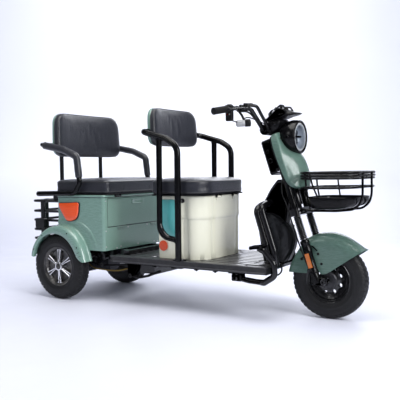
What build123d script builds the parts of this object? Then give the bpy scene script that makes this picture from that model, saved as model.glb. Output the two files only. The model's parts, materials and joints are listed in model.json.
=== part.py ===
from build123d import *
import os
from math import sin, cos, tan, pi, radians, sqrt, atan2, degrees

# ---------------------------------------------------------------- driving dimensions (mm)
# Station x is counted forward from the rear axle line, y to the vehicle's left, z up from the floor.
# Everything is shifted by X_SHIFT at export, so that the origin lies on the floor under the middle
# of the vehicle's own box.
WHEELBASE = 1505.0
TYRE_R = 186.0            # 3.00-8 tyre, outside radius
TYRE_W = 82.0             # section width
TREAD_W = 66.0
RIM_R = 110.0             # outside of the rim flange
BEAD_R = 101.0
REAR_HALF_TRACK = 284.0
DECK_Z = 262.0            # top of the floor
DECK_RIM_Z = 230.0
DECK_HALF = 275.0
DECK_X0, DECK_X1 = 345.0, 1300.0
GUARD_HALF = 270.0        # centre plane of the seat guard frames
GUARD_R = 14.0
RAKE = 18.0               # steering head angle from the vertical
HEAD = (1353.6, 510.0)    # a point (x, z) of the steering axis at the lower fork crown
STEER_LIMIT = 40.0
FORK_HALF = 77.0
REAR_BOX_X0, REAR_BOX_X1 = -20.0, 331.0
REAR_BOX_HALF = 292.0
REAR_BOX_Z0, REAR_BOX_Z1 = 288.0, 592.0
REAR_CUSHION_Z = (600.0, 682.0)
SEAT_BOX_X0, SEAT_BOX_X1 = 618.0, 926.0
SEAT_BOX_HALF = 213.0
SEAT_BOX_R = 95.0         # big upright corners at the front of the seat box
SEAT_BOX_Z1 = 590.0
WALL = 4.0
RACK_X = -290.0
RACK_HALF = 222.0
BASKET_X = (1408.0, 1684.0)
BASKET_HALF = 178.0
MIRROR_THREAD_R = 4.0       # M8 mirror bosses on the lever clamps
X_MIN = RACK_X - 8.0
X_MAX = WHEELBASE + TYRE_R
X_SHIFT = -0.5 * (X_MIN + X_MAX)

os.makedirs("parts", exist_ok=True)
SR, CR = sin(radians(RAKE)), cos(radians(RAKE))


def V(x, y, z):
    return Vector(x, y, z)


def S(u, y, w):
    """Point in the steering frame: u forward of the axis, w up along it from the crown."""
    return V(HEAD[0] + u * CR - w * SR, y, HEAD[1] + u * SR + w * CR)


# plane whose local x is u (forward), local y is the vehicle's y, local z runs up the steering axis
def splane(w, u=0.0):
    return Plane(origin=S(u, 0, w), x_dir=(CR, 0, SR), z_dir=(-SR, 0, CR))


def bx(x0, x1, y0, y1, z0, z1):
    return Pos((x0 + x1) / 2, (y0 + y1) / 2, (z0 + z1) / 2) * Box(abs(x1 - x0), abs(y1 - y0), abs(z1 - z0))


def rbx(x0, x1, y0, y1, z0, z1, rv=0.0, rt=0.0, rb=0.0):
    """Box with vertical edges rounded by rv, top rim by rt and bottom rim by rb."""
    s = bx(x0, x1, y0, y1, z0, z1)
    if rv > 0:
        s = fillet(s.edges().filter_by(Axis.Z), rv)
    if rt > 0:
        s = fillet(s.faces().sort_by(Axis.Z)[-1].edges(), rt)
    if rb > 0:
        s = fillet(s.faces().sort_by(Axis.Z)[0].edges(), rb)
    return s


def ycyl(x, z, r, y0, y1):
    return Pos(x, (y0 + y1) / 2, z) * Rot(90, 0, 0) * Cylinder(r, abs(y1 - y0))


def zcyl(x, y, r, z0, z1):
    return Pos(x, y, (z0 + z1) / 2) * Cylinder(r, abs(z1 - z0))


def xcyl(y, z, r, x0, x1):
    return Pos((x0 + x1) / 2, y, z) * Rot(0, 90, 0) * Cylinder(r, abs(x1 - x0))


def rod(a, b, r):
    a, b = Vector(*a) if not isinstance(a, Vector) else a, Vector(*b) if not isinstance(b, Vector) else b
    d = b - a
    return Plane(origin=(a + b) * 0.5, z_dir=d.normalized()) * Cylinder(r, d.length)


def tube(pts, r, bend):
    pts = [p if isinstance(p, Vector) else Vector(*p) for p in pts]
    if len(pts) == 2:
        return rod(pts[0], pts[1], r)
    path = FilletPolyline(*pts, radius=bend)
    sec = Plane(origin=path @ 0, z_dir=path % 0) * Circle(r)
    return sweep(sec, path=path)


def tube_r(pts, r, radii):
    path = FilletPolyline(*pts, radius=radii)
    sec = Plane(origin=path @ 0, z_dir=path % 0) * Circle(r)
    return sweep(sec, path=path)


def prism_y(xz, y0, y1):
    """Closed polygon in the XZ plane, extruded from y0 to y1."""
    f = make_face(Polyline(*[(x, 0, z) for x, z in xz], close=True))
    s = extrude(f, amount=abs(y1 - y0), dir=(0, 1, 0))
    return Pos(0, min(y0, y1), 0) * s


def mir(s):
    return mirror(s, about=Plane.XZ)


def both(s):
    return Compound(children=[s, mir(s)])


MADE = []


def out(shape, name):
    s = Pos(X_SHIFT, 0, 0) * shape
    MADE.append(name)
    export_step(s, "parts/" + name + ".step")
    return s


# ================================================================ wheels
def tyre_solid(x, y, z):
    t, h = TYRE_W / 2, TREAD_W / 2
    pts = [(BEAD_R, -28), (BEAD_R, 28), (RIM_R, 30.8), (RIM_R + 0.3, 33.5), (RIM_R + 8, 36), (138, t), (158, t - 1.5),
           (TYRE_R - 9, h + 3), (TYRE_R - 3, h * 0.62), (TYRE_R, h * 0.25),
           (TYRE_R, -h * 0.25), (TYRE_R - 3, -h * 0.62), (TYRE_R - 9, -h - 3), (158, -t + 1.5),
           (138, -t), (RIM_R + 8, -36), (RIM_R + 0.3, -33.5), (RIM_R, -30.8)]
    f = make_face(Polyline(*[(a, b, 0) for a, b in pts], close=True))
    s = revolve(f, Axis.Y)
    return Pos(x, y, z) * s


def rim_band():
    """Drop-centre rim seen in section, turned about the wheel axis (local Y)."""
    pts = [(BEAD_R, -28), (RIM_R, -31), (RIM_R, -35), (RIM_R - 5, -35), (BEAD_R - 6, -29), (BEAD_R - 6, -17),
           (BEAD_R - 16, -13), (BEAD_R - 16, 13), (BEAD_R - 6, 17), (BEAD_R - 6, 29), (RIM_R - 5, 35), (RIM_R, 35),
           (RIM_R, 31), (BEAD_R, 28)]
    f = make_face(Polyline(*[(a, b, 0) for a, b in pts], close=True))
    return revolve(f, Axis.Y)


def rear_rim(sign):
    """Six-spoke alloy wheel: rim band, hub and split spokes standing near the outer face."""
    band = rim_band()
    yo = sign * 22.0
    hub = ycyl(0, 0, 34, sign * -30, sign * 34) + ycyl(0, 0, 22, sign * 34, sign * 38)
    wheel = band + hub
    for k in range(6):
        arm = bx(28, BEAD_R - 3, -7, 6, -7, 7)
        arm = Pos(0, yo, 0) * (Rot(0, 60 * k + 30, 0) * arm)
        wheel = wheel + arm
    return wheel


def shaft_out(sign):
    # drive shaft stub that enters the axle tube
    return ycyl(0, 0, 12.5, sign * -29, sign * -118)


wheels = {}
for side, sg in (("right", -1), ("left", 1)):
    y = sg * REAR_HALF_TRACK
    out(tyre_solid(0, y, TYRE_R), "rear_%s_tyre" % side)
    rr = rear_rim(sg) + shaft_out(sg)
    out(Pos(0, y, TYRE_R) * rr, "rear_%s_wheel" % side)

out(tyre_solid(WHEELBASE, 0, TYRE_R), "front_tyre")
fr = rim_band() + ycyl(0, 0, BEAD_R - 15.5, -10, -6) + ycyl(0, 0, 30, -36, 36) + ycyl(0, 0, 46, -34, -6)
for k in range(8):
    a = radians(45 * k + 20)
    fr = fr - ycyl(69 * cos(a), 69 * sin(a), 10, -14, -2)
fr = fr - ycyl(0, 0, 6.5, -40, 40)
out(Pos(WHEELBASE, 0, TYRE_R) * fr, "front_wheel")

# ================================================================ chassis
RAIL_Y = 180.0
# main rails under the floor, rear rails under the box, cross tubes
fr = [bx(393, 1213, s * RAIL_Y - 15, s * RAIL_Y + 15, 214, 252) for s in (1, -1)]
for xc in (620, 900, 1197):
    fr.append(bx(xc - 15, xc + 15, -RAIL_Y, RAIL_Y, 218, 248))
# outriggers carry the rim of the floor and the feet of the guard frames
for xc in (680, 803, 1100):
    fr.append(bx(xc - 12, xc + 12, -262, 262, 222, 246))
rr_z0, rr_z1 = 252.0, 284.0
for s in (1, -1):
    fr.append(bx(-274, 419, s * 150 - 15, s * 150 + 15, rr_z0, rr_z1))
fr.append(bx(390, 422, -197, 197, 212, 286))
for xc in (-170, 60, 300):
    fr.append(bx(xc - 13, xc + 13, -200, 200, rr_z0 + 4, rr_z1 - 2))
# spring hangers: each spring eye sits between two cheeks
for s in (1, -1):
    for e in (-1, 1):
        for yy in (173, 219):
            fr.append(bx(e * 256 - 14, e * 256 + 14, s * yy - 2, s * yy + 2, TYRE_R + 40, 266))
        fr.append(bx(e * 256 - 15, e * 256 + 15, s * 152, s * 223, 258, 270))
# down tube from the floor frame up to the head tube, inside the leg shield
DOWN = [V(1215, 0, 230), V(1258, 0, 330), V(1286, 0, 500), V(1309, 0, 606)]
fr.append(tube(DOWN, 16, 90))
fr.append(bx(1194, 1236, -26, 26, 220, 263))
HT0, HT1 = 34.0, 196.0     # head tube, along the steering axis
head = splane((HT0 + HT1) / 2) * Cylinder(22.5, HT1 - HT0)
head_bore = splane((HT0 + HT1) / 2) * Cylinder(15.0, HT1 - HT0 + 40)
fr.append(head)

# steering column gusset behind the head tube
fr.append(prism_y([(1285, 657), (1238, 668), (1196, 612), (1160, 560), (1148, 522), (1262, 522), (1268, 560), (1281, 588), (1310, 602)], -16, 16))
downtube_clear = tube(DOWN, 16.5, 90)

# leg shield: shell round the down tube, open below
LS = [(1150, 505), (1215, 505), (1262, 478), (1296, 440), (1320, 396), (1323, 350), (1304, 300), (1282, 262.4), (1190, 262.4)]
plan_o = make_face(Polyline((1140, -78), (1235, -72), (1290, -46), (1345, -27), (1345, 27), (1290, 46), (1235, 72), (1140, 78), close=True))
plan_i = make_face(Polyline((1140, -74), (1234, -68), (1288, -42), (1345, -23), (1345, 23), (1288, 42), (1234, 68), (1140, 74), close=True))
shield = prism_y(LS, -90, 90) & extrude(plan_o, amount=700)
LSi = [(1156, 501), (1213, 501), (1259, 475), (1292, 438), (1316, 395), (1319, 350), (1300, 302), (1276, 240), (1194, 230)]
shield = shield - (prism_y(LSi, -90, 90) & extrude(plan_i, amount=700)) - downtube_clear
out(shield, "leg_shield")

# leg guard tubes on both sides of the shield
lg = tube_r([V(1262, -94, 243), V(1260, -100, 310), V(1188, -100, 528), V(1192, -60, 545), V(1200, -6, 556)], 13, [160, 28, 60])
fr += [lg, mir(lg), bx(1199, 1276, -108, 108, 236, 250)]
frame = fr[0].fuse(*fr[1:]) - head_bore
out(frame, "chassis_frame")

# ================================================================ floor
def deck_plan(inset):
    h = DECK_HALF - inset
    x0, x1 = DECK_X0 + inset, DECK_X1 - inset
    n = 1225.0
    return [(x0, -h), (x1, -h), (x1, -205 - inset * 0), (n + 30, -150), (n, -120), (n, 120), (n + 30, 150), (x1, 205), (x1, h), (x0, h)]


plate = extrude(make_face(Polyline(*[(x, y, 0) for x, y in deck_plan(0)], close=True)), amount=DECK_Z - DECK_RIM_Z)
plate = fillet(plate.edges().filter_by(Axis.Z).group_by(Axis.X)[0], 24)
inner = extrude(make_face(Polyline(*[(x, y, 0) for x, y in [(DECK_X0 + 4, -DECK_HALF + 4), (1296, -DECK_HALF + 4), (1296, -208), (1252, -154), (1221, -124), (1221, 124), (1252, 154), (1296, 208), (1296, DECK_HALF - 4), (DECK_X0 + 4, DECK_HALF - 4)]], close=True)), amount=DECK_Z - DECK_RIM_Z - 5)
inner = fillet(inner.edges().filter_by(Axis.Z).group_by(Axis.X)[0], 20)
plate = Pos(0, 0, DECK_RIM_Z) * (plate - inner)
# the plate stands clear of the frame where tubes come up through it
plate = plate - bx(320, 424, -200, 200, 200, 290) - bx(1190, 1260, -112, 112, 200, 256) - bx(1190, 1240, -30, 30, 220, 275)
out(plate, "floor_deck")

# ================================================================ seat guard frames (front seat)
def guard(s):
    y = s * GUARD_HALF
    main = tube([V(588, s * 217, 926), V(588, y, 926), V(740, y, 883), V(806, y, 843), V(803, y, 262.2)], GUARD_R, [40, 110, 70])
    rear = tube([V(691, y, 893), V(688, y, 388), V(803, y, 368)], GUARD_R, 90)
    foot = bx(770, 836, y - 5, y + 5, 262, 270)
    return main + rear + foot



out(Compound(children=[guard(-1), guard(1)]), "seat_guard_frames")

# ================================================================ front seat
def plan_box(x0, x1, half, z0, z1, rr, rf):
    """Box whose upright edges are rounded by rr at the rear and rf at the front."""
    q = bx(x0, x1, -half, half, z0, z1)
    ed = q.edges().filter_by(Axis.Z).group_by(Axis.X)
    q = fillet(ed[-1], rf)
    return fillet(q.edges().filter_by(Axis.Z).group_by(Axis.X)[0], rr)


sb = plan_box(SEAT_BOX_X0, SEAT_BOX_X1, SEAT_BOX_HALF, DECK_Z, SEAT_BOX_Z1, 34, SEAT_BOX_R)
sbi = plan_box(SEAT_BOX_X0 + WALL, SEAT_BOX_X1 - WALL, SEAT_BOX_HALF - WALL, DECK_Z + WALL, SEAT_BOX_Z1 + 20, 30, SEAT_BOX_R - WALL)
sb = sb - sbi
out(sb, "front_seat_box")
out(rbx(640, 860, -150, 150, DECK_Z + WALL, 470, 10, 6, 0), "battery_pack")
sp = bx(650, 768, -SEAT_BOX_HALF - 5, -SEAT_BOX_HALF, 372, 572)
out(both(sp), "seat_box_side_panels")

FH_X = SEAT_BOX_X1 + 7.5      # front lid hinge axis
pan = plan_box(606, 937, 240, 592, 598, 30, 100)
pan = pan - plan_box(632, 904, 200, 590, 596, 20, 70)
# hinge tabs at the front edge, one each side of the barrels
for s in (1, -1):
    for d in (-1, 1):
        yc = s * 84 + d * 20.5
        pan = pan + bx(FH_X - 4.5, FH_X + 4.5, yc - 3.5, yc + 3.5, 580, 592.5)
out(pan, "front_seat_pan")
cu = plan_box(604, 938, 245, 598, 682, 34, 105)
cu = fillet(cu.faces().sort_by(Axis.Z)[-1].edges(), 20)
cu = fillet(cu.faces().sort_by(Axis.Z)[0].edges(), 8)
out(cu, "front_seat_cushion")
hinge_f = Compound(children=[ycyl(FH_X, 584, 4.5, s * 84 - 16, s * 84 + 16) + bx(SEAT_BOX_X1, FH_X - 2, s * 84 - 16, s * 84 + 16, 556, 587) for s in (1, -1)])

def slab(x0, x1, half, z0, z1, r):
    return fillet(bx(x0, x1, -half, half, z0, z1).edges().filter_by(Axis.X), r)


out(slab(564.3, 603, 216, 850, 1062, 60), "front_backrest_pad")
shell_f = slab(544, 564, 206, 862, 1056, 52)

# ================================================================ rear box
rb = bx(REAR_BOX_X0, REAR_BOX_X1, -REAR_BOX_HALF, REAR_BOX_HALF, REAR_BOX_Z0, REAR_BOX_Z1)
rb = fillet(rb.edges().filter_by(Axis.Z), 18)
rbi = bx(REAR_BOX_X0 + WALL, REAR_BOX_X1 - WALL, -REAR_BOX_HALF + WALL, REAR_BOX_HALF - WALL, REAR_BOX_Z0 + WALL, REAR_BOX_Z1 + 30)
rbi = fillet(rbi.edges().filter_by(Axis.Z), 14)
WELL_R = 204.0
for s in (1, -1):
    rbi = rbi - ycyl(0, TYRE_R, WELL_R + WALL, s * 224, s * 320)
rb = rb - rbi
for s in (1, -1):
    rb = rb - ycyl(0, TYRE_R, WELL_R, s * 228, s * 320)
# door opening in the front wall
DOOR_Y, DOOR_Z0, DOOR_Z1 = 262.0, 414.0, 574.0
rb = rb - bx(REAR_BOX_X1 - 10, REAR_BOX_X1 + 5, -DOOR_Y, DOOR_Y, DOOR_Z0, DOOR_Z1)
out(rb, "rear_box")
door = bx(REAR_BOX_X1 - WALL, REAR_BOX_X1, -DOOR_Y + 3, DOOR_Y - 3, DOOR_Z0 + 5, DOOR_Z1 - 3)
door = door + bx(REAR_BOX_X1 - 10, REAR_BOX_X1 - WALL + 0.5, -DOOR_Y + 20, DOOR_Y - 20, DOOR_Z0 + 24, DOOR_Z1 - 22)
out(door, "rear_box_door")

# side lights
sl = prism_y([(4, 546), (151, 549), (151, 500), (140, 470), (118, 452), (86, 445), (58, 450), (34, 478), (10, 515), (2, 534)], -REAR_BOX_HALF - 10, -REAR_BOX_HALF)
out(both(sl), "side_marker_lights")

# fenders outboard of the box
def fender(s):
    ro, ri = 230.0, 226.0
    body = ycyl(0, TYRE_R, ro, s * REAR_BOX_HALF, s * 345) - ycyl(0, TYRE_R, ri, s * (REAR_BOX_HALF - 5), s * 341)
    body = body - ycyl(0, TYRE_R, 192, s * 335, s * 350)
    cut = bx(-260, 105, s * 280, s * 360, -90, 244) + bx(100, 260, s * 280, s * 360, -90, 222)
    return body - cut


out(Compound(children=[fender(-1), fender(1)]), "rear_fenders")

# ================================================================ rear seat
RC_HALF = 286.0
rpan = rbx(-47, 344, -280, 280, 594, 600, 20) - rbx(-10, 310, -245, 245, 592, 598, 12)
for s in (1, -1):
    for d in (-1, 1):
        yc = s * 180 + d * 20.5
        rpan = rpan + bx(333.5, 344, yc - 3.5, yc + 3.5, 582, 594.5)
out(rpan, "rear_seat_pan")
out(rbx(-50, 350, -RC_HALF, RC_HALF, 600, 682, 34, 20, 8), "rear_seat_cushion")
hr = [ycyl(339, 586, 4.5, s * 180 - 16, s * 180 + 16) + bx(331, 335, s * 180 - 16, s * 180 + 16, 578, 590) for s in (1, -1)]
hr += [ycyl(334.5, 411.5, 3, s * 150 - 30, s * 150 + 30) + bx(331, 334, s * 150 - 30, s * 150 + 30, 398, 413) for s in (1, -1)]
out(Compound(children=hr + list(hinge_f.solids())), "lid_and_door_hinges")
out(slab(-77.7, -30, 280, 806, 1066, 62), "rear_backrest_pad")
shell_r = slab(-98, -78, 268, 818, 1058, 54)
PX, PR = -96.0, 12.0          # backrest posts
posts = ycyl(PX, 556, 10, -205, 205)
for s in (1, -1):
    shell_r = shell_r - rod(V(PX, s * 170, 540), V(PX, s * 170, 934), PR + 0.3)
    posts = posts + rod(V(PX, s * 170, 556), V(PX, s * 170, 932), PR) + bx(PX - 2, REAR_BOX_X0, s * 170 - 12, s * 170 + 12, 550, 562)
out(Compound(children=[shell_r, shell_f]), "backrest_shells")

# armrests: a low side rail, round in front, up to the sleeve and in behind the backrest to its post
ARM_Y = 310.0


def armrest2(s):
    y = s * ARM_Y
    a = tube_r([V(-150, y, 598), V(138, y, 604), V(176, y, 660), V(158, y, 806), V(60, y, 846), V(-128, y, 882), V(-117, s * 166, 880)], 12, [34, 34, 30, 60, 30])
    return a + Pos(-150, y, 598) * Sphere(12)


fr2 = posts + armrest2(-1) + armrest2(1) + ycyl(-128, 598, 9, -304, -205) + ycyl(-128, 598, 9, 205, 304)
fr2 = fr2 + bx(-137, -82, -205, -189, 548, 606) + bx(-137, -82, 189, 205, 548, 606)
out(fr2, "rear_seat_frame")


def sleeve(s):
    y = s * ARM_Y
    p = [V(-86, y, 882 - 42 * 36 / 188), V(60, y, 846), V(158, y, 806), V(172.3, y, 690)]
    return tube_r(p, 18.5, [60, 30]) - tube_r([V(-110, y, 882 - 18 * 36 / 188), V(60, y, 846), V(158, y, 806), V(174.8, y, 669.7)], 12.3, [60, 30])


out(Compound(children=[sleeve(-1), sleeve(1)]), "armrest_pads")

# rear rack
rack = None
RH = RACK_HALF
for z in (551, 491, 437, 381, 327):
    t = tube_r([V(-20.5, -RH, z), V(RACK_X, -RH, z), V(RACK_X, RH, z), V(-20.5, RH, z)], 8, [26, 26])
    rack = t if rack is None else rack + t
for s in (1, -1):
    rack = rack + bx(-215, -185, s * (RH + 5), s * (RH + 11), 320, 560)
    rack = rack + bx(-30, -20.5, s * RH - 12, s * RH + 12, 316, 562)
for y in (-120, 0, 120):
    rack = rack + bx(RACK_X + 5, RACK_X + 11, y - 12, y + 12, 320, 560)
out(rack, "rear_rack")
tl = bx(-236, -164, -258, -RH - 11.2, 392, 450)
tl = fillet(tl.edges().filter_by(Axis.Y), 10)
out(both(tl), "tail_lights")

# ================================================================ rear axle, springs
ax = ycyl(0, TYRE_R, 28, -238, 238)
ax = ax + ycyl(0, TYRE_R, 62, -75, 75) + xcyl(0, TYRE_R, 55, 0, 150)
for s in (1, -1):
    ax = ax + ycyl(0, TYRE_R, 42, s * 222, s * 238)
    ax = ax - ycyl(0, TYRE_R, 13.0, s * 160, s * 250)
out(ax, "rear_axle_motor")

def spring(s):
    y = s * 196
    z = TYRE_R + 28.3 + 21
    leaf = prism_y([(-250, z + 6), (-130, z - 2), (0, z - 5), (130, z - 2), (250, z + 6), (250, z), (190, z - 5), (130, z - 13), (70, z - 19), (26, z - 20.7), (-26, z - 20.7), (-70, z - 19), (-130, z - 13), (-190, z - 5), (-250, z)], y - 20, y + 20)
    for e in (-1, 1):
        leaf = leaf + ycyl(e * 256, z + 3, 10, y - 19, y + 19)
    return leaf


out(both(spring(-1)), "leaf_springs")

# electrics box under the floor
eb = bx(500, 600, -200, 60, 168, 213.5)
eb = fillet(eb.edges().filter_by(Axis.X).group_by(Axis.Z)[0], 12)
out(eb, "controller_box")

# brake pedal
ped = tube_r([V(1236, -232, 348), V(1266, -232, 336), V(1314, -232, 280), V(1318, -232, 222), V(1266, -232, 186), V(1120, -232, 200)], 11.5, [16, 26, 26, 26])
ped = ped + bx(1206, 1262, -264, -198, 350, 359)
ped = ped + ycyl(1120, 200, 11, -246, -196) + bx(1108, 1132, -210, -198, 189, 222)
out(ped, "brake_pedal")

# ================================================================ steering assembly
fork = None
def add(a, b):
    return b if a is None else a + b


for s in (1, -1):
    y = s * FORK_HALF
    fork = add(fork, rod(S(8, y, -170), S(8, y, 232), 13))
    fork = add(fork, rod(S(8, y, -352), S(8, y, -150), 20))
    # axle lug ahead of the leg
    a = S(8, y, -335)
    fork = fork + bx(a.X - 8, WHEELBASE + 14, y - 9, y + 9, TYRE_R - 16, TYRE_R + 16)
_cb = Box(52, 2 * FORK_HALF + 44, 34)
crown = splane(0) * (Pos(4, 0, 0) * fillet(_cb.edges().filter_by(Axis.Z), 16))
fork = fork + crown
top_cr = splane(222) * (Pos(4, 0, 0) * Box(46, 2 * FORK_HALF + 34, 16))
fork = fork + top_cr + rod(S(0, 0, 0), S(0, 0, 420), 13.8)
fork = fork + ycyl(WHEELBASE, TYRE_R, 6.0, -98, 98) + ycyl(WHEELBASE, TYRE_R, 11, -98, -85) + ycyl(WHEELBASE, TYRE_R, 11, 85, 98)
out(fork, "front_fork")

# handlebar and stem
stem_c = V(1178, 0, 915)
bar_pts = [V(1062, -335, 997), V(1094, -215, 1018), V(1150, -130, 1018), V(1172, -42, 920), V(1172, 42, 920), V(1150, 130, 1018), V(1094, 215, 1018), V(1062, 335, 997)]
bar = tube_r(bar_pts, 11, [30, 36, 30, 30, 36, 30])
bar = bar + ycyl(1174, 919, 19, -34, 34) + rod(V(1174, 0, 919), S(-14, 0, 409), 13)
bar = bar + splane(409) * Cylinder(20, 24) - splane(409) * Cylinder(14.0, 60)
out(bar, "handlebar")
brace2 = tube_r([V(1206, -30, 900), V(1206, -48, 928), V(1176, -124, 1042), V(1126, -172, 1042)], 5.5, [16, 24])
hoses = both(brace2)

def grip(s):
    a, b = V(1062, s * 335, 997), V(1094, s * 215, 1018)
    d = (b - a).normalized()
    g = rod(a - d * 3.2, a + d * 95, 16.5)
    g = g - rod(a - d * 0.1, a + d * 130, 11.1)
    return g


out(Compound(children=[grip(-1), grip(1)]), "handlebar_grips")


def controls(s):
    a, b = V(1062, s * 335, 997), V(1094, s * 215, 1018)
    d = (b - a).normalized()
    c = rod(a + d * 96, a + d * 119, 21) - rod(a + d * 90, a + d * 130, 11.2)
    pod = a + d * 110
    c = c + bx(pod.X - 20, pod.X + 16, pod.Y - 10, pod.Y + 10, pod.Z - 58, pod.Z - 16)
    return c


def lever(s):
    a, b = V(1094, s * 215, 1018), V(1150, s * 130, 1018)
    d = (b - a).normalized()
    m = a + d * 54
    p = rod(a + d * 44, a + d * 64, 17) + bx(m.X + 6, m.X + 46, m.Y - 13, m.Y + 13, m.Z - 10, m.Z + 8)
    p = p + zcyl(m.X + 29, m.Y, 9, 1012, 1040)      # mirror boss, threaded from above
    p = p - rod(a + d * 20, a + d * 84, 11.3) - zcyl(m.X + 29, m.Y, MIRROR_THREAD_R, 1024, 1050)
    blade = tube_r([V(m.X + 36, m.Y, m.Z - 2), V(m.X + 44, m.Y + s * 60, m.Z - 6), V(1128, s * 300, 1004)], 5.5, [60])
    blade = blade + Pos(1128, s * 300, 1004) * Sphere(8.5)
    return p + blade


out(Compound(children=[controls(-1), controls(1), lever(-1), lever(1)] + list(hoses.solids())), "handlebar_controls")

# display between the bars
dp = prism_y([(1188, 962), (1196, 956), (1282, 978), (1300, 1000), (1288, 1016), (1262, 1020)], -58, 58)
dp = dp + bx(1200, 1226, -12, 12, 925, 972) + bx(1180, 1226, -12, 12, 925, 937)
dp = dp - ycyl(1174, 919, 19.3, -40, 40) - (splane(409) * Cylinder(20.3, 24.6)) - rod(V(1174, 0, 919), S(-14, 0, 409), 13.3) - rod(S(0, 0, 300), S(0, 0, 425), 14)
out(dp, "display_pod")

# headlamp: bowl and lens
HLX, HLZ, HLR = 1348.0, 877.0, 78.0
bowl_pts = [(0, 0), (HLR, 0), (HLR, -14), (HLR - 4, -26), (58, -60), (34, -78), (0, -84)]
f = make_face(Polyline(*[(r, h, 0) for r, h in bowl_pts], close=True))
bowl = revolve(f, Axis.Y)                       # axis local Y
bowl = bowl - Pos(0, -5, 0) * Rot(90, 0, 0) * Cylinder(HLR - 6, 12)
bowl = Pos(HLX, 0, HLZ) * (Rot(0, 0, -90) * bowl)
out(bowl, "headlamp_bowl")
lens_pts = [(0, 5), (30, 4), (55, 1), (HLR - 7, -4), (HLR - 7, -11), (0, -11)]
lens = revolve(make_face(Polyline(*[(r, h, 0) for r, h in lens_pts], close=True)), Axis.Y)
out(Pos(HLX, 0, HLZ) * (Rot(0, 0, -90) * lens), "headlamp_lens")

# nose panel: U section swept along the steering axis, open behind
def nose_sec(w, us, uf, half, wall):
    return splane(w) * make_face(Polyline((us, -half), (us + 0.4 * (uf - us), -half), (us + 0.8 * (uf - us), -half * 0.66), (uf, 0), (us + 0.8 * (uf - us), half * 0.66), (us + 0.4 * (uf - us), half), (us, half), close=True))


no = loft([nose_sec(112, 26, 84, 92, 0), nose_sec(150, 4, 98, 102, 0), nose_sec(290, -20, 104, 106, 0), nose_sec(392, 2, 70, 92, 0)], ruled=True)
ni = loft([nose_sec(105, 22, 80, 88, 0), nose_sec(150, -6, 94, 98, 0), nose_sec(290, -30, 100, 102, 0), nose_sec(388, -12, 66, 88, 0)], ruled=True)
nose = no - ni - (Pos(HLX, 0, HLZ) * (Rot(0, 0, -90) * revolve(make_face(Polyline((0, 12), (HLR + 0.4, 12), (HLR + 0.4, -14.2), (HLR - 3.6, -26.3), (58.4, -60.4), (34.4, -78.4), (0, -84.4), close=True)), Axis.Y)))
nose = nose - (splane(395) * Cylinder(16, 60))
out(nose, "nose_panel")

kb = splane(216) * (Pos(-49, 0, 84) * Box(50, 100, 168))
kb = kb - (splane(216) * (Pos(-42, 0, 84) * Box(56, 92, 160)))
for s in (1, -1):
    kb = kb + (splane(216) * (Pos(-25.5, s * 72, 74) * Box(4, 52, 148)))     # flanges behind the panel's edges
out(kb, "ignition_box")

# front basket on the nose
bx0, bx1, bh = BASKET_X[0], BASKET_X[1], BASKET_HALF


def ring(z, grow, r, x0=bx0):
    rect = Plane(origin=((x0 + bx1) / 2, 0, z)) * RectangleRounded(bx1 - x0 + 2 * grow, 2 * (bh + grow), 80)
    path = rect.wire()
    sec = Plane(origin=path @ 0, z_dir=path % 0) * Circle(r)
    return sweep(sec, path=path)


# three rim wires, one belly wire, and a pan whose floor stands on the runner wires
bk = [ring(702, 0, 4.5), ring(689, 2, 3.2), ring(677, 0, 3.2), ring(632, 0, 3.4)]
tray = rbx(1424, 1668, -148, 148, 528, 586, 70) - rbx(1427, 1665, -145, 145, 532, 600, 67)
tray = tray + rbx(1434, 1636, -138, 138, 531, 533.5, 58)     # raised flat of the tray floor
bk.append(tray)
for s in (1, -1):
    bk.append(tube([V(1681, s * 66, 702), V(1681, s * 66, 556), V(1646, s * 66, 525.5), V(1440, s * 66, 525.5)], 4.5, [24, 24]))
    bk.append(rod(V(1409, s * 68, 704), V(1423, s * 68, 560), 3.5))
    # carrier arms from the runner wires back to the fork crown
    c0 = S(30, s * 50, 6)
    bk.append(rod(V(1484, s * 54, 522.5), V(c0.X + 5, s * 50, c0.Z + 2), 5))
    bk.append(bx(1470, 1486, s * 60 - 12, s * 60 + 12, 519, 530))
basket = bk[0].fuse(*bk[1:])
out(basket, "front_basket")

# front fender, in two pieces, held by the fork legs
def arc_shell(r0, r1, a0, a1, y0, y1, n=14):
    pts = []
    for k in range(n + 1):
        a = radians(a0 + (a1 - a0) * k / n)
        pts.append((WHEELBASE + r1 * cos(a), TYRE_R + r1 * sin(a)))
    for k in range(n, -1, -1):
        a = radians(a0 + (a1 - a0) * k / n)
        pts.append((WHEELBASE + r0 * cos(a), TYRE_R + r0 * sin(a)))
    return prism_y(pts, y0, y1)


FR0, FR1 = 221.0, 225.0
ff = arc_shell(FR0, FR1, 41, 116, -56, 56)
side = prism_y([(1437, 366), (1425, 404), (1460, 407), (1505, 412), (1560, 404), (1600, 389), (1640, 363), (1672, 336), (1640, 304), (1508, 222), (1478, 226), (1468, 240)], -56, -52)
side = side & ycyl(WHEELBASE, TYRE_R, FR1, -80, 80)
ff = ff + side + mir(side)
fr_pts = [(1345, 344), (1372, 352), (1412, 262), (1413, 219), (1322, 217)]
rear_side = prism_y([(1359, 340), (1386, 340), (1408, 262), (1406, 219), (1302, 217), (1312, 270)], -56, -52)
rear_arc = arc_shell(206, 210, 135, 171, -56, 56)
rear_side = rear_side & ycyl(WHEELBASE, TYRE_R, 210, -80, 80)
rp = rear_arc + rear_side + mir(rear_side)
# struts to the fork legs
for s in (1, -1):
    ff = ff + bx(1432, 1448, s * 56 if s > 0 else -58, s * 58 if s > 0 else -56, 330, 350)
out(Compound(children=[ff, rp]), "front_fender")

rfl = rod(S(8 - 4, -FORK_HALF - 21, -205), S(8 - 4, -FORK_HALF - 21, -275), 9)
rfl = splane(-240) * (Pos(8, -FORK_HALF - 22.8, 0) * Box(20, 5, 70))
out(both(rfl), "fork_reflectors")

print("X_SHIFT", X_SHIFT, "nodes", len(MADE))
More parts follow.
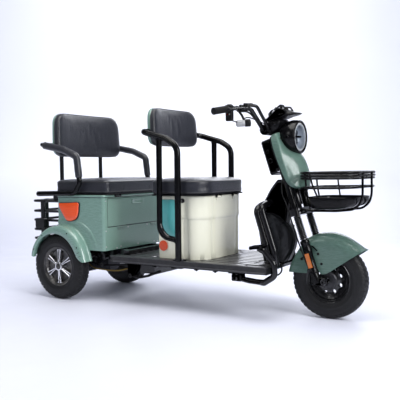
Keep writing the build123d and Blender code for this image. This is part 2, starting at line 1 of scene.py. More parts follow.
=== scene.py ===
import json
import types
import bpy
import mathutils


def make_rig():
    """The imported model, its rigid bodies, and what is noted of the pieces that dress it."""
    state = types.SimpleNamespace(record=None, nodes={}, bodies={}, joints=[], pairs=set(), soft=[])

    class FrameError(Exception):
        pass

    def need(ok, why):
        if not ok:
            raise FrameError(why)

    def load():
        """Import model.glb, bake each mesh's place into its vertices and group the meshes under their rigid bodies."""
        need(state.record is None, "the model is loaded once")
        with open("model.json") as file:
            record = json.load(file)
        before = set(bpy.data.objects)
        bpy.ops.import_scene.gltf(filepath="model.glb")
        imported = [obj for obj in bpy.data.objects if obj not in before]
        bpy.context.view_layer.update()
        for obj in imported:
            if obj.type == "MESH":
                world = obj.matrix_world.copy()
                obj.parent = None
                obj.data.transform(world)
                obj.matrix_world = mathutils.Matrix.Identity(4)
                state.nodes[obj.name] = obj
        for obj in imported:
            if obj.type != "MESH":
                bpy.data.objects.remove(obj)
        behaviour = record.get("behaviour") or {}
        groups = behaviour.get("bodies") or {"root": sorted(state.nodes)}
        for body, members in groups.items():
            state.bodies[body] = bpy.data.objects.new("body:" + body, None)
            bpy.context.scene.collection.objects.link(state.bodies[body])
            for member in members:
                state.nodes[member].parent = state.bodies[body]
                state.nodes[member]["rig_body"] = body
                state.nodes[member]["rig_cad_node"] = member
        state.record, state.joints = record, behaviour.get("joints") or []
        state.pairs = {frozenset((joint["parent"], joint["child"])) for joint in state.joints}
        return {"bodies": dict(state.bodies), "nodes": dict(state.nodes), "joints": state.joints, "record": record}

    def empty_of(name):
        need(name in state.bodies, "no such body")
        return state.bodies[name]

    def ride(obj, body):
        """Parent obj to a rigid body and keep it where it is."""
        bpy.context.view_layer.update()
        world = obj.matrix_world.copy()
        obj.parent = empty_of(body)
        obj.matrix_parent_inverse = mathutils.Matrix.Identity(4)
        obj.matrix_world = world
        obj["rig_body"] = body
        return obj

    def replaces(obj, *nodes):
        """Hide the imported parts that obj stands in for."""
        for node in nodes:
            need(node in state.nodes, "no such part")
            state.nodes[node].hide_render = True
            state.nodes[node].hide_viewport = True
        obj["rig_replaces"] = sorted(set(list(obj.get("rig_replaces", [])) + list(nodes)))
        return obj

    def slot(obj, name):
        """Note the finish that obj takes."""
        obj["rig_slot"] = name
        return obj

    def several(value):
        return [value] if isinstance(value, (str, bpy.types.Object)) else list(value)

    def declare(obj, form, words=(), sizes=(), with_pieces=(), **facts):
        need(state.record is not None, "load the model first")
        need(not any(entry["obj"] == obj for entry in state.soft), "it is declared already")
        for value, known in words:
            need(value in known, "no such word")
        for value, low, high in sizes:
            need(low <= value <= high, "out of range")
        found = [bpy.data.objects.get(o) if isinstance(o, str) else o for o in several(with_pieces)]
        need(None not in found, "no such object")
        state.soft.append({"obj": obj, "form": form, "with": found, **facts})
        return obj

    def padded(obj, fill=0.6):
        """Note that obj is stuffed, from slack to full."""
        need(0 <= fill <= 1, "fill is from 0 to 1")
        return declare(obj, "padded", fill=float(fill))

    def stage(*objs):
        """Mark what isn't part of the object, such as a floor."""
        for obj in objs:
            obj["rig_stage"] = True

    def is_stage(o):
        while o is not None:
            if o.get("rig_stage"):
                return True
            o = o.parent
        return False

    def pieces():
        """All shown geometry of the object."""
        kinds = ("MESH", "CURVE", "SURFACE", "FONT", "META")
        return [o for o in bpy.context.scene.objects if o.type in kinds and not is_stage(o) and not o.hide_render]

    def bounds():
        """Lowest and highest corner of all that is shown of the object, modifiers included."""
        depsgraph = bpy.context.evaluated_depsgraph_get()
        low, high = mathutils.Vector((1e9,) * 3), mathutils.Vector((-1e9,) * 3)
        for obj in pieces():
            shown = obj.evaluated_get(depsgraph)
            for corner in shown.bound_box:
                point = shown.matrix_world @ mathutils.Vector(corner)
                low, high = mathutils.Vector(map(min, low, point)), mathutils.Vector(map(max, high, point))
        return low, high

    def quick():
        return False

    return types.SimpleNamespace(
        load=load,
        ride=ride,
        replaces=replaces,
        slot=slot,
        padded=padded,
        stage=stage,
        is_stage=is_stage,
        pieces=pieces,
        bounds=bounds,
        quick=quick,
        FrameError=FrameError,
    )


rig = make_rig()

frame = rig.load()
CAD_LO, CAD_HI = [list(v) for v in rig.bounds()]

import bpy, bmesh, math, random, json
import numpy as np
from mathutils import Vector, Matrix, Quaternion

random.seed(7)
NODES = frame["nodes"]
SX = 696.5


def R(x, y, z):
    """station millimetres (x ahead of the rear axle, y left, z up) to row metres"""
    return Vector(((x - SX) / 1000.0, y / 1000.0, z / 1000.0))


A18 = math.radians(18.0)
SA, CA = math.sin(A18), math.cos(A18)


def S(u, y, w):
    """steering frame: u ahead of the steering axis, w up along it (station mm out)"""
    return (1353.6 + u * CA - w * SA, y, 510.0 + u * SA + w * CA)


# ------------------------------------------------------------------ node helpers
def new_mat(name):
    m = bpy.data.materials.new(name)
    m.use_nodes = True
    nt = m.node_tree
    nt.nodes.clear()
    out = nt.nodes.new("ShaderNodeOutputMaterial")
    b = nt.nodes.new("ShaderNodeBsdfPrincipled")
    nt.links.new(b.outputs[0], out.inputs[0])
    return m, nt, b


def nd(nt, kind, **kw):
    n = nt.nodes.new(kind)
    for k, v in kw.items():
        if k in n.inputs:
            n.inputs[k].default_value = v
        elif hasattr(n, k):
            setattr(n, k, v)
        else:
            k2 = k.replace("_", " ")
            n.inputs[k2].default_value = v
    return n


def lk(nt, a, b):
    nt.links.new(a, b)


def coords(nt, scale=(1, 1, 1)):
    tc = nt.nodes.new("ShaderNodeTexCoord")
    mp = nt.nodes.new("ShaderNodeMapping")
    mp.inputs["Scale"].default_value = scale
    lk(nt, tc.outputs["Object"], mp.inputs["Vector"])
    return mp.outputs["Vector"]


def noise(nt, vec, scale, detail=4.0, rough=0.55, dist=0.0):
    n = nd(nt, "ShaderNodeTexNoise", Scale=scale, Detail=detail, Roughness=rough, Distortion=dist)
    lk(nt, vec, n.inputs["Vector"])
    return n.outputs["Fac"]


def ramp(nt, fac, stops):
    r = nt.nodes.new("ShaderNodeValToRGB")
    els = r.color_ramp.elements
    while len(els) < len(stops):
        els.new(0.5)
    for e, (p, c) in zip(els, stops):
        e.position = p
        e.color = c if len(c) == 4 else (*c, 1.0)
    lk(nt, fac, r.inputs["Fac"])
    return r.outputs["Color"]


def fmap(nt, fac, a, b, c, d):
    m = nd(nt, "ShaderNodeMapRange")
    for k, v in zip(("From Min", "From Max", "To Min", "To Max"), (a, b, c, d)):
        m.inputs[k].default_value = v
    lk(nt, fac, m.inputs["Value"])
    return m.outputs["Result"]


def mixc(nt, fac, a, b, blend="MIX"):
    m = nt.nodes.new("ShaderNodeMix")
    m.data_type = "RGBA"
    m.blend_type = blend
    for s, v in ((m.inputs[6], a), (m.inputs[7], b)):
        if isinstance(v, (tuple, list)):
            s.default_value = v if len(v) == 4 else (*v, 1.0)
        else:
            lk(nt, v, s)
    if isinstance(fac, (int, float)):
        m.inputs[0].default_value = fac
    else:
        lk(nt, fac, m.inputs[0])
    return m.outputs[2]


def mth(nt, op, a, b=0.0, clamp=False):
    m = nt.nodes.new("ShaderNodeMath")
    m.operation = op
    m.use_clamp = clamp
    for s, v in ((m.inputs[0], a), (m.inputs[1], b)):
        if isinstance(v, (int, float)):
            s.default_value = v
        else:
            lk(nt, v, s)
    return m.outputs[0]


def bump(nt, b, height, strength=0.3, dist=0.001, prev=None):
    n = nd(nt, "ShaderNodeBump", Strength=strength, Distance=dist)
    lk(nt, height, n.inputs["Height"])
    if prev is not None:
        lk(nt, prev, n.inputs["Normal"])
    lk(nt, n.outputs["Normal"], b.inputs["Normal"])
    return n.outputs["Normal"]


def edge_mask(nt, radius=0.002, lo=0.004, hi=0.06):
    """0 on faces, 1 along sharp edges"""
    bv = nd(nt, "ShaderNodeBevel", samples=4)
    bv.inputs["Radius"].default_value = radius
    g = nt.nodes.new("ShaderNodeNewGeometry")
    dot = nt.nodes.new("ShaderNodeVectorMath")
    dot.operation = "DOT_PRODUCT"
    lk(nt, bv.outputs["Normal"], dot.inputs[0])
    lk(nt, g.outputs["Normal"], dot.inputs[1])
    inv = mth(nt, "SUBTRACT", 1.0, dot.outputs["Value"])
    return fmap(nt, inv, lo, hi, 0.0, 1.0)


def height_dust(nt, z0, z1):
    """1 low down, 0 above z1 (metres)"""
    tc = nt.nodes.new("ShaderNodeTexCoord")
    sp = nt.nodes.new("ShaderNodeSeparateXYZ")
    lk(nt, tc.outputs["Object"], sp.inputs[0])
    return fmap(nt, sp.outputs["Z"], z0, z1, 1.0, 0.0)


# ------------------------------------------------------------------ materials
def paint(name, col, rough=0.18, coat=1.0, coat_rough=0.04, var=0.05, orange=0.05, edge=0.35, spec=0.5, dust=0.05, metal=0.0):
    m, nt, b = new_mat(name)
    v = coords(nt)
    big = noise(nt, v, 6.0, 3)
    fine = noise(nt, v, 420.0, 2)
    c = tuple(col)
    d = tuple(x * (1 - var) for x in c)
    u = tuple(min(1, x * (1 + var)) for x in c)
    colr = mixc(nt, big, d, u)
    scr = noise(nt, coords(nt, (3, 40, 40)), 9.0, 5, 0.7)
    if dust > 0:
        dm = mth(nt, "MULTIPLY", height_dust(nt, 0.18, 0.42), fmap(nt, noise(nt, v, 28.0, 6, 0.7), 0.42, 0.75, 0.0, 1.0))
        colr = mixc(nt, mth(nt, "MULTIPLY", dm, dust * 4, True), colr, (0.42, 0.39, 0.34))
    if edge > 0:
        em = mth(nt, "MULTIPLY", edge_mask(nt, 0.0016), fmap(nt, noise(nt, v, 60.0, 4), 0.35, 0.7, 0.2, 1.0))
        lite = tuple(min(1.0, x * 1.35 + 0.05) for x in c)
        colr = mixc(nt, mth(nt, "MULTIPLY", em, edge), colr, lite)
    lk(nt, colr, b.inputs["Base Color"])
    lk(nt, fmap(nt, scr, 0.3, 0.8, rough * 0.93, rough * 1.14), b.inputs["Roughness"])
    b.inputs["Metallic"].default_value = metal
    b.inputs["Coat Weight"].default_value = coat
    b.inputs["Coat Roughness"].default_value = coat_rough
    b.inputs["Specular IOR Level"].default_value = spec
    bump(nt, b, mth(nt, "ADD", mth(nt, "MULTIPLY", fine, 0.35), noise(nt, v, 130.0, 2)), orange, 0.0006)
    return m


def plastic(name, col, rough=0.38, var=0.06, grain=0.12, gscale=1400.0, edge=0.3, coat=0.0, dust=0.0, spec=0.5, lite=None):
    m, nt, b = new_mat(name)
    v = coords(nt)
    big = noise(nt, v, 9.0, 4)
    c = tuple(col)
    colr = mixc(nt, big, tuple(x * (1 - var) for x in c), tuple(min(1, x * (1 + var)) for x in c))
    if dust > 0:
        dm = fmap(nt, noise(nt, v, 22.0, 7, 0.72), 0.45, 0.72, 0.0, dust)
        colr = mixc(nt, dm, colr, (0.36, 0.34, 0.31))
    if edge > 0:
        em = mth(nt, "MULTIPLY", edge_mask(nt, 0.0015), edge)
        colr = mixc(nt, em, colr, lite or tuple(min(1.0, x * 1.5 + 0.05) for x in c))
    lk(nt, colr, b.inputs["Base Color"])
    r2 = noise(nt, v, 45.0, 5, 0.65)
    lk(nt, fmap(nt, r2, 0.3, 0.75, rough * 0.85, min(1, rough * 1.2)), b.inputs["Roughness"])
    b.inputs["Coat Weight"].default_value = coat
    b.inputs["Coat Roughness"].default_value = 0.08
    b.inputs["Specular IOR Level"].default_value = spec
    g = nd(nt, "ShaderNodeTexVoronoi", Scale=gscale)
    lk(nt, v, g.inputs["Vector"])
    bump(nt, b, mth(nt, "ADD", g.outputs["Distance"], mth(nt, "MULTIPLY", noise(nt, v, 60.0, 3), 1.4)), grain, 0.0005)
    return m


def leather(name, col, rough=0.42, scale=620.0, strength=0.35, wrinkle=0.35):
    m, nt, b = new_mat(name)
    v = coords(nt)
    vo = nd(nt, "ShaderNodeTexVoronoi", Scale=scale)
    vo.feature = "DISTANCE_TO_EDGE"
    jit = nd(nt, "ShaderNodeTexNoise", Scale=scale * 0.4, Detail=2.0)
    lk(nt, v, jit.inputs["Vector"])
    mv = nt.nodes.new("ShaderNodeMix")
    mv.data_type = "VECTOR"
    mv.inputs[0].default_value = 0.002
    lk(nt, v, mv.inputs[4])
    lk(nt, jit.outputs["Color"], mv.inputs[5])
    lk(nt, mv.outputs[1], vo.inputs["Vector"])
    grain = fmap(nt, vo.outputs["Distance"], 0.0, 0.12, 0.0, 1.0)
    wr = noise(nt, coords(nt, (1.0, 1.6, 1.0)), 34.0, 6, 0.6, 0.6)
    wr2 = noise(nt, v, 7.0, 3)
    c = tuple(col)
    base = mixc(nt, wr2, tuple(x * 0.9 for x in c), tuple(x * 1.14 for x in c))
    base = mixc(nt, mth(nt, "MULTIPLY", mth(nt, "SUBTRACT", 1.0, grain), 0.35), base, tuple(x * 0.55 for x in c))
    lk(nt, base, b.inputs["Base Color"])
    lk(nt, fmap(nt, mth(nt, "ADD", mth(nt, "MULTIPLY", wr, 0.7), mth(nt, "MULTIPLY", grain, 0.1)), 0.25, 0.65, rough * 0.82, rough * 1.25), b.inputs["Roughness"])
    b.inputs["Specular IOR Level"].default_value = 0.55
    b.inputs["Sheen Weight"].default_value = 0.06
    b.inputs["Sheen Roughness"].default_value = 0.4
    n1 = bump(nt, b, wr, wrinkle, 0.0016)
    bump(nt, b, grain, strength, 0.00035, n1)
    return m


def metal(name, col, rough=0.28, brush=(400, 8, 8), var=0.06, bstr=0.1, grime=0.25, spec=0.5, coat=0.0):
    m, nt, b = new_mat(name)
    v = coords(nt)
    c = tuple(col)
    st = noise(nt, coords(nt, brush), 4.0, 4, 0.7)
    colr = mixc(nt, noise(nt, v, 14.0, 4), tuple(x * (1 - var) for x in c), tuple(min(1, x * (1 + var)) for x in c))
    if grime > 0:
        gm = fmap(nt, noise(nt, v, 70.0, 7, 0.75), 0.5, 0.75, 0.0, grime)
        colr = mixc(nt, gm, colr, tuple(x * 0.35 for x in c))
    lk(nt, colr, b.inputs["Base Color"])
    b.inputs["Metallic"].default_value = 1.0
    lk(nt, fmap(nt, st, 0.25, 0.8, rough * 0.75, rough * 1.4), b.inputs["Roughness"])
    b.inputs["Coat Weight"].default_value = coat
    bump(nt, b, st, bstr, 0.0003)
    return m


def rubber(name, col=(0.028, 0.028, 0.03), rough=0.62, dust=0.35, grain=0.25, gs=900.0):
    m, nt, b = new_mat(name)
    v = coords(nt)
    c = tuple(col)
    colr = mixc(nt, noise(nt, v, 18.0, 5), tuple(x * 0.85 for x in c), tuple(x * 1.25 for x in c))
    if dust > 0:
        dm = fmap(nt, noise(nt, v, 36.0, 7, 0.75), 0.46, 0.8, 0.0, dust)
        colr = mixc(nt, dm, colr, (0.17, 0.16, 0.15))
    lk(nt, colr, b.inputs["Base Color"])
    lk(nt, fmap(nt, noise(nt, v, 50.0, 5, 0.7), 0.3, 0.75, rough * 0.85, min(1.0, rough * 1.25)), b.inputs["Roughness"])
    b.inputs["Specular IOR Level"].default_value = 0.4
    bump(nt, b, noise(nt, v, gs, 3, 0.6), grain, 0.0004)
    return m

# ------------------------------------------------------------------ mesh helpers (station millimetres in)
class Acc:
    """collects faces of one piece, each with a material number"""

    def __init__(self):
        self.v, self.f, self.m = [], [], []

    def add(self, verts, faces, mat=0):
        o = len(self.v)
        self.v += [tuple(p) for p in verts]
        self.f += [tuple(i + o for i in f) for f in faces]
        self.m += [mat] * len(faces)
        return self

    def mirror(self, keep=True):
        """adds the mirror image about the middle plane"""
        o = len(self.v)
        nv = [(x, -y, z) for x, y, z in self.v]
        nf = [tuple(reversed([i + o for i in f])) for f in self.f]
        nm = list(self.m)
        self.v += nv
        self.f += nf
        self.m += nm
        return self


def piece(name, acc, mats, body="root", replaces=(), slot=None, angle=38.0, bev=None, sub=0, solid=None, clean=True, wn=False, outward=True):
    me = bpy.data.meshes.new(name)
    me.from_pydata([tuple(R(*p)) for p in acc.v], [], acc.f)
    for m in mats:
        me.materials.append(m)
    for p, k in zip(me.polygons, acc.m):
        p.material_index = k
    bm = bmesh.new()
    bm.from_mesh(me)
    if clean:
        bmesh.ops.remove_doubles(bm, verts=bm.verts, dist=0.00002)
        bmesh.ops.dissolve_degenerate(bm, edges=bm.edges, dist=0.00001)
    if outward:
        bmesh.ops.recalc_face_normals(bm, faces=bm.faces)
    bm.to_mesh(me)
    bm.free()
    o = bpy.data.objects.new(name, me)
    bpy.context.scene.collection.objects.link(o)
    for p in me.polygons:
        p.use_smooth = True
    if solid:
        md = o.modifiers.new("thick", "SOLIDIFY")
        md.thickness = solid[0] / 1000.0
        md.offset = solid[1]
        md.use_even_offset = True
    if bev:
        md = o.modifiers.new("edges", "BEVEL")
        md.width = bev[0] / 1000.0
        md.segments = bev[1] if len(bev) > 1 else 2
        md.limit_method = "ANGLE"
        md.angle_limit = math.radians(bev[2] if len(bev) > 2 else 32)
        md.harden_normals = False
    if sub:
        md = o.modifiers.new("sub", "SUBSURF")
        md.levels = md.render_levels = sub
    if angle is not None and angle < 180:
        smooth_by_angle(o, angle)
    if wn:
        md = o.modifiers.new("wn", "WEIGHTED_NORMAL")
        md.keep_sharp = True
    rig.ride(o, body)
    if replaces:
        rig.replaces(o, *replaces)
    if slot:
        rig.slot(o, slot)
    return o


def smooth_by_angle(o, deg):
    """sharp edges by angle, kept on the mesh itself"""
    me = o.data
    bm = bmesh.new()
    bm.from_mesh(me)
    a = math.radians(deg)
    for e in bm.edges:
        if len(e.link_faces) == 2:
            e.smooth = e.calc_face_angle(0.0) < a
        else:
            e.smooth = True
    bm.to_mesh(me)
    bm.free()


def vadd(a, b, k=1.0):
    return (a[0] + b[0] * k, a[1] + b[1] * k, a[2] + b[2] * k)


def round_path(pts, radii, step=8.0):
    """polyline with its corners rounded, as evenly spaced points"""
    P = [Vector(p) for p in pts]
    n = len(P)
    if isinstance(radii, (int, float)):
        radii = [radii] * (n - 2)
    out = [P[0]]
    for i in range(1, n - 1):
        a, b, c = P[i - 1], P[i], P[i + 1]
        d1, d2 = (a - b).normalized(), (c - b).normalized()
        ang = d1.angle(d2)
        r = radii[i - 1]
        if ang > math.pi - 0.002 or r <= 0:
            out.append(b)
            continue
        t = min(r / math.tan(ang / 2), (a - b).length * 0.48, (c - b).length * 0.48)
        r = t * math.tan(ang / 2)
        bis = (d1 + d2).normalized()
        cen = b + bis * (r / math.sin(ang / 2))
        s, e = b + d1 * t, b + d2 * t
        u, w = (s - cen), (e - cen)
        tot = u.angle(w)
        k = max(3, int(math.ceil(tot / math.radians(9))))
        ax = u.cross(w).normalized()
        for j in range(k + 1):
            out.append(cen + Quaternion(ax, tot * j / k) @ u)
    out.append(P[-1])
    # split long runs
    res = [out[0]]
    for a, b in zip(out, out[1:]):
        L = (b - a).length
        if L < 1e-6:
            continue
        k = max(1, int(L / (step * 6)))
        for j in range(1, k + 1):
            res.append(a.lerp(b, j / k))
    return res


def sweep(acc, path, r, seg=16, mat=0, caps=True, rx=None, twist0=None, rad_fn=None, cap_round=0.0, closed=False):
    """round (or oval: r across, rx the other way) tube along path"""
    P = [Vector(p) for p in path]
    n = len(P)
    if closed:
        T = [(P[(i + 1) % n] - P[i - 1]).normalized() for i in range(n)]
    else:
        T = [(P[min(i + 1, n - 1)] - P[max(i - 1, 0)]).normalized() for i in range(n)]
    ref = Vector(twist0) if twist0 else (Vector((0, 0, 1)) if abs(T[0].z) < 0.9 else Vector((1, 0, 0)))
    U = (ref - T[0] * ref.dot(T[0])).normalized()
    rings = []
    Us = []
    for i in range(n):
        if i:
            q = T[i - 1].rotation_difference(T[i])
            U = (q @ U)
            U = (U - T[i] * U.dot(T[i])).normalized()
        Us.append(U.copy())
    if closed:
        # spread the closing twist
        q = T[-1].rotation_difference(T[0])
        Ue = q @ Us[-1]
        ang = math.atan2(T[0].dot(Ue.cross(Us[0])), Ue.dot(Us[0]))
        Us = [Quaternion(T[i], ang * i / n) @ Us[i] for i in range(n)]
    verts = []
    for i in range(n):
        W = T[i].cross(Us[i])
        k = rad_fn(i / (n - 1)) if rad_fn else 1.0
        for j in range(seg):
            t = 2 * math.pi * j / seg
            verts.append(P[i] + Us[i] * (math.cos(t) * r * k) + W * (math.sin(t) * (rx or r) * k))
    faces = []
    m = n if closed else n - 1
    for i in range(m):
        a, b = i * seg, ((i + 1) % n) * seg
        for j in range(seg):
            j2 = (j + 1) % seg
            faces.append((a + j, a + j2, b + j2, b + j))
    if caps and not closed:
        if cap_round > 0:
            for end in (0, 1):
                base = 0 if end == 0 else (n - 1) * seg
                c = P[0] if end == 0 else P[-1]
                d = -T[0] if end == 0 else T[-1]
                prev = list(range(base, base + seg))
                K = 4
                for k in range(1, K + 1):
                    a = math.pi / 2 * k / K
                    if k == K:
                        verts.append(c + d * cap_round)
                        tip = len(verts) - 1
                        for j in range(seg):
                            f = (prev[j], prev[(j + 1) % seg], tip)
                            faces.append(f if end else tuple(reversed(f)))
                    else:
                        ring = []
                        for j in range(seg):
                            p = verts[base + j]
                            verts.append(c + (p - c) * math.cos(a) + d * (math.sin(a) * cap_round))
                            ring.append(len(verts) - 1)
                        for j in range(seg):
                            f = (prev[j], prev[(j + 1) % seg], ring[(j + 1) % seg], ring[j])
                            faces.append(f if end else tuple(reversed(f)))
                        prev = ring
        else:
            faces.append(tuple(reversed(range(seg))))
            faces.append(tuple(range((n - 1) * seg, n * seg)))
    acc.add(verts, faces, mat)
    return acc


def lathe(acc, prof, centre, axis="y", seg=48, mat=0, close=True, ang0=0.0, ang1=360.0, frame3=None, mat_fn=None):
    """prof: [(radius, along)] turned about an axis through centre; frame3 = (X, Y, Z) unit vectors with Z the axis"""
    c = Vector(centre)
    if frame3:
        X, Y, Z = [Vector(q) for q in frame3]
    else:
        X, Y, Z = {"y": (Vector((1, 0, 0)), Vector((0, 0, -1)), Vector((0, 1, 0))),
                   "x": (Vector((0, 1, 0)), Vector((0, 0, 1)), Vector((1, 0, 0))),
                   "z": (Vector((1, 0, 0)), Vector((0, 1, 0)), Vector((0, 0, 1)))}[axis]
    full = abs(ang1 - ang0 - 360) < 1e-6
    n = seg if full else seg + 1
    verts = []
    for i in range(n):
        t = math.radians(ang0 + (ang1 - ang0) * i / seg)
        d = X * math.cos(t) + Y * math.sin(t)
        for r, h in prof:
            verts.append(c + d * r + Z * h)
    k = len(prof)
    m = n if full else n - 1
    o = len(acc.v)
    acc.v += [tuple(p) for p in verts]
    for i in range(m):
        a, b = i * k, ((i + 1) % n) * k
        for j in range(k if close else k - 1):
            j2 = (j + 1) % k
            f = [a + j, a + j2, b + j2, b + j]
            acc.f.append(tuple(q + o for q in f))
            acc.m.append(mat_fn(i, j) if mat_fn else mat)
    if not full and close:
        acc.f.append(tuple(o + q for q in range(k)))
        acc.m.append(mat)
        acc.f.append(tuple(o + (n - 1) * k + q for q in reversed(range(k))))
        acc.m.append(mat)
    return acc


def loft(acc, rings, mat=0, closed=True, cap=True, mat_fn=None):
    """rings of equal point counts joined to a skin"""
    k = len(rings[0])
    o = len(acc.v)
    for r in rings:
        acc.v += [tuple(p) for p in r]
    for i in range(len(rings) - 1):
        a, b = i * k, (i + 1) * k
        for j in range(k if closed else k - 1):
            j2 = (j + 1) % k
            acc.f.append(tuple(o + q for q in (a + j, a + j2, b + j2, b + j)))
            acc.m.append(mat_fn(i, j) if mat_fn else mat)
    if cap:
        acc.f.append(tuple(o + q for q in reversed(range(k))))
        acc.f.append(tuple(o + (len(rings) - 1) * k + q for q in range(k)))
        acc.m += [mat, mat]
    return acc


def block(acc, x0, x1, y0, y1, z0, z1, mat=0):
    v = [(x0, y0, z0), (x1, y0, z0), (x1, y1, z0), (x0, y1, z0), (x0, y0, z1), (x1, y0, z1), (x1, y1, z1), (x0, y1, z1)]
    f = [(0, 3, 2, 1), (4, 5, 6, 7), (0, 1, 5, 4), (1, 2, 6, 5), (2, 3, 7, 6), (3, 0, 4, 7)]
    return acc.add(v, f, mat)


def obox(acc, c, ax, size, mat=0):
    """box with centre c, axes ax (3 unit vectors) and full sizes"""
    c = Vector(c)
    X, Y, Z = [Vector(a).normalized() * (s / 2) for a, s in zip(ax, size)]
    v = []
    for k in (-1, 1):
        for i, j in ((-1, -1), (1, -1), (1, 1), (-1, 1)):
            v.append(c + X * i + Y * j + Z * k)
    f = [(0, 3, 2, 1), (4, 5, 6, 7), (0, 1, 5, 4), (1, 2, 6, 5), (2, 3, 7, 6), (3, 0, 4, 7)]
    return acc.add(v, f, mat)


def prism(acc, pts, y0, y1, mat=0):
    """outline in x, z pushed from y0 to y1"""
    n = len(pts)
    v = [(x, y0, z) for x, z in pts] + [(x, y1, z) for x, z in pts]
    f = [tuple(range(n)), tuple(reversed(range(n, 2 * n)))]
    f += [(i, i + n, (i + 1) % n + n, (i + 1) % n) for i in range(n)]
    return acc.add(v, f, mat)


def hexbolt(acc, c, d, r=5.0, h=4.0, mat=0, washer=True, dome=False):
    """bolt head on a face at c, pointing along d"""
    d = Vector(d).normalized()
    ref = Vector((0, 0, 1)) if abs(d.z) < 0.8 else Vector((1, 0, 0))
    X = ref.cross(d).normalized()
    Y = d.cross(X)
    fr = (X, Y, d)
    if washer:
        lathe(acc, [(0.01, -0.6), (r * 1.35, -0.6), (r * 1.35, 0.9), (r * 0.9, 1.1), (0.01, 1.1)], c, seg=20, mat=mat, close=False, frame3=fr)
    if dome:
        lathe(acc, [(0.01, 0.5), (r, 0.5), (r, h * 0.45), (r * 0.85, h * 0.75), (r * 0.5, h * 0.95), (0.4 * r, h), (0.38 * r, h * 0.5), (0.01, h * 0.5)], c, seg=16, mat=mat, close=False, frame3=fr)
    else:
        lathe(acc, [(0.01, 0.4), (r * 1.02, 0.4), (r * 1.02, h * 0.85), (r * 0.86, h), (0.01, h)], c, seg=6, mat=mat, close=False, frame3=fr)
    return acc


def arc(cx, cz, r, a0, a1, n):
    """points in x, z on an arc (degrees)"""
    return [(cx + r * math.cos(math.radians(a0 + (a1 - a0) * i / n)), cz + r * math.sin(math.radians(a0 + (a1 - a0) * i / n))) for i in range(n + 1)]


def rrect(hx, hy, r, n=6):
    """rounded rectangle outline, hx by hy half sizes"""
    out = []
    for cx, cy, a in ((hx - r, hy - r, 0), (-hx + r, hy - r, 90), (-hx + r, -hy + r, 180), (hx - r, -hy + r, 270)):
        for i in range(n + 1):
            t = math.radians(a + 90 * i / n)
            out.append((cx + r * math.cos(t), cy + r * math.sin(t)))
    return out


def spl(points, n):
    """Catmull-Rom curve through points, n samples a span"""
    P = [np.array(p, float) for p in points]
    P = [2 * P[0] - P[1]] + P + [2 * P[-1] - P[-2]]
    out = []
    for i in range(1, len(P) - 2):
        a, b, c, d = P[i - 1:i + 3]
        for k in range(n):
            t = k / n
            out.append(0.5 * ((2 * b) + (c - a) * t + (2 * a - 5 * b + 4 * c - d) * t * t + (-a + 3 * b - 3 * c + d) * t ** 3))
    out.append(P[-2])
    return [tuple(float(q) for q in p) for p in out]


def set_mat(node, *mats):
    o = NODES[node]
    if not o.material_slots:
        o.data.materials.append(mats[0])
    for i, s in enumerate(o.material_slots):
        s.material = mats[min(i, len(mats) - 1)]

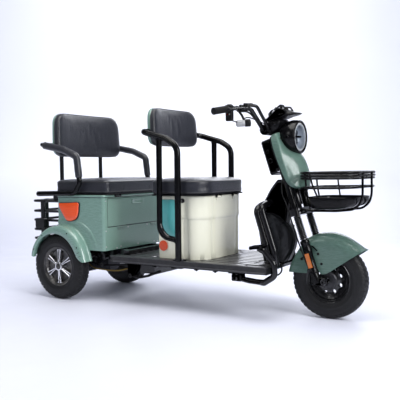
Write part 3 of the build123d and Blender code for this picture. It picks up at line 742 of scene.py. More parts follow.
# ------------------------------------------------------------------ floor, light, camera
def stage_setup():
    sc = bpy.context.scene
    # seamless pale sweep
    m, nt, b = new_mat("studio_floor")
    v = coords(nt)
    sz = nt.nodes.new("ShaderNodeSeparateXYZ")
    lk(nt, v, sz.inputs[0])
    # painted shade: the floor part of the sweep is coloured darker and bluer than the wall, blending up the curve
    low = mixc(nt, noise(nt, v, 1.1, 3), (0.58, 0.595, 0.69), (0.64, 0.655, 0.745))
    high = mixc(nt, noise(nt, v, 0.8, 3), (0.80, 0.82, 0.90), (0.86, 0.88, 0.955))
    c = mixc(nt, fmap(nt, sz.outputs["Z"], 0.02, 0.7, 0.0, 1.0), low, high)
    lk(nt, c, b.inputs["Base Color"])
    lk(nt, fmap(nt, noise(nt, v, 5.0, 4), 0.3, 0.7, 0.42, 0.6), b.inputs["Roughness"])
    b.inputs["Specular IOR Level"].default_value = 0.3
    me = bpy.data.meshes.new("studio_floor")
    prof = [(-16.0, 0.0), (2.4, 0.0)]
    for i in range(1, 13):
        t = math.radians(90 * i / 12)
        prof.append((2.4 + 1.8 * math.sin(t), 1.8 - 1.8 * math.cos(t)))
    prof.append((4.2, 6.5))
    w = 18.0
    # the sweep stands square to the camera's look direction
    A = math.radians(32.78)
    fx, fy = -math.sin(A), math.cos(A)
    rx, ry = math.cos(A), math.sin(A)
    vs, fs = [], []
    for d, z in prof:
        for s in (-w, w):
            vs.append((fx * d + rx * s, fy * d + ry * s, z))
    for i in range(len(prof) - 1):
        a = i * 2
        fs.append((a, a + 1, a + 3, a + 2))
    me.from_pydata(vs, [], fs)
    for p in me.polygons:
        p.use_smooth = True
    me.materials.append(m)
    o = bpy.data.objects.new("studio_floor", me)
    sc.collection.objects.link(o)
    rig.stage(o)

    wd = bpy.data.worlds.new("studio")
    sc.world = wd
    wd.use_nodes = True
    nt = wd.node_tree
    bg = nt.nodes["Background"]
    tc = nt.nodes.new("ShaderNodeTexCoord")
    sp = nt.nodes.new("ShaderNodeSeparateXYZ")
    lk(nt, tc.outputs["Generated"], sp.inputs[0])
    col = ramp(nt, fmap(nt, sp.outputs["Z"], -0.4, 1.0, 0.0, 1.0), [(0.0, (0.62, 0.65, 0.76)), (0.35, (0.86, 0.89, 0.98)), (1.0, (0.95, 0.97, 1.0))])
    lk(nt, col, bg.inputs["Color"])
    # mirror-like paint sees a dim room with the softboxes in it; the eye and the matt surfaces see a bright one
    lp = nt.nodes.new("ShaderNodeLightPath")
    st = mth(nt, "SUBTRACT", 0.56, mth(nt, "MULTIPLY", lp.outputs["Is Glossy Ray"], 0.36))
    lk(nt, st, bg.inputs["Strength"])

    def area(name, loc, look, size, power, col=(1, 1, 1), sy=None):
        L = bpy.data.lights.new(name, "AREA")
        L.shape = "RECTANGLE"
        L.size, L.size_y = size, sy or size
        L.energy = power
        L.color = col
        q = bpy.data.objects.new(name, L)
        sc.collection.objects.link(q)
        q.location = loc
        q.rotation_mode = "QUATERNION"
        q.rotation_quaternion = (Vector(look) - Vector(loc)).to_track_quat("-Z", "Y")
        return q

    area("top_softbox", (0.3, -0.6, 3.6), (0.0, 0.0, 0.4), 2.6, 112, (1, 0.99, 0.97))
    area("front_softbox", (3.4, -1.0, 1.9), (0.4, 0, 0.6), 1.15, 98, (0.98, 0.985, 1), 2.0)
    area("side_softbox", (-1.4, -3.2, 2.5), (-0.3, 0, 0.5), 1.3, 13, (1, 1, 1), 0.9)
    area("back_softbox", (-0.6, 3.0, 2.6), (0, 0, 0.7), 2.6, 60, (0.95, 0.97, 1))
    area("sweep_light", (fx * 1.9, fy * 1.9, 3.6), (fx * 4.2, fy * 4.2, 1.9), 2.4, 58, (0.97, 0.97, 1.0), 0.8)

    cam = bpy.data.cameras.new("camera")
    cam.lens = 57.04
    cam.sensor_width = 36.0
    cam.clip_start, cam.clip_end = 0.05, 60
    co = bpy.data.objects.new("camera", cam)
    sc.collection.objects.link(co)
    th, ro = math.radians(2.83), math.radians(-0.82)
    fwd = Vector((-math.sin(A) * math.cos(th), math.cos(A) * math.cos(th), -math.sin(th)))
    right = Vector((math.cos(A), math.sin(A), 0))
    up = right.cross(fwd)
    r2 = right * math.cos(ro) + up * math.sin(ro)
    u2 = up * math.cos(ro) - right * math.sin(ro)
    mat = Matrix((( r2.x, u2.x, -fwd.x, 1.92697), (r2.y, u2.y, -fwd.y, -2.88796), (r2.z, u2.z, -fwd.z, 0.72644), (0, 0, 0, 1)))
    co.matrix_world = mat
    cam.shift_y = 0.00125
    sc.camera = co
    sc.view_settings.view_transform = "Standard"


stage_setup()

MINT = (0.322, 0.492, 0.412)
M_mint = paint("mint_paint", (0.158, 0.272, 0.226), rough=0.27, coat=0.75, coat_rough=0.11, var=0.025, dust=0.0, edge=0.15, orange=0.015)
M_mint_in = plastic("mint_inside", (0.20, 0.30, 0.26), rough=0.6)
M_cream = plastic("cream_plastic", (0.74, 0.735, 0.60), rough=0.32, var=0.015, grain=0.02, coat=0.2, dust=0.0, edge=0.1)
M_teal = plastic("teal_panel", (0.10, 0.42, 0.42), rough=0.2, coat=0.6, grain=0.03)
M_frame = paint("black_frame", (0.0030, 0.0030, 0.0042), rough=0.24, coat=0.55, coat_rough=0.035, var=0.12, orange=0.03, edge=0.03, dust=0.0, spec=0.2)
M_deck = plastic("deck_black", (0.0075, 0.0075, 0.009), rough=0.34, grain=0.16, gscale=700, dust=0.05, edge=0.12, lite=(0.07, 0.07, 0.075))
M_black = plastic("black_plastic", (0.0060, 0.0060, 0.0075), rough=0.36, grain=0.12, dust=0.015, edge=0.08, lite=(0.05, 0.05, 0.055), spec=0.4)
M_gloss = plastic("black_gloss_plastic", (0.0035, 0.0035, 0.0045), rough=0.2, grain=0.03, coat=0.3, edge=0.03, lite=(0.02, 0.02, 0.024), spec=0.3)
M_leather = leather("seat_leather", (0.0125, 0.0138, 0.0205), rough=0.33)
M_rubber = rubber("rubber", (0.010, 0.010, 0.011), dust=0.03, rough=0.5)
M_tyre = rubber("tyre", (0.0030, 0.0030, 0.0038), rough=0.5, dust=0.02)
M_alloy = metal("alloy_silver", (0.72, 0.72, 0.74), rough=0.22, brush=(60, 60, 60), grime=0.15)
M_wheel = paint("wheel_black", (0.006, 0.006, 0.007), rough=0.26, coat=0.5, dust=0.0, var=0.12, edge=0.1, spec=0.4)
M_steel = metal("steel", (0.50, 0.50, 0.51), rough=0.34, brush=(90, 90, 90), grime=0.35)
M_cast = metal("cast_dark", (0.06, 0.06, 0.065), rough=0.55, brush=(50, 50, 50), grime=0.5)
M_amber = plastic("lens_amber", (0.78, 0.075, 0.006), rough=0.16, coat=0.8, grain=0.02, edge=0.1, lite=(1.0, 0.35, 0.08))
M_red = plastic("lens_red", (0.20, 0.006, 0.006), rough=0.14, coat=0.9, grain=0.02, edge=0.1, lite=(0.5, 0.05, 0.05))
M_sticker = plastic("sticker_orange", (0.62, 0.065, 0.012), rough=0.3, coat=0.3, grain=0.02, edge=0.0, lite=(0.9, 0.3, 0.1))
# a lighter copy of the deck plastic for the ribs and rim bead: its lighter base colour and edges are a painted
# highlight along the rib tops
M_deckrib_painted_highlight = plastic("deck_rib", (0.030, 0.030, 0.034), rough=0.34, grain=0.10, gscale=700, coat=0.35, dust=0.04, edge=0.2, lite=(0.10, 0.10, 0.11))
M_bolt = metal("bolt_dark", (0.16, 0.16, 0.165), rough=0.35, brush=(90, 90, 90), grime=0.3)
M_satin = plastic("leg_shield_satin", (0.0095, 0.0105, 0.0125), rough=0.3, grain=0.15, gscale=900, edge=0.12, coat=0.1, dust=0.02, lite=(0.03, 0.03, 0.034), spec=0.28)
M_wire = paint("wire_black", (0.003, 0.003, 0.004), rough=0.24, coat=0.35, coat_rough=0.12, var=0.1, orange=0.02, edge=0.0, dust=0.0, spec=0.2)
# headlamp ring: white plastic, its near-white base colour partly a painted reflection
M_ring_white_and_reflection = plastic("ring_white_and_reflection", (0.95, 0.96, 0.98), rough=0.2, grain=0.02, coat=0.5, edge=0.0)
# reflector bowl: chrome drawn as a pale bluish-grey plastic colour, a painted reflection
M_reflector_painted_reflection = plastic("reflector_painted_reflection", (0.72, 0.75, 0.80), rough=0.16, grain=0.02, coat=0.8, edge=0.0)
M_lensdark = plastic("lens_dark", (0.10, 0.105, 0.115), rough=0.08, grain=0.01, coat=1.0, edge=0.0)


def glass_mat(name):
    m, nt, b = new_mat(name)
    out = [n for n in nt.nodes if n.type == "OUTPUT_MATERIAL"][0]
    b.inputs["Base Color"].default_value = (0.02, 0.02, 0.02, 1)
    b.inputs["Coat Weight"].default_value = 1.0
    v = coords(nt)
    lk(nt, fmap(nt, noise(nt, v, 40.0, 4), 0.3, 0.7, 0.02, 0.06), b.inputs["Roughness"])
    lk(nt, mixc(nt, noise(nt, v, 12.0, 3), (0.02, 0.02, 0.022), (0.03, 0.03, 0.034)), b.inputs["Base Color"])
    tr = nt.nodes.new("ShaderNodeBsdfTransparent")
    tr.inputs["Color"].default_value = (0.93, 0.95, 0.97, 1)
    lw = nt.nodes.new("ShaderNodeLayerWeight")
    lw.inputs["Blend"].default_value = 0.25
    mx = nt.nodes.new("ShaderNodeMixShader")
    f = fmap(nt, lw.outputs["Fresnel"], 0.0, 1.0, 0.03, 0.4)
    lk(nt, f, mx.inputs[0])
    lk(nt, tr.outputs[0], mx.inputs[1])
    lk(nt, b.outputs[0], mx.inputs[2])
    lk(nt, mx.outputs[0], out.inputs[0])
    bump(nt, b, noise(nt, v, 90.0, 2), 0.02, 0.0003)
    return m


M_glass = glass_mat("lamp_glass")

M = {"mint_paint": M_mint, "cream_plastic": M_cream, "teal_panel": M_teal, "black_frame": M_frame, "deck_black": M_deck, "black_plastic": M_black,
     "seat_leather": M_leather, "rubber": M_rubber, "tyre": M_tyre, "alloy_silver": M_alloy, "wheel_black": M_wheel, "steel": M_steel,
     "lens_clear": M_steel, "lens_amber": M_amber, "lens_red": M_black, "motor_grey": M_cast, "battery_case": M_black}
for sp_ in frame["record"]["subparts"]:
    set_mat(sp_["node"], M[sp_["material_slot"]])

set_mat("brake_pedal", M_frame)
set_mat("controller_box", M_frame)
M_reflect = plastic("reflector_amber", (0.42, 0.11, 0.012), rough=0.2, coat=0.6, grain=0.5, gscale=260.0, edge=0.0)
set_mat("fork_reflectors", M_reflect)
# ------------------------------------------------------------------ padded pieces: remeshed, blown up as cloth, seams laid on after
from mathutils.bvhtree import BVHTree


def outline_pts(hx0, hx1, hy, r0, r1, n=9):
    """closed outline in a, b: a from hx0 to hx1, b from -hy to hy, corner radius r0 at the low a end and r1 at the high end"""
    out = []
    for cx, cy, r, a in ((hx1 - r1, hy - r1, r1, 0), (hx0 + r0, hy - r0, r0, 90), (hx0 + r0, -hy + r0, r0, 180), (hx1 - r1, -hy + r1, r1, 270)):
        for i in range(n + 1):
            t = math.radians(a + 90 * i / n)
            out.append((cx + r * math.cos(t), cy + r * math.sin(t)))
    # split the straight runs
    res = []
    for i in range(len(out)):
        p, q = out[i], out[(i + 1) % len(out)]
        res.append(p)
        d = math.hypot(q[0] - p[0], q[1] - p[1])
        k = int(d / 24)
        for j in range(1, k):
            res.append((p[0] + (q[0] - p[0]) * j / k, p[1] + (q[1] - p[1]) * j / k))
    return res


def inset(pts, d):
    n = len(pts)
    out = []
    for i in range(n):
        a, b, c = pts[i - 1], pts[i], pts[(i + 1) % n]
        tx, ty = c[0] - a[0], c[1] - a[1]
        L = math.hypot(tx, ty) or 1.0
        out.append((b[0] - ty / L * d, b[1] + tx / L * d))
    return out


def soft_slab(outl, H, prof, crown, to3, mat_n=0):
    """closed slab: prof = [(height, inset)] up the side, then a crowned top; to3 maps (a, b, h) to station mm"""
    acc = Acc()
    ca = sum(p[0] for p in outl) / len(outl)
    cb = sum(p[1] for p in outl) / len(outl)
    ha = max(abs(p[0] - ca) for p in outl)
    hb = max(abs(p[1] - cb) for p in outl)
    rings = []
    base = inset(outl, prof[0][1])
    for k in (0.12, 0.4, 0.7, 0.92):
        rings.append([to3(ca + (a - ca) * k, cb + (b - cb) * k, prof[0][0]) for a, b in base])
    for h, d in prof:
        rings.append([to3(a, b, h) for a, b in inset(outl, d)])
    last = inset(outl, prof[-1][1])
    for k in (0.94, 0.85, 0.7, 0.52, 0.34, 0.16):
        ring = []
        for a, b in last:
            p, q = ca + (a - ca) * k, cb + (b - cb) * k
            e = max(0.0, 1 - ((p - ca) / ha) ** 2) * max(0.0, 1 - ((q - cb) / hb) ** 2)
            ring.append(to3(p, q, prof[-1][0] + crown * (1 - (1 - e) ** 1.5)))
        rings.append(ring)
    loft(acc, rings, mat_n)
    return acc


def voxelise(o, size):
    md = o.modifiers.new("vox", "REMESH")
    md.mode = "VOXEL"
    md.voxel_size = size / 1000.0
    md.use_smooth_shade = True
    dg = bpy.context.evaluated_depsgraph_get()
    me = bpy.data.meshes.new_from_object(o.evaluated_get(dg))
    o.modifiers.remove(md)
    mats = [m for m in o.data.materials]
    o.data = me
    me.materials.clear()
    for m in mats:
        me.materials.append(m)
    bm = bmesh.new()
    bm.from_mesh(me)
    for _ in range(3):
        bmesh.ops.smooth_vert(bm, verts=bm.verts, factor=0.5, use_axis_x=True, use_axis_y=True, use_axis_z=True)
    bm.to_mesh(me)
    bm.free()
    for p in me.polygons:
        p.use_smooth = True


def puff(o, pin_fn, pressure=4.0, cap=8.0, frames=20, limit=None):
    me = o.data
    n = len(me.vertices)
    base = np.empty(n * 3)
    me.vertices.foreach_get("co", base)
    base = base.reshape(-1, 3)
    vg = o.vertex_groups.new(name="pin")
    for i in range(n):
        w = pin_fn(base[i][0] * 1000 + SX, base[i][1] * 1000, base[i][2] * 1000)
        if w > 0:
            vg.add([i], w, "REPLACE")
    md = o.modifiers.new("cloth", "CLOTH")
    s = md.settings
    s.quality = 4
    s.mass = 0.3
    s.tension_stiffness = 12
    s.compression_stiffness = 12
    s.shear_stiffness = 6
    s.bending_stiffness = 9.0
    s.use_pressure = True
    s.uniform_pressure_force = pressure
    s.vertex_group_mass = "pin"
    s.effector_weights.gravity = 0.0
    md.collision_settings.use_collision = False
    md.point_cache.frame_start = 1
    md.point_cache.frame_end = frames
    sc = bpy.context.scene
    for f in range(1, frames + 1):
        sc.frame_set(f)
    dg = bpy.context.evaluated_depsgraph_get()
    m2 = bpy.data.meshes.new_from_object(o.evaluated_get(dg))
    co = np.empty(n * 3)
    m2.vertices.foreach_get("co", co)
    co = co.reshape(-1, 3)
    bpy.data.meshes.remove(m2)
    o.modifiers.remove(md)
    sc.frame_set(1)
    d = co - base
    L = np.linalg.norm(d, axis=1)
    L[L < 1e-9] = 1e-9
    c = cap / 1000.0
    d *= (c * (1 - np.exp(-L / c)) / L)[:, None]
    co = base + d
    if limit is not None:
        co = limit(co)
    me.vertices.foreach_set("co", co.reshape(-1))
    me.update()


def bvh_of(o):
    bm = bmesh.new()
    bm.from_mesh(o.data)
    b = BVHTree.FromBMesh(bm)
    bm.free()
    return b


def on_surface(bvh, path, lift=0.6):
    """path (station mm) laid on the mesh, lifted along its normal"""
    out = []
    for p in path:
        q = R(*p)
        hit = bvh.find_nearest(q)
        if hit[0] is None:
            out.append(p)
            continue
        r = hit[0] + hit[1] * (lift / 1000.0)
        out.append((r.x * 1000 + SX, r.y * 1000, r.z * 1000))
    return out


def smooth_loop(path, k=3):
    P = [np.array(p) for p in path]
    n = len(P)
    for _ in range(k):
        P = [P[i] * 0.5 + (P[i - 1] + P[(i + 1) % n]) * 0.25 for i in range(n)]
    return [tuple(p) for p in P]


M_piping = leather("seat_piping", (0.016, 0.017, 0.020), rough=0.36, scale=900.0, strength=0.2, wrinkle=0.1)
M_thread = leather("seat_thread", (0.035, 0.036, 0.040), rough=0.6, scale=2400.0, strength=0.6, wrinkle=0.0)


def soft_piece(name, node, body, acc, mats, seams, pin_fn, cap=8.0, pressure=4.0, vox=6.0, fill=0.75, limit=None, pipe_r=2.6):
    """seams: list of closed loops (station mm) that get piping"""
    o = piece(name, acc, mats[:1], body=body, replaces=(node,), slot="seat_leather", angle=None)
    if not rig.quick():
        voxelise(o, vox)
        puff(o, pin_fn, pressure, cap, 20, limit)
        md = o.modifiers.new("sub", "SUBSURF")
        md.levels = md.render_levels = 1
    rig.padded(o, fill=fill)
    bvh = bvh_of(o)
    pip = Acc()
    for loop in seams:
        path = smooth_loop(on_surface(bvh, loop, 0.4), 2)
        sweep(pip, path, pipe_r, seg=8, closed=True)
    if seams:
        q = piece(name + "_piping", pip, [M_piping], body=body, slot="seat_leather", angle=None)
    return o


def zmap(a, b, h):
    return (a, b, h)


def side_prof(H, r, z0, foot=5.0, waist=2.0):
    """side of a cushion from the pan up: foot tucked in, slight waist, rounded shoulder"""
    p = [(z0, foot + 3), (z0 + 5, 3.0), (z0 + 16, 2.2), (z0 + (H - r) * 0.55, waist + 2.5), (z0 + H - r, 2.0)]
    for i in range(1, 6):
        t = math.radians(90 * i / 6)
        p.append((z0 + H - r + r * math.sin(t), 2.0 + r * (1 - math.cos(t))))
    p.append((z0 + H, 2.0 + r))
    return p


def seat_cushion(name, node, body, x0, x1, half, r0, r1, z0, z1, cap):
    H = z1 - z0 - 7
    r = 19.0
    outl = outline_pts(x0 + 3, x1 - 3, half - 3, r0, r1)
    acc = soft_slab(outl, H, side_prof(H, r, z0), 5.0, zmap)
    top = [(a, b, z0 + H - r + 8) for a, b in inset(outl, 3.0)]
    low = [(a, b, z0 + 9) for a, b in inset(outl, 2.0)]

    def pin(x, y, z):
        if z < z0 + 7:
            return 1.0
        if abs(z - (z0 + 10)) < 5:
            return 0.6
        if abs(z - (z0 + H - r + 8)) < 5.5:
            return 0.55
        return 0.0

    def lim(co):
        co[:, 2] = np.maximum(co[:, 2], (z0 + 0.2) / 1000.0)
        lo = (z0 + 9) / 1000.0
        m = co[:, 2] < lo
        return co
    return soft_piece(name, node, body, acc, [M_leather], [top, low], pin, cap=cap, limit=lim)


rear_cush = seat_cushion("rear_cushion", "rear_seat_cushion", "rear_seat_lid", -50, 350, 286, 34, 34, 600, 682, 8.0)
front_cush = seat_cushion("front_cushion", "front_seat_cushion", "front_seat_lid", 604, 938, 245, 34, 105, 598, 682, 8.0)


def back_pad(name, node, x0, x1, half, z0, z1, r, lean_top, crown, cap, pinch=6.0):
    """backrest: outline in y, z; face looks forward"""
    H = x1 - x0 - crown * 0.6
    zc = (z0 + z1) / 2

    def to3(a, b, h):
        # a is height, b is y: a little narrower toward the head, leaning back, ends wrapping forward
        f = (a - z0) / (z1 - z0)
        k = 1.0 - 0.045 * f * f
        wrap = 25.0 * (abs(b) / half) ** 2.2
        return (h + wrap - 9.0 * (f - 0.45), b * k, a)
    outl = outline_pts(z0 + 3, z1 - 3, half - 3, r * 0.85, r * 1.08)
    prof = [(x0, 8), (x0 + 4, 3), (x0 + 10, 2)]
    rr = min(20.0, H * 0.5)
    prof.append((x0 + H - rr, 2.0))
    for i in range(1, 6):
        t = math.radians(90 * i / 6)
        prof.append((x0 + H - rr + rr * math.sin(t), 2.0 + rr * (1 - math.cos(t))))
    prof.append((x0 + H, 2.0 + rr))
    acc = soft_slab(outl, H, prof, crown * 0.7, to3)
    # b runs the other way round in this frame: turn the faces later by recalculating the normals
    edge = [to3(a, b, x0 + H - rr + 9) for a, b in inset(outl, 3.0)]
    back = [to3(a, b, x0 + 6) for a, b in inset(outl, 2.5)]
    inner = [to3(a, b, x0 + H + 1) for a, b in inset(outl, 40.0)]

    def pin(x, y, z):
        f = (z - z0) / (z1 - z0)
        xx = x - 25.0 * (abs(y) / half) ** 2.2 + 9.0 * (f - 0.45)
        if xx < x0 + 5:
            return 1.0
        if abs(xx - (x0 + H - rr + 9)) < 4.5:
            return 0.5
        return 0.0
    lim = None
    return soft_piece(name, node, "root", acc, [M_leather], [edge, back], pin, cap=cap, limit=lim, vox=6.0 if half > 240 else 5.5)


rear_back = back_pad("rear_backrest", "rear_backrest_pad", -77.7, -30, 280, 806, 1066, 62, 14, 9, 5.5)
front_back = back_pad("front_backrest", "front_backrest_pad", 564.3, 603, 216, 850, 1062, 60, 4, 8, 5.0)


def arm_sleeve(s):
    y = s * 310.0
    P = round_path([(-86, y, 882 - 42 * 36 / 188), (60, y, 846), (158, y, 806), (172.3, y, 690)], [60, 30], 1.2)
    acc = Acc()
    rnd = random.Random(3 + s)
    ph = [rnd.uniform(0, 6.28) for _ in range(3)]

    def rf(t):
        e = min(t, 1 - t)
        k = 1.0 - 0.16 * math.exp(-(e / 0.02) ** 2)
        return k * (1.0 + 0.012 * math.sin(23 * t + ph[0]) + 0.008 * math.sin(51 * t + ph[1]))
    sweep(acc, P, 20.0, seg=28, rad_fn=rf, caps=True, cap_round=3.0)
    o = piece("armrest_sleeve_" + ("left" if s > 0 else "right"), acc, [M_leather], slot="seat_leather", angle=None, clean=True)
    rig.padded(o, fill=0.9)
    # sewn seam under the sleeve and end bands
    st = Acc()
    n = len(P)
    for i in range(2, n - 2, 1):
        a, b = Vector(P[i]), Vector(P[i].lerp(P[i + 1], 0.55) if i + 1 < n else P[i])
        d = (b - a)
        if d.length < 0.5:
            continue
        side = Vector((0, -1 if s < 0 else 1, 0))
        up = side.cross(d.normalized())
        off = (side * 0.25 - up * (1 if up.z > 0 else -1) * 0.97).normalized() * 20.1
        sweep(st, [a + off, b + off], 0.6, seg=5)
    for k in (0.018, 0.982):
        i = int(k * (n - 1))
        sweep(st, [P[i], P[i] + (P[min(i + 1, n - 1)] - P[i]).normalized() * 2.2], 20.5, seg=28)
    piece("armrest_sleeve_seam_" + ("left" if s > 0 else "right"), st, [M_thread], slot="seat_leather", angle=40)
    return o


sl_l, sl_r = arm_sleeve(1), arm_sleeve(-1)
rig.replaces(sl_r, "armrest_pads")


# ---- painted shells behind the backrests, bent to the same curve
def backrest_shell_mesh(acc, x0, x1, half, z0, z1, r, ph):
    zc = (z0 + z1) / 2
    lo, hi = z0 - 12, z1 + 8

    def to3(a, b, h):
        f = (a - lo) / (hi - lo)
        k = 1.0 - 0.045 * f * f
        return (h + 25.0 * (abs(b) / ph) ** 2.2 - 9.0 * (f - 0.45), b * k, a)
    base = outline_pts(z0, z1, half, r * 0.85, r * 1.08)
    rings = []
    for x, d in ((x1, 0.0), (x1 - 1, 1.0), (x1 - 6, 1.6), (x0 + 9, 0.4), (x0 + 4, -2.2), (x0 + 1.2, -6.0), (x0, -12.0), (x0 - 0.4, -26.0)):
        rings.append([to3(a, b, x) for a, b in offset_ring(base, d)])
    for k in (0.6, 0.3, 0.02):
        rings.append([to3(zc + (a - zc) * k, b * k, x0 - 0.6) for a, b in offset_ring(base, -26.0)])
    rings.insert(0, [to3(zc + (a - zc) * 0.9, b * 0.9, x1 - 3.0) for a, b in offset_ring(base, -14.0)])
    loft(acc, rings, closed=True, cap=False)


def offset_ring(pts, d):
    """outline moved out by d along its own normal"""
    n = len(pts)
    area = sum(pts[i][0] * pts[(i + 1) % n][1] - pts[(i + 1) % n][0] * pts[i][1] for i in range(n))
    sg = 1.0 if area > 0 else -1.0
    out = []
    for i in range(n):
        ax, ay = pts[i - 1]
        bx_, by_ = pts[(i + 1) % n]
        tx, ty = bx_ - ax, by_ - ay
        L = math.hypot(tx, ty) or 1.0
        out.append((pts[i][0] + sg * ty / L * d, pts[i][1] - sg * tx / L * d))
    return out


bs_ = Acc()
backrest_shell_mesh(bs_, -98, -74.5, 268, 818, 1058, 54, 280)
backrest_shell_mesh(bs_, 544, 567.5, 206, 862, 1056, 52, 216)
piece("backrest_shell_panels", bs_, [M_mint], replaces=("backrest_shells",), slot="mint_paint", angle=50)
# ------------------------------------------------------------------ wheels
M_spoke = metal("spoke_polished", (0.80, 0.80, 0.82), rough=0.2, brush=(40, 90, 40), grime=0.12, bstr=0.06)
M_well = paint("rim_black", (0.010, 0.010, 0.012), rough=0.32, coat=0.35, coat_rough=0.12, dust=0.08, var=0.12)
M_drumdk = metal("drum_dark", (0.075, 0.075, 0.08), rough=0.45, brush=(70, 70, 70), grime=0.4)
M_drum = metal("drum_cast", (0.34, 0.34, 0.345), rough=0.5, brush=(70, 70, 70), grime=0.4)


def tyre_mesh(acc, cx, cy, cz, sg):
    half = [(101.2, 24), (103.5, 28.8), (109.5, 32.2), (111.5, 34.6), (114, 35.8), (116.5, 35.2), (119, 36.6), (124, 38.6), (131, 40.2), (133, 40.9), (135, 40.4),
            (142, 41.0), (150, 40.6), (158, 39.4), (165, 37.4), (171, 34.8), (176, 31.0), (180.6, 25.0), (182.6, 16.0), (183.4, 6.0)]
    prof = [(r, -h) for r, h in half] + [(r, h) for r, h in reversed(half)]
    lathe(acc, prof, (cx, cy, cz), "y", seg=120, mat=0, close=True)
    # tread blocks: two centre rows and two shoulder rows, joined at the foot
    N = 46

    def top_r(h):
        return 186.0 - 6.6 * (abs(h) / 33.0) ** 2.2

    def blk(h0, h1, a0, a1, slope, depth=5.2):
        # a0..a1 in pitch units, slope shifts with h
        g = []
        hs = [h0, (h0 + h1) / 2, h1]
        as_ = [a0, (a0 + a1) / 2, a1]
        verts = []
        for lev in (0, 1, 2):
            for i, h in enumerate(hs):
                for j, a in enumerate(as_):
                    ins = 0.0 if lev < 2 else 0.9
                    hh = h + (ins if i == 0 else -ins if i == 2 else 0) * (1 if h1 > h0 else -1)
                    da = (ins if j == 0 else -ins if j == 2 else 0) / 186.0
                    base = top_r(hh)
                    r = base - depth if lev == 0 else (base - 0.9 if lev == 1 else base)
                    an = 2 * math.pi / N * (a + slope * (h - h0)) + da
                    verts.append((cx + r * math.cos(an), cy + hh, cz + r * math.sin(an)))
        f = []
        for i in (0, 1):
            for j in (0, 1):
                p = 18 + i * 3 + j
                f.append((p, p + 1, p + 4, p + 3))
        rim = [0, 1, 2, 5, 8, 7, 6, 3]
        for lev in (0, 9):
            for a, b in zip(rim, rim[1:] + rim[:1]):
                f.append((lev + a, lev + b, lev + b + 9, lev + a + 9))
        acc.add(verts, f, 0)
    for k in range(N):
        blk(1.2, 12.6, k + 0.04, k + 0.80, 0.020)
        blk(-1.2, -12.6, k + 0.54, k + 1.30, 0.020)
        blk(15.4, 31.0, k + 0.30, k + 1.02, 0.006)
        blk(-15.4, -31.0, k + 0.80, k + 1.52, 0.006)
    # shoulder lugs running down the wall
    for k in range(N):
        for s_, off in ((1, 0.40), (-1, 0.90)):
            vs = []
            for (r, h) in ((180.0, 30.2), (175.4, 33.9), (168.0, 37.6)):
                for lift in (0.0, 1.7):
                    for a in (k + off, k + off + 0.52):
                        an = 2 * math.pi / N * a
                        hh = (h - 2.2 + lift * 1.5) * s_
                        rr = r + lift * 0.6
                        vs.append((cx + rr * math.cos(an), cy + hh, cz + rr * math.sin(an)))
            acc.add(vs, [(2, 3, 7, 6), (6, 7, 11, 10), (0, 2, 6, 4), (4, 6, 10, 8), (1, 5, 7, 3), (5, 9, 11, 7), (8, 10, 11, 9), (0, 1, 3, 2)], 0)
    # mould rings and two plain wear bars, no lettering
    for s_ in (1, -1):
        for r, h in ((146.0, 41.2), (154.5, 40.3)):
            lathe(acc, [(r - 0.9, s_ * (h - 0.6)), (r - 0.5, s_ * (h + 0.35)), (r + 0.5, s_ * (h + 0.35)), (r + 0.9, s_ * (h - 0.6))], (cx, cy, cz), "y", seg=96, close=True)


def rim_prof():
    h = [(110.6, 31.4), (111.3, 33.6), (109.6, 35.2), (106.5, 34.6), (103.5, 31.5), (100.5, 28.2), (97.0, 26.4), (93.0, 18.0), (90.0, 13.5)]
    inn = [(92.6, 12.0), (95.2, 17.0), (99.5, 24.0), (101.6, 28.6), (106.0, 31.6)]
    outer = [(r, -a) for r, a in h]
    back = [(r, a) for r, a in reversed(h)]
    # outer face side first, then the tyre side of the band
    return outer + back + [(r, a) for r, a in reversed(inn)] + [(r, -a) for r, a in inn]


def wheel_pt(c, r, an, h):
    return (c[0] + r * math.cos(an), c[1] + h, c[2] + r * math.sin(an))


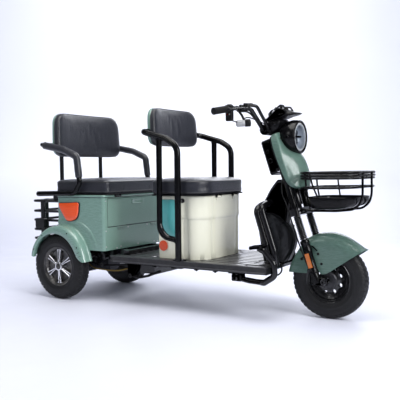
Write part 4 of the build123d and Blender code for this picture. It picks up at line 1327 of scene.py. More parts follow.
def rear_wheel(side, sg):
    c = (0.0, sg * 284.0, 186.0)
    t = Acc()
    tyre_mesh(t, *c, sg)
    piece("rear_%s_tyre_tread" % side, t, [M_tyre], body="rear_%s_wheel_set" % side, replaces=("rear_%s_tyre" % side,), slot="tyre", angle=42)
    w = Acc()
    lathe(w, rim_prof(), c, "y", seg=96, mat=0)
    # dished backing web, behind the spokes
    lathe(w, [(24, sg * 6), (60, sg * 2), (90.5, sg * 8), (93, sg * 13), (92, sg * -2), (60, sg * -5), (24, sg * -4)], c, "y", seg=72, mat=0)
    # brake drum and inner hub
    lathe(w, [(20, sg * -8), (66, sg * -8), (69, sg * -11), (69, sg * -34), (66, sg * -37), (44, sg * -38), (40, sg * -41), (20, sg * -41)], c, "y", seg=56, mat=2)
    for k in range(30):
        an = 2 * math.pi * k / 30
        p = [wheel_pt(c, r, an, sg * h) for r, h in ((68.5, -12), (72.5, -13), (72.5, -33), (68.5, -34))]
        q = [wheel_pt(c, r, an + 0.03, sg * h) for r, h in ((68.5, -12), (72.5, -13), (72.5, -33), (68.5, -34))]
        w.add(p + q, [(0, 1, 2, 3), (7, 6, 5, 4), (0, 4, 5, 1), (1, 5, 6, 2), (2, 6, 7, 3), (3, 7, 4, 0)], 2)
    # shaft into the axle tube
    lathe(w, [(0.01, sg * -118), (12.2, sg * -118), (12.5, sg * -116), (12.5, sg * -38), (0.01, sg * -38)], c, "y", seg=24, mat=2, close=False)
    # hub: silver ring, dark cap
    lathe(w, [(16.5, sg * 4), (30, sg * 4), (30, sg * 14), (27.5, sg * 24), (25.5, sg * 29.5), (23.0, sg * 31), (17.5, sg * 31), (16.5, sg * 29)], c, "y", seg=48, mat=1)
    lathe(w, [(0.01, sg * 6), (16.4, sg * 6), (16.4, sg * 29.5), (15.0, sg * 33.5), (10.5, sg * 36.2), (5, sg * 37.4), (0.01, sg * 37.6)], c, "y", seg=40, mat=0, close=False)
    # six split spokes: each a pair of blades that start together and part toward the rim, with a dark bar between
    for k in range(6):
        a0 = 2 * math.pi * k / 6 + math.radians(30)
        for q in (-1, 1):
            rings = []
            for i in range(9):
                f = i / 8.0
                r = 26.0 + (97.0 - 26.0) * f
                off = q * (3.2 + 6.6 * f ** 1.5)              # sideways position of the blade's middle
                wd = 2.7 + 1.0 * f                             # half width
                if f > 0.85:
                    wd += 2.6 * ((f - 0.85) / 0.15) ** 2
                hf = 27.5 - 5.5 * f + (1.5 * (f - 0.8) / 0.2 if f > 0.8 else 0)
                hb = 9.0 + 7.0 * f
                ring = []
                for (da, hh) in ((-wd, hb), (-wd, hf - 1.6), (-wd + 1.2, hf), (wd - 1.2, hf), (wd, hf - 1.6), (wd, hb)):
                    s_ = off + da
                    rr = math.hypot(r, s_)
                    ring.append(wheel_pt(c, rr, a0 + math.atan2(s_, r), sg * hh))
                rings.append(ring)
            loft(w, rings, mat=1)
        # dark bar between the blades
        rings = []
        for i in range(7):
            f = i / 6.0
            r = 30.0 + 64.0 * f
            wd = 2.2 + 5.2 * f ** 1.3
            hf = 22.0 - 6.0 * f
            ring = []
            for (da, hh) in ((-wd, 4 + 6 * f), (-wd, hf), (wd, hf), (wd, 4 + 6 * f)):
                ring.append(wheel_pt(c, math.hypot(r, da), a0 + math.atan2(da, r), sg * hh))
            rings.append(ring)
        loft(w, rings, mat=0)
        # wheel bolt between spokes, near the hub
        a1 = a0 + math.pi / 6
        hexbolt(w, wheel_pt(c, 37, a1, sg * 5.0), (0, sg, 0), r=4.6, h=6, mat=2)
    # valve
    av = math.radians(-96)
    sweep(w, [wheel_pt(c, 93, av, sg * 17), wheel_pt(c, 84, av, sg * 27), wheel_pt(c, 78, av, sg * 32)], 3.0, seg=10, mat=3)
    sweep(w, [wheel_pt(c, 78, av, sg * 32), wheel_pt(c, 74, av, sg * 35)], 3.9, seg=10, mat=3, cap_round=1.0)
    piece("rear_%s_alloy_wheel" % side, w, [M_well, M_spoke, M_drum, M_rubber], body="rear_%s_wheel_set" % side, replaces=("rear_%s_wheel" % side,), slot="alloy_silver", angle=34, bev=(0.6, 2, 40))


rear_wheel("right", -1)
rear_wheel("left", 1)


def front_wheel():
    c = (1505.0, 0.0, 186.0)
    t = Acc()
    tyre_mesh(t, *c, 1)
    piece("front_tyre_tread", t, [M_tyre], body="front_wheel_set", replaces=("front_tyre",), slot="tyre", angle=42)
    w = Acc()
    lathe(w, rim_prof(), c, "y", seg=96, mat=0)
    # pressed disc with eight round holes on each side of the hub
    NH, RH_, rc = 8, 10.0, 58.0
    for sd in (-1, 1):
        def hz(r):
            # dish: out at the rim, in at the holes, out at the hub
            t_ = (r - 30.0) / 60.0
            return sd * (17.0 + 7.0 * math.cos(math.pi * 2 * min(1.0, max(0.0, t_))))
        o = len(w.v)
        S_ = 16           # points round a hole
        for k in range(NH):
            am = 2 * math.pi * (k + 0.5) / NH
            ring_out, ring_in, ring_deep = [], [], []
            for j in range(S_):
                th = 2 * math.pi * j / S_
                # outer boundary of the sector cell, walked at the same parameter
                cx_, cy_ = math.cos(th), math.sin(th)
                m_ = max(abs(cx_), abs(cy_))
                u_, v_ = cx_ / m_, cy_ / m_          # square
                r_ = 60.0 + 29.5 * u_
                an_ = am + (math.pi / NH) * v_
                ring_out.append(wheel_pt(c, r_, an_, hz(r_)))
                x_, y_ = rc + RH_ * cx_, RH_ * cy_
                r2, a2 = math.hypot(x_, y_), am + math.atan2(y_, x_)
                ring_in.append(wheel_pt(c, r2, a2, hz(r2)))
                x3, y3 = rc + (RH_ - 1.0) * cx_, (RH_ - 1.0) * cy_
                r3, a3 = math.hypot(x3, y3), am + math.atan2(y3, x3)
                ring_deep.append(wheel_pt(c, r3, a3, hz(r3) - sd * 5.0))
            mid = [tuple((a + b) / 2 for a, b in zip(p, q)) for p, q in zip(ring_out, ring_in)]
            loft(w, [ring_out, mid, ring_in, ring_deep], mat=0, cap=False)
        lathe(w, [(30.6, hz(30.6)), (27, sd * 26), (26, sd * 30), (20, sd * 31), (13, sd * 31)], c, "y", seg=64, mat=0, close=False)
        lathe(w, [(89.4, hz(89.4)), (92.0, sd * 22), (94, sd * 20)], c, "y", seg=64, mat=0, close=False)
        for k in range(6):
            a1 = 2 * math.pi * k / 6
            hexbolt(w, wheel_pt(c, 39, a1, hz(39)), (0, sd, 0), r=4.4, h=5.5, mat=1)
    # hub barrel and brake drum, right side toward the viewer
    lathe(w, [(14, -31), (24, -31), (24, 31), (14, 31)], c, "y", seg=40, mat=0)
    lathe(w, [(14.5, -30), (45, -30), (47.5, -32.5), (47.5, -41), (45.5, -43.5), (41, -43.5), (39, -41.5), (14.5, -41.5)], c, "y", seg=64, mat=2)
    for k in range(12):
        a1 = 2 * math.pi * k / 12
        obox(w, wheel_pt(c, 32, a1, -42.2), ((math.cos(a1), 0, math.sin(a1)), (-math.sin(a1), 0, math.cos(a1)), (0, 1, 0)), (15, 2.4, 2.6), 2)
    lathe(w, [(14.5, 30), (34, 30), (36, 32), (36, 37), (34, 39), (14.5, 39)], c, "y", seg=48, mat=2)
    av = math.radians(200)
    sweep(w, [wheel_pt(c, 94, av, -14), wheel_pt(c, 86, av, -26), wheel_pt(c, 79, av, -32)], 3.0, seg=10, mat=3)
    piece("front_disc_wheel", w, [M_wheel, M_bolt, M_drumdk, M_rubber], body="front_wheel_set", replaces=("front_wheel",), slot="wheel_black", angle=36)


front_wheel()
# ------------------------------------------------------------------ body: rear box, fenders, seat box, deck
def soft_edges(node, w=1.2, seg=2, deg=35):
    o = NODES[node]
    md = o.modifiers.new("edges", "BEVEL")
    md.width = w / 1000.0
    md.segments = seg
    md.limit_method = "ANGLE"
    md.angle_limit = math.radians(deg)
    for p in o.data.polygons:
        p.use_smooth = True
    return o


def offset_outline(pts, d):
    return inset(pts, -d)


def fender_skin(s):
    tab = [(164, 199, 174), (158, 202, 175), (150, 205, 178), (141, 208, 181), (131, 211, 184), (121, 215, 186.5), (111, 220, 187.5), (102, 225, 188), (92, 229, 188),
           (84, 234, 187.5), (77, 238, 187), (69, 240, 186), (60, 240, 184), (52, 238.5, 182), (44, 236, 180), (36, 233, 178), (28, 230, 177.5), (21, 228, 180), (15.5, 227.5, 190), (12.5, 228, 200), (10.2, 229, 212)]
    rings_o = []
    P = [np.array(t, float) for t in tab]
    fine = spl([tuple(p) for p in P], 3)
    outer, inner = [], []
    for a, rc, ro in fine:
        t = math.radians(a)
        back = min(1.0, max(0.0, (a - 93.0) / 5.0))
        yr1 = 290.0 * (1 - back) + 262.0 * back
        yr2 = 288.5 * (1 - back) + 243.0 * back
        # swell of the crown, soft shoulder, flat lip
        prof = [(ro + 2.4, 322), (ro + 0.2, 331), (ro, 338), (ro + 1.6, 343), (ro + 5.0, 345.4), (ro + (rc - ro) * 0.45, 346.2), (rc - 12, 345.0), (rc - 5.5, 341.6), (rc - 1.0, 335.5), (rc + 2.2, 327.0), (rc + 4.2, 316.0),
                (rc + 5.2, 304.0), (rc + 6.4, 297.0), (rc + 9.5 - 3 * back, 293.2 - 8 * back), (rc + 13.5 - 7 * back, 291.2 - 14 * back), (rc + 13.5 - 7 * back, yr1), (rc + 13.0 - 7.5 * back, yr2)]
        outer.append([(r * math.cos(t), s * y, 186 + r * math.sin(t)) for r, y in prof])
        ip = [(ro + 5.0, 324), (ro + 3.2, 331), (ro + 3.2, 337), (ro + 5.0, 340.4), (ro + 8, 342.2), (ro + (rc - ro) * 0.45, 342.8), (rc - 13, 341.6), (rc - 8.0, 338.6), (rc - 4.2, 333.5), (rc - 1.2, 325.5), (rc + 0.6, 315.0),
              (rc + 1.6, 303.5), (rc + 2.6, 296.5), (rc + 4.0 - 1.5 * back, 290.0 - 6 * back), (rc + 5.5 - 3 * back, 287.6 - 12 * back), (rc + 5.5 - 3 * back, yr1 - 0.5), (rc + 5.0 - 3 * back, yr2 - 0.2)]
        inner.append([(r * math.cos(t), s * y, 186 + r * math.sin(t)) for r, y in ip])
    acc = Acc()
    closed = [o + list(reversed(i)) for o, i in zip(outer, inner)]
    loft(acc, closed)
    return acc


for s_, nm in ((-1, "right"), (1, "left")):
    fa = fender_skin(s_)
    o_ = piece("rear_fender_" + nm, fa, [M_mint], slot="mint_paint", replaces=("rear_fenders",) if s_ < 0 else (), angle=44)
    # two slits near the front lip as thin black slivers, painted shade in the slits, and the fixing screws
    sa = Acc()
    for a, r in ((26, 205), (20, 206)):
        t = math.radians(a)
        obox(sa, (r * math.cos(t), s_ * 345.6, 186 + r * math.sin(t)), ((math.cos(t), 0, math.sin(t)), (-math.sin(t), 0, math.cos(t)), (0, 1, 0)), (20, 2.0, 1.6), 0)
    for a in (150, 118, 62, 34):
        t = math.radians(a)
        rc = {150: 199, 118: 209, 62: 232, 34: 224}[a]
        hexbolt(sa, ((rc - 12) * math.cos(t), s_ * 345.0, 186 + (rc - 12) * math.sin(t)), (0, s_, 0), r=3.2, h=2.2, mat=1, dome=True)
    piece("rear_fender_slits_" + nm, sa, [M_black, M_frame], slot="black_plastic", angle=40)

# ---- rear box: the pressed box stays, with rounded edges; lip, gap lines, door pull, screws added
soft_edges("rear_box", 1.6, 2)
soft_edges("rear_box_door", 1.4, 2)
RBO = outline_pts(-20, 331, 292, 18, 18, n=6)
lip = Acc()
lev = [(580.5, 0.2), (581.2, 2.4), (582.4, 3.2), (588.5, 3.2), (590.6, 2.4), (592.3, 0.2)]
loft(lip, [[(a, b, z) for a, b in offset_outline(RBO, d)] for z, d in lev] + [[(a, b, 592.3) for a, b in offset_outline(RBO, -3.6)], [(a, b, 580.5) for a, b in offset_outline(RBO, -3.0)], [(a, b, 580.5) for a, b in offset_outline(RBO, 0.2)]], cap=False)
piece("rear_box_lip", lip, [M_mint], slot="mint_paint", angle=40)
# black band in the joint under the lip: painted shade of the groove
gap = Acc()
loft(gap, [[(a, b, z) for a, b in offset_outline(RBO, d)] for z, d in ((577.6, -0.4), (577.6, 0.5), (580.6, 0.5), (580.6, -0.4), (577.6, -0.4))], cap=False)
# black strips sitting in the joint round the door: painted shade of the gap
for s_ in (1, -1):
    block(gap, 330.2, 331.3, s_ * 260.2, s_ * 262.2, 414.2, 573.4)
block(gap, 330.2, 331.3, -261, 261, 415.2, 418.4)
piece("rear_box_gaps", gap, [M_black], slot="black_plastic", angle=40)
# soft swage along each side, over the arch, and lower skirt return
for s_, nm in ((-1, "right"), (1, "left")):
    sw = Acc()
    path = spl([(-14, s_ * 292, 436), (60, s_ * 292, 446), (150, s_ * 292, 436), (222, s_ * 292, 396), (262, s_ * 292, 340), (276, s_ * 292, 296)], 8)
    rings = []
    for i, p in enumerate(path):
        q, r_ = path[max(i - 1, 0)], path[min(i + 1, len(path) - 1)]
        dx, dz = r_[0] - q[0], r_[2] - q[2]
        L = math.hypot(dx, dz)
        nx, nz = -dz / L, dx / L
        f = i / (len(path) - 1)
        k = math.sin(math.pi * min(1, max(0, f))) ** 0.5
        rings.append([(p[0] + nx * w, s_ * (291.6 + h * k), p[2] + nz * w) for w, h in ((-26, 0), (-14, 1.6), (-5, 3.4), (0, 3.8), (4, 3.0), (9, 0))])
    loft(sw, rings, closed=False, cap=False)
    piece("rear_box_swage_" + nm, sw, [M_mint], slot="mint_paint", angle=60)
# side lights: lens with a raised rim and inner ribs
def shield(acc, s, y0, y1, scale, mat):
    out = spl([(4, 546), (78, 548), (149, 549), (152, 520), (150, 498), (140, 470), (118, 453), (86, 446), (60, 450), (36, 478), (12, 513), (2, 533), (4, 546)], 5)[:-1]
    cx, cz = 80, 506
    o1 = [(cx + (x - cx) * scale, cz + (z - cz) * scale) for x, z in out]
    return o1


for s_, nm in ((-1, "right"), (1, "left")):
    la = Acc()
    o1 = shield(la, s_, 0, 0, 1.0, 0)
    rings = []
    for k, y in ((1.05, 291.8), (1.05, 296.5), (1.035, 298.6), (1.0, 299.2)):
        rings.append([(80 + (x - 80) * k, s_ * y, 506 + (z - 506) * k) for x, z in o1])
    loft(la, rings, mat=1)
    rings = []
    for k, y in ((1.0, 296.0), (0.99, 300.4), (0.965, 302.2), (0.9, 303.2), (0.7, 304.0), (0.45, 304.4), (0.2, 304.6), (0.02, 304.6)):
        rings.append([(80 + (x - 80) * k, s_ * y, 506 + (z - 506) * k) for x, z in o1])
    loft(la, rings, mat=0)
    for zz in (530, 516, 502, 488, 474):
        hw = 62 if zz > 500 else 62 - (500 - zz) * 0.7
        sweep(la, [(84 - hw * 0.8, s_ * 303.2, zz), (84, s_ * 304.6, zz), (84 + hw * 0.8, s_ * 303.2, zz)], 1.3, seg=6, mat=0)
    piece("side_light_" + nm, la, [M_amber, M_black], replaces=("side_marker_lights",) if s_ < 0 else (), slot="lens_amber", angle=50)
# small screws on the front face and door hinge barrels in body colour
sc_ = Acc()
for y, z in ((-189, 281 + 14), (-154, 300), (-88, 406), (88, 406), (154, 300), (189, 295), (0, 300)):
    hexbolt(sc_, (331.0, y, z), (1, 0, 0), r=3.6, h=2.6, mat=0, dome=True)
for y in (-276, 276):
    for z in (310, 396, 560):
        hexbolt(sc_, (331.0, y, z), (1, 0, 0), r=2.8, h=2.0, mat=0, dome=True)
piece("rear_box_screws", sc_, [M_steel], slot="steel", angle=35)
hb = Acc()
for s_ in (1, -1):
    sweep(hb, [(334.5, s_ * 120, 411.5), (334.5, s_ * 180, 411.5)], 3.0, seg=14, mat=0)
    sweep(hb, [(334.5, s_ * 118.4, 411.5), (334.5, s_ * 181.6, 411.5)], 1.6, seg=10, mat=1)
    block(hb, 331, 332.6, s_ * 121, s_ * 179, 398, 411, 0)
    for y in (130, 150, 170):
        hexbolt(hb, (332.5, s_ * y, 403), (1, 0, 0), r=2.2, h=1.6, mat=1, washer=False, dome=True)
    sweep(hb, [(339, s_ * 164, 586), (339, s_ * 196, 586)], 4.4, seg=14, mat=2)
    block(hb, 331, 334.6, s_ * 165, s_ * 195, 578, 590, 2)
    sweep(hb, [(933.5, s_ * 68, 584), (933.5, s_ * 100, 584)], 4.4, seg=14, mat=3)
    block(hb, 926, 929.4, s_ * 69, s_ * 99, 566, 586, 3)
piece("hinge_barrels", hb, [M_mint, M_steel, M_black, M_cream], replaces=("lid_and_door_hinges",), slot="steel", angle=35, bev=(0.5, 1, 40))
# door pull: a shallow moulded grip
dp_ = Acc()
loft(dp_, [[(331.2 + h, y * k, 548 + z * k) for y, z in rrect(56, 13, 10, 5)] for h, k in ((0, 1.0), (2.6, 0.97), (3.2, 0.9), (2.8, 0.78), (0.6, 0.7), (0.2, 0.3), (0.2, 0.02))])
piece("door_pull", dp_, [M_mint], body="rear_door", slot="mint_paint", angle=60)

# ---- front seat box
def seatbox_outline(off, amp):
    R_ = 95.0 - 0.0
    x0, x1, h = 618.0, 926.0, 213.0
    pts = []
    n = 26

    def corner(s):
        res = []
        for i in range(n + 1):
            res.append((s, i / n))
        return res
    # walk: from rear right corner round the front to the rear left corner
    seq = []
    for i in range(7):
        t = math.radians(180 + 90 * i / 6)
        seq.append((x0 + 34 + 34 * math.cos(t), -h + 34 + 34 * math.sin(t), math.cos(t), math.sin(t), 0.0))
    for x in (680, 720, 750, 762):
        seq.append((x, -h, 0, -1, 0.0))
    for i in range(19):
        x = 769 + i * (x1 - R_ - 769) / 18
        seq.append((x, -h, 0, -1, 1.45 * math.exp(-((x - 803) / 16.0) ** 2)))
    for i in range(1, 31):
        t = math.radians(-90 + 90 * i / 30)
        arc_ = R_ * math.radians(90 * i / 30)
        g = math.exp(-((arc_ - R_ * math.pi / 2 + 6) / 8.0) ** 2) * 0.9 + 0.18 * math.exp(-((arc_ - 70) / 26.0) ** 2)
        seq.append((x1 - R_ + R_ * math.cos(t), -h + R_ + R_ * math.sin(t), math.cos(t), math.sin(t), g))
    for y in (-104, -90, -60, -30, 0):
        seq.append((x1, y, 1, 0, 0.0))
    full = list(seq)
    for (x, y, nx, ny, g) in reversed(seq[:-1]):
        full.append((x, -y, nx, -ny, g))
    return [(x + nx * (off - amp * g), y + ny * (off - amp * g)) for x, y, nx, ny, g in full]


sb_ = Acc()
levels = [(262.4, -7.5, 6.5), (263.5, -6.0, 7.5), (300, -5.4, 9.0), (380, -4.6, 9.5), (440, -4.0, 9.5), (466, -3.8, 8.5), (470, -3.0, 8.0), (474, -1.0, 7.4), (480, 0.4, 6.6), (494, 0.5, 5.0), (500, 0.2, 4.6), (505, 0.0, 4.6), (540, 0.0, 5.4), (570, 0.2, 5.6), (580, 0.6, 4.6), (584, 1.0, 3.4), (588.5, 0.8, 2.6), (590, -0.6, 2.0)]
rings = [[(x, y, z) for x, y in seatbox_outline(off, amp)] for z, off, amp in levels]
rings += [[(x, y, 590) for x, y in seatbox_outline(-10.5, 0.0)], [(x, y, 588) for x, y in seatbox_outline(-11.5, 0)], [(x, y, 300) for x, y in seatbox_outline(-11.0, 0)], [(x, y, 267) for x, y in seatbox_outline(-13.0, 0)]]
loft(sb_, rings)
piece("front_seat_box_shell", sb_, [M_cream], replaces=("front_seat_box",), slot="cream_plastic", angle=50)
# glossy side panels with a curved foot, following the guard tube
for s_, nm in ((-1, "right"), (1, "left")):
    tp = Acc()
    out = [(652, 568), (652, 430)] + [(652 + 62 * (1 - math.cos(math.radians(t))), 430 - 56 * math.sin(math.radians(t))) for t in range(10, 91, 10)] + [(740, 370), (760, 368), (766, 374), (766, 568), (762, 572), (656, 572)]
    cx, cz = 706, 476
    rg = []
    for k, y in ((1.0, 206.0), (1.0, 214.6), (0.985, 216.6), (0.93, 218.2), (0.75, 220.2), (0.5, 221.6), (0.25, 222.4), (0.03, 222.6)):
        rg.append([(cx + (x - cx) * k, s_ * y, cz + (z - cz) * k) for x, z in out])
    loft(tp, rg)
    piece("seat_side_panel_" + nm, tp, [M_teal], replaces=("seat_box_side_panels",) if s_ < 0 else (), slot="teal_panel", angle=50)
    # plain round sticker, no lettering
    st = Acc()
    lathe(st, [(0.01, 0.2), (0.01, 1.1), (26.5, 1.1), (27.4, 0.9), (27.6, 0.2)], (669, s_ * 213.2, 329), frame3=((1, 0, 0), (0, 0, 1), (0, s_, 0)), seg=48, mat=0, close=False)
    piece("seat_sticker_" + nm, st, [M_sticker], slot="lens_amber", angle=40)
    lo = Acc()
    fr3 = ((1, 0, 0), (0, 0, 1), (0, s_, 0))
    lathe(lo, [(0.01, 9.5), (5.0, 9.5), (5.6, 8.6), (5.6, 6.0), (11.0, 5.4), (12.2, 4.2), (12.2, -8.0)], (790, s_ * 206.6, 566), frame3=fr3, seg=36, mat=0, close=False)
    obox(lo, (790, s_ * 216.3, 566), ((1, 0, 0), (0, 0, 1), (0, 1, 0)), (1.6, 7.0, 0.8), 1)
    piece("seat_lock_" + nm, lo, [M_black, M_steel], slot="black_plastic", angle=40)

# ---- deck: the plate keeps its place; rim bead and lengthwise ribs are added
soft_edges("floor_deck", 3.0, 3, 50)
rb_ = Acc()


def rib(acc, y, x0, x1, w=33.0, h=5.4):
    # bar with a rounded crown and tapered ends
    xs = [x0, x0 + 3.5, x0 + 8, x1 - 8, x1 - 3.5, x1]
    hs = [0.0, 0.65, 1.0, 1.0, 0.65, 0.0]
    n = max(1, int((x1 - x0 - 16) / 90))
    X, Hh = [x0, x0 + 3.5, x0 + 8], [0.0, 0.65, 1.0]
    for i in range(1, n):
        X.append(x0 + 8 + (x1 - x0 - 16) * i / n)
        Hh.append(1.0)
    X += [x1 - 8, x1 - 3.5, x1]
    Hh += [1.0, 0.65, 0.0]
    rg = []
    for x, k in zip(X, Hh):
        ww = w * (0.75 + 0.25 * k)
        rg.append([(x, y - ww / 2, 261.6), (x, y - ww / 2 + 0.4, 262 + h * k * 0.62), (x, y - ww / 4, 262 + h * k * 0.97), (x, y + ww / 4, 262 + h * k * 0.97), (x, y + ww / 2 - 0.4, 262 + h * k * 0.62), (x, y + ww / 2, 261.6)])
    loft(acc, rg)


yy = -246.0
while yy <= 246.1:
    a = abs(yy)
    if a < 221:
        # behind the seat box
        rib(rb_, yy, 434 if a < 205 else 372, 604)
    else:
        rib(rb_, yy, 372, 766 if a > 240 else 1180)
        if a > 240:
            rib(rb_, yy, 842, 1180)
    if a < 221:
        x0 = 942
        if a > 118:
            x0 = 926 - 95 + math.sqrt(max(0.0, 95 ** 2 - (a - 118) ** 2)) + 16
        xe = 1180
        if a < 112:
            xe = 1176
        if a > 150:
            rib(rb_, yy, x0, 1262 - (20 if a > 200 else 0))
        else:
            rib(rb_, yy, x0, xe)
    yy += 49.2
rim_ = Acc()
for s_ in (1, -1):
    rg = []
    for x, k in ((352, 0.2), (372, 1), (500, 1), (640, 1), (780, 1), (920, 1), (1060, 1), (1180, 1), (1290, 1), (1299, 0.3)):
        rg.append([(x, s_ * 274.6, 261.0), (x, s_ * 275.4, 262.5 + 1.2 * k), (x, s_ * 272.6, 264.0 + 1.6 * k), (x, s_ * 266.5, 263.8 + 1.6 * k), (x, s_ * 263.0, 261.4)])
    loft(rim_, rg)
    # stiffening bead low on the skirt of the plate
    rg = []
    for x in (374, 500, 640, 780, 920, 1060, 1180, 1290):
        rg.append([(x, s_ * 274.2, 233), (x, s_ * 277.4, 235), (x, s_ * 277.4, 239), (x, s_ * 274.2, 241)])
    loft(rim_, rg)
# ribs and rim bead in the lighter deck plastic: painted highlight
piece("deck_ribs", rb_, [M_deckrib_painted_highlight], slot="deck_black", angle=50)
piece("deck_rim_bead", rim_, [M_deckrib_painted_highlight], slot="deck_black", angle=50)
db = Acc()
for x in (700, 803, 1100):
    for s_ in (1, -1):
        hexbolt(db, (x, s_ * 256, 264.2 if x != 803 else 270.2), (0, 0, 1), r=4.6, h=3.2, mat=0, dome=True)
for s_ in (1, -1):
    for dx in (-24, 24):
        hexbolt(db, (803 + dx, s_ * 270, 270), (0, 0, 1), r=4.0, h=4.5, mat=0)
piece("deck_bolts", db, [M_bolt], slot="steel", angle=35)
# ------------------------------------------------------------------ front: fender, nose, headlamp, leg shield, basket, controls
def shell_rings(cols, half_fn, drop, thick=3.0, nsh=9, nside=7):
    """cols: [(C, E)] crest and edge points in x, z. Returns closed rings (outer skin, then inner skin) across the middle plane."""
    rings = []
    for i, (C, E) in enumerate(cols):
        u = i / (len(cols) - 1)
        C, E = np.array(C, float), np.array(E, float)
        L = max(1e-3, float(np.linalg.norm(E - C)))
        d = (E - C) / L
        h = half_fn(u)

        def half_prof(t_in):
            D = min(drop, L * 0.72)
            hh = h - t_in
            pts = []
            for k in range(nsh + 1):
                th = math.radians(90.0 * k / nsh)
                y = hh * math.sin(th) ** 0.80
                s_ = t_in * 1.0 + (D - t_in * 0.0) * (1 - math.cos(th) ** 0.95)
                pts.append((y, min(s_, L)))
            for k in range(1, nside + 1):
                f = k / nside
                s_ = D + t_in + (L - D - t_in) * f
                pts.append((hh + 1.2 * f, max(pts[-1][1], s_)))
            return pts
        o, n = half_prof(0.0), half_prof(thick)
        n[-1] = (n[-1][0], L)
        ring = []
        for sgn, seq in ((-1, list(reversed(o))), (1, o[1:])):
            for y, s_ in seq:
                p = C + d * s_
                ring.append((p[0], sgn * y, p[1]))
        for sgn, seq in ((1, list(reversed(n))), (-1, n[1:])):
            for y, s_ in seq:
                p = C + d * s_
                ring.append((p[0], sgn * y, p[1]))
        rings.append(ring)
    return rings


def resample(pts, n):
    P = [np.array(p, float) for p in spl(pts, 12)]
    L = [0.0]
    for a, b in zip(P, P[1:]):
        L.append(L[-1] + float(np.linalg.norm(b - a)))
    out = []
    for i in range(n):
        t = L[-1] * i / (n - 1)
        j = max(k for k in range(len(L)) if L[k] <= t + 1e-9)
        j = min(j, len(P) - 2)
        f = (t - L[j]) / max(1e-9, L[j + 1] - L[j])
        out.append(tuple(P[j] * (1 - f) + P[j + 1] * f))
    return out


NC = 34
Cc = resample([(1674, 338), (1652, 358), (1627, 376), (1579, 402), (1545, 412), (1514, 416), (1480, 414.5), (1460, 411), (1440, 405), (1418, 397), (1399, 387)], NC)
Ee = resample([(1676, 334), (1640, 310), (1600, 283), (1560, 256), (1526, 233), (1508, 223), (1492, 218.5), (1478, 221), (1466, 242), (1448, 280), (1431, 328), (1406, 372)], NC)
ff_ = Acc()
loft(ff_, shell_rings(list(zip(Cc, Ee)), lambda u: 50.0 + 9.0 * min(1.0, u / 0.14) ** 0.6, 60.0))
piece("front_fender_shell", ff_, [M_mint], body="steering", replaces=("front_fender",), slot="mint_paint", angle=48)
C2 = resample([(1372, 353), (1356, 335), (1336, 304), (1318, 272), (1306, 246), (1298, 217)], 18)
E2 = resample([(1388, 344), (1398, 318), (1406, 290), (1410, 262), (1411, 238), (1408, 218)], 18)
fr_ = Acc()
loft(fr_, shell_rings(list(zip(C2, E2)), lambda u: 56.0 + 1.5 * u, 30.0))
piece("front_fender_tail", fr_, [M_mint], body="steering", slot="mint_paint", angle=48)
fb = Acc()
for s_ in (1, -1):
    # stays from the fork legs to both fender parts, with grommets and screws
    sweep(fb, [(1424, s_ * 61.5, 352), (1440, s_ * 62, 350), (1464, s_ * 62.6, 330)], 2.6, seg=8, rx=6.0, mat=0, caps=True)
    sweep(fb, [(1421, s_ * 61.5, 300), (1402, s_ * 61.2, 298), (1386, s_ * 60.6, 292)], 2.6, seg=8, rx=6.0, mat=0, caps=True)
    for x, z in ((1467, 315), (1484, 268), (1382, 285)):
        lathe(fb, [(0.01, 3.0), (3.0, 3.0), (5.4, 2.4), (6.6, 0.8), (6.6, -1.5)], (x, s_ * 59.6, z), frame3=((1, 0, 0), (0, 0, 1), (0, s_, 0)), seg=20, mat=1, close=False)
piece("front_fender_stays", fb, [M_frame, M_black], body="steering", slot="black_frame", angle=40)

# ---- nose panel
NT = [(397, 16, 46, 80), (395, 12, 50, 87), (390, 8, 52, 93), (380, 6, 52, 98), (350, 4.5, 55, 102), (320, 4, 62, 104.5), (290, 5, 78, 106), (262, 6.5, 92, 106), (235, 8.5, 99, 105.5), (200, 11.5, 101.5, 104), (170, 14.5, 101, 101.5), (150, 17.5, 98, 98.5), (135, 22, 93, 94), (122, 30, 86, 87), (112, 40, 77, 75), (106, 50, 68, 56), (104.5, 55, 62, 40)]
NTf = spl([tuple(t) for t in NT], 3)


def nose_ring(w, us, uf, h, g):
    """open U in the steering frame: side facet, crease, front face bowed like a shallow arch"""
    uc = us + min(0.62 * (uf - us), 17 + 20 * max(0.0, min(1.0, (w - 150) / 220.0)))
    uf_, h_ = uf - g, h - g
    pts = [(us + (uc - 7 - us) * k / 3, -h_) for k in range(4)]
    # crease rounded over about 9 mm
    pts += [(uc - 4.0, -h_ + 0.3), (uc - 1.0, -h_ + 1.2), (uc + 1.6, -h_ + 2.9), (uc + 3.8, -h_ + 5.2)]
    u0, y0 = uc + 3.8, h_ - 5.2
    for k in range(1, 12):
        f = k / 11.0
        y = y0 * (1 - f)
        pts.append((uf_ - (uf_ - u0) * (1 - f) ** 1.85, -y))
    full = pts + [(u, -y) for u, y in reversed(pts[:-1])]
    return [S(u, y, w) for u, y in full]


na = Acc()
rg = []
for w, us, uf, h in NTf:
    o = nose_ring(w, us, uf, h, 0.0)
    i_ = nose_ring(w, us + 0.2, uf, h, 3.2)
    rg.append(o + list(reversed(i_)))
loft(na, rg)
piece("nose_panel_shell", na, [M_mint], body="steering", replaces=("nose_panel",), slot="mint_paint", angle=52)
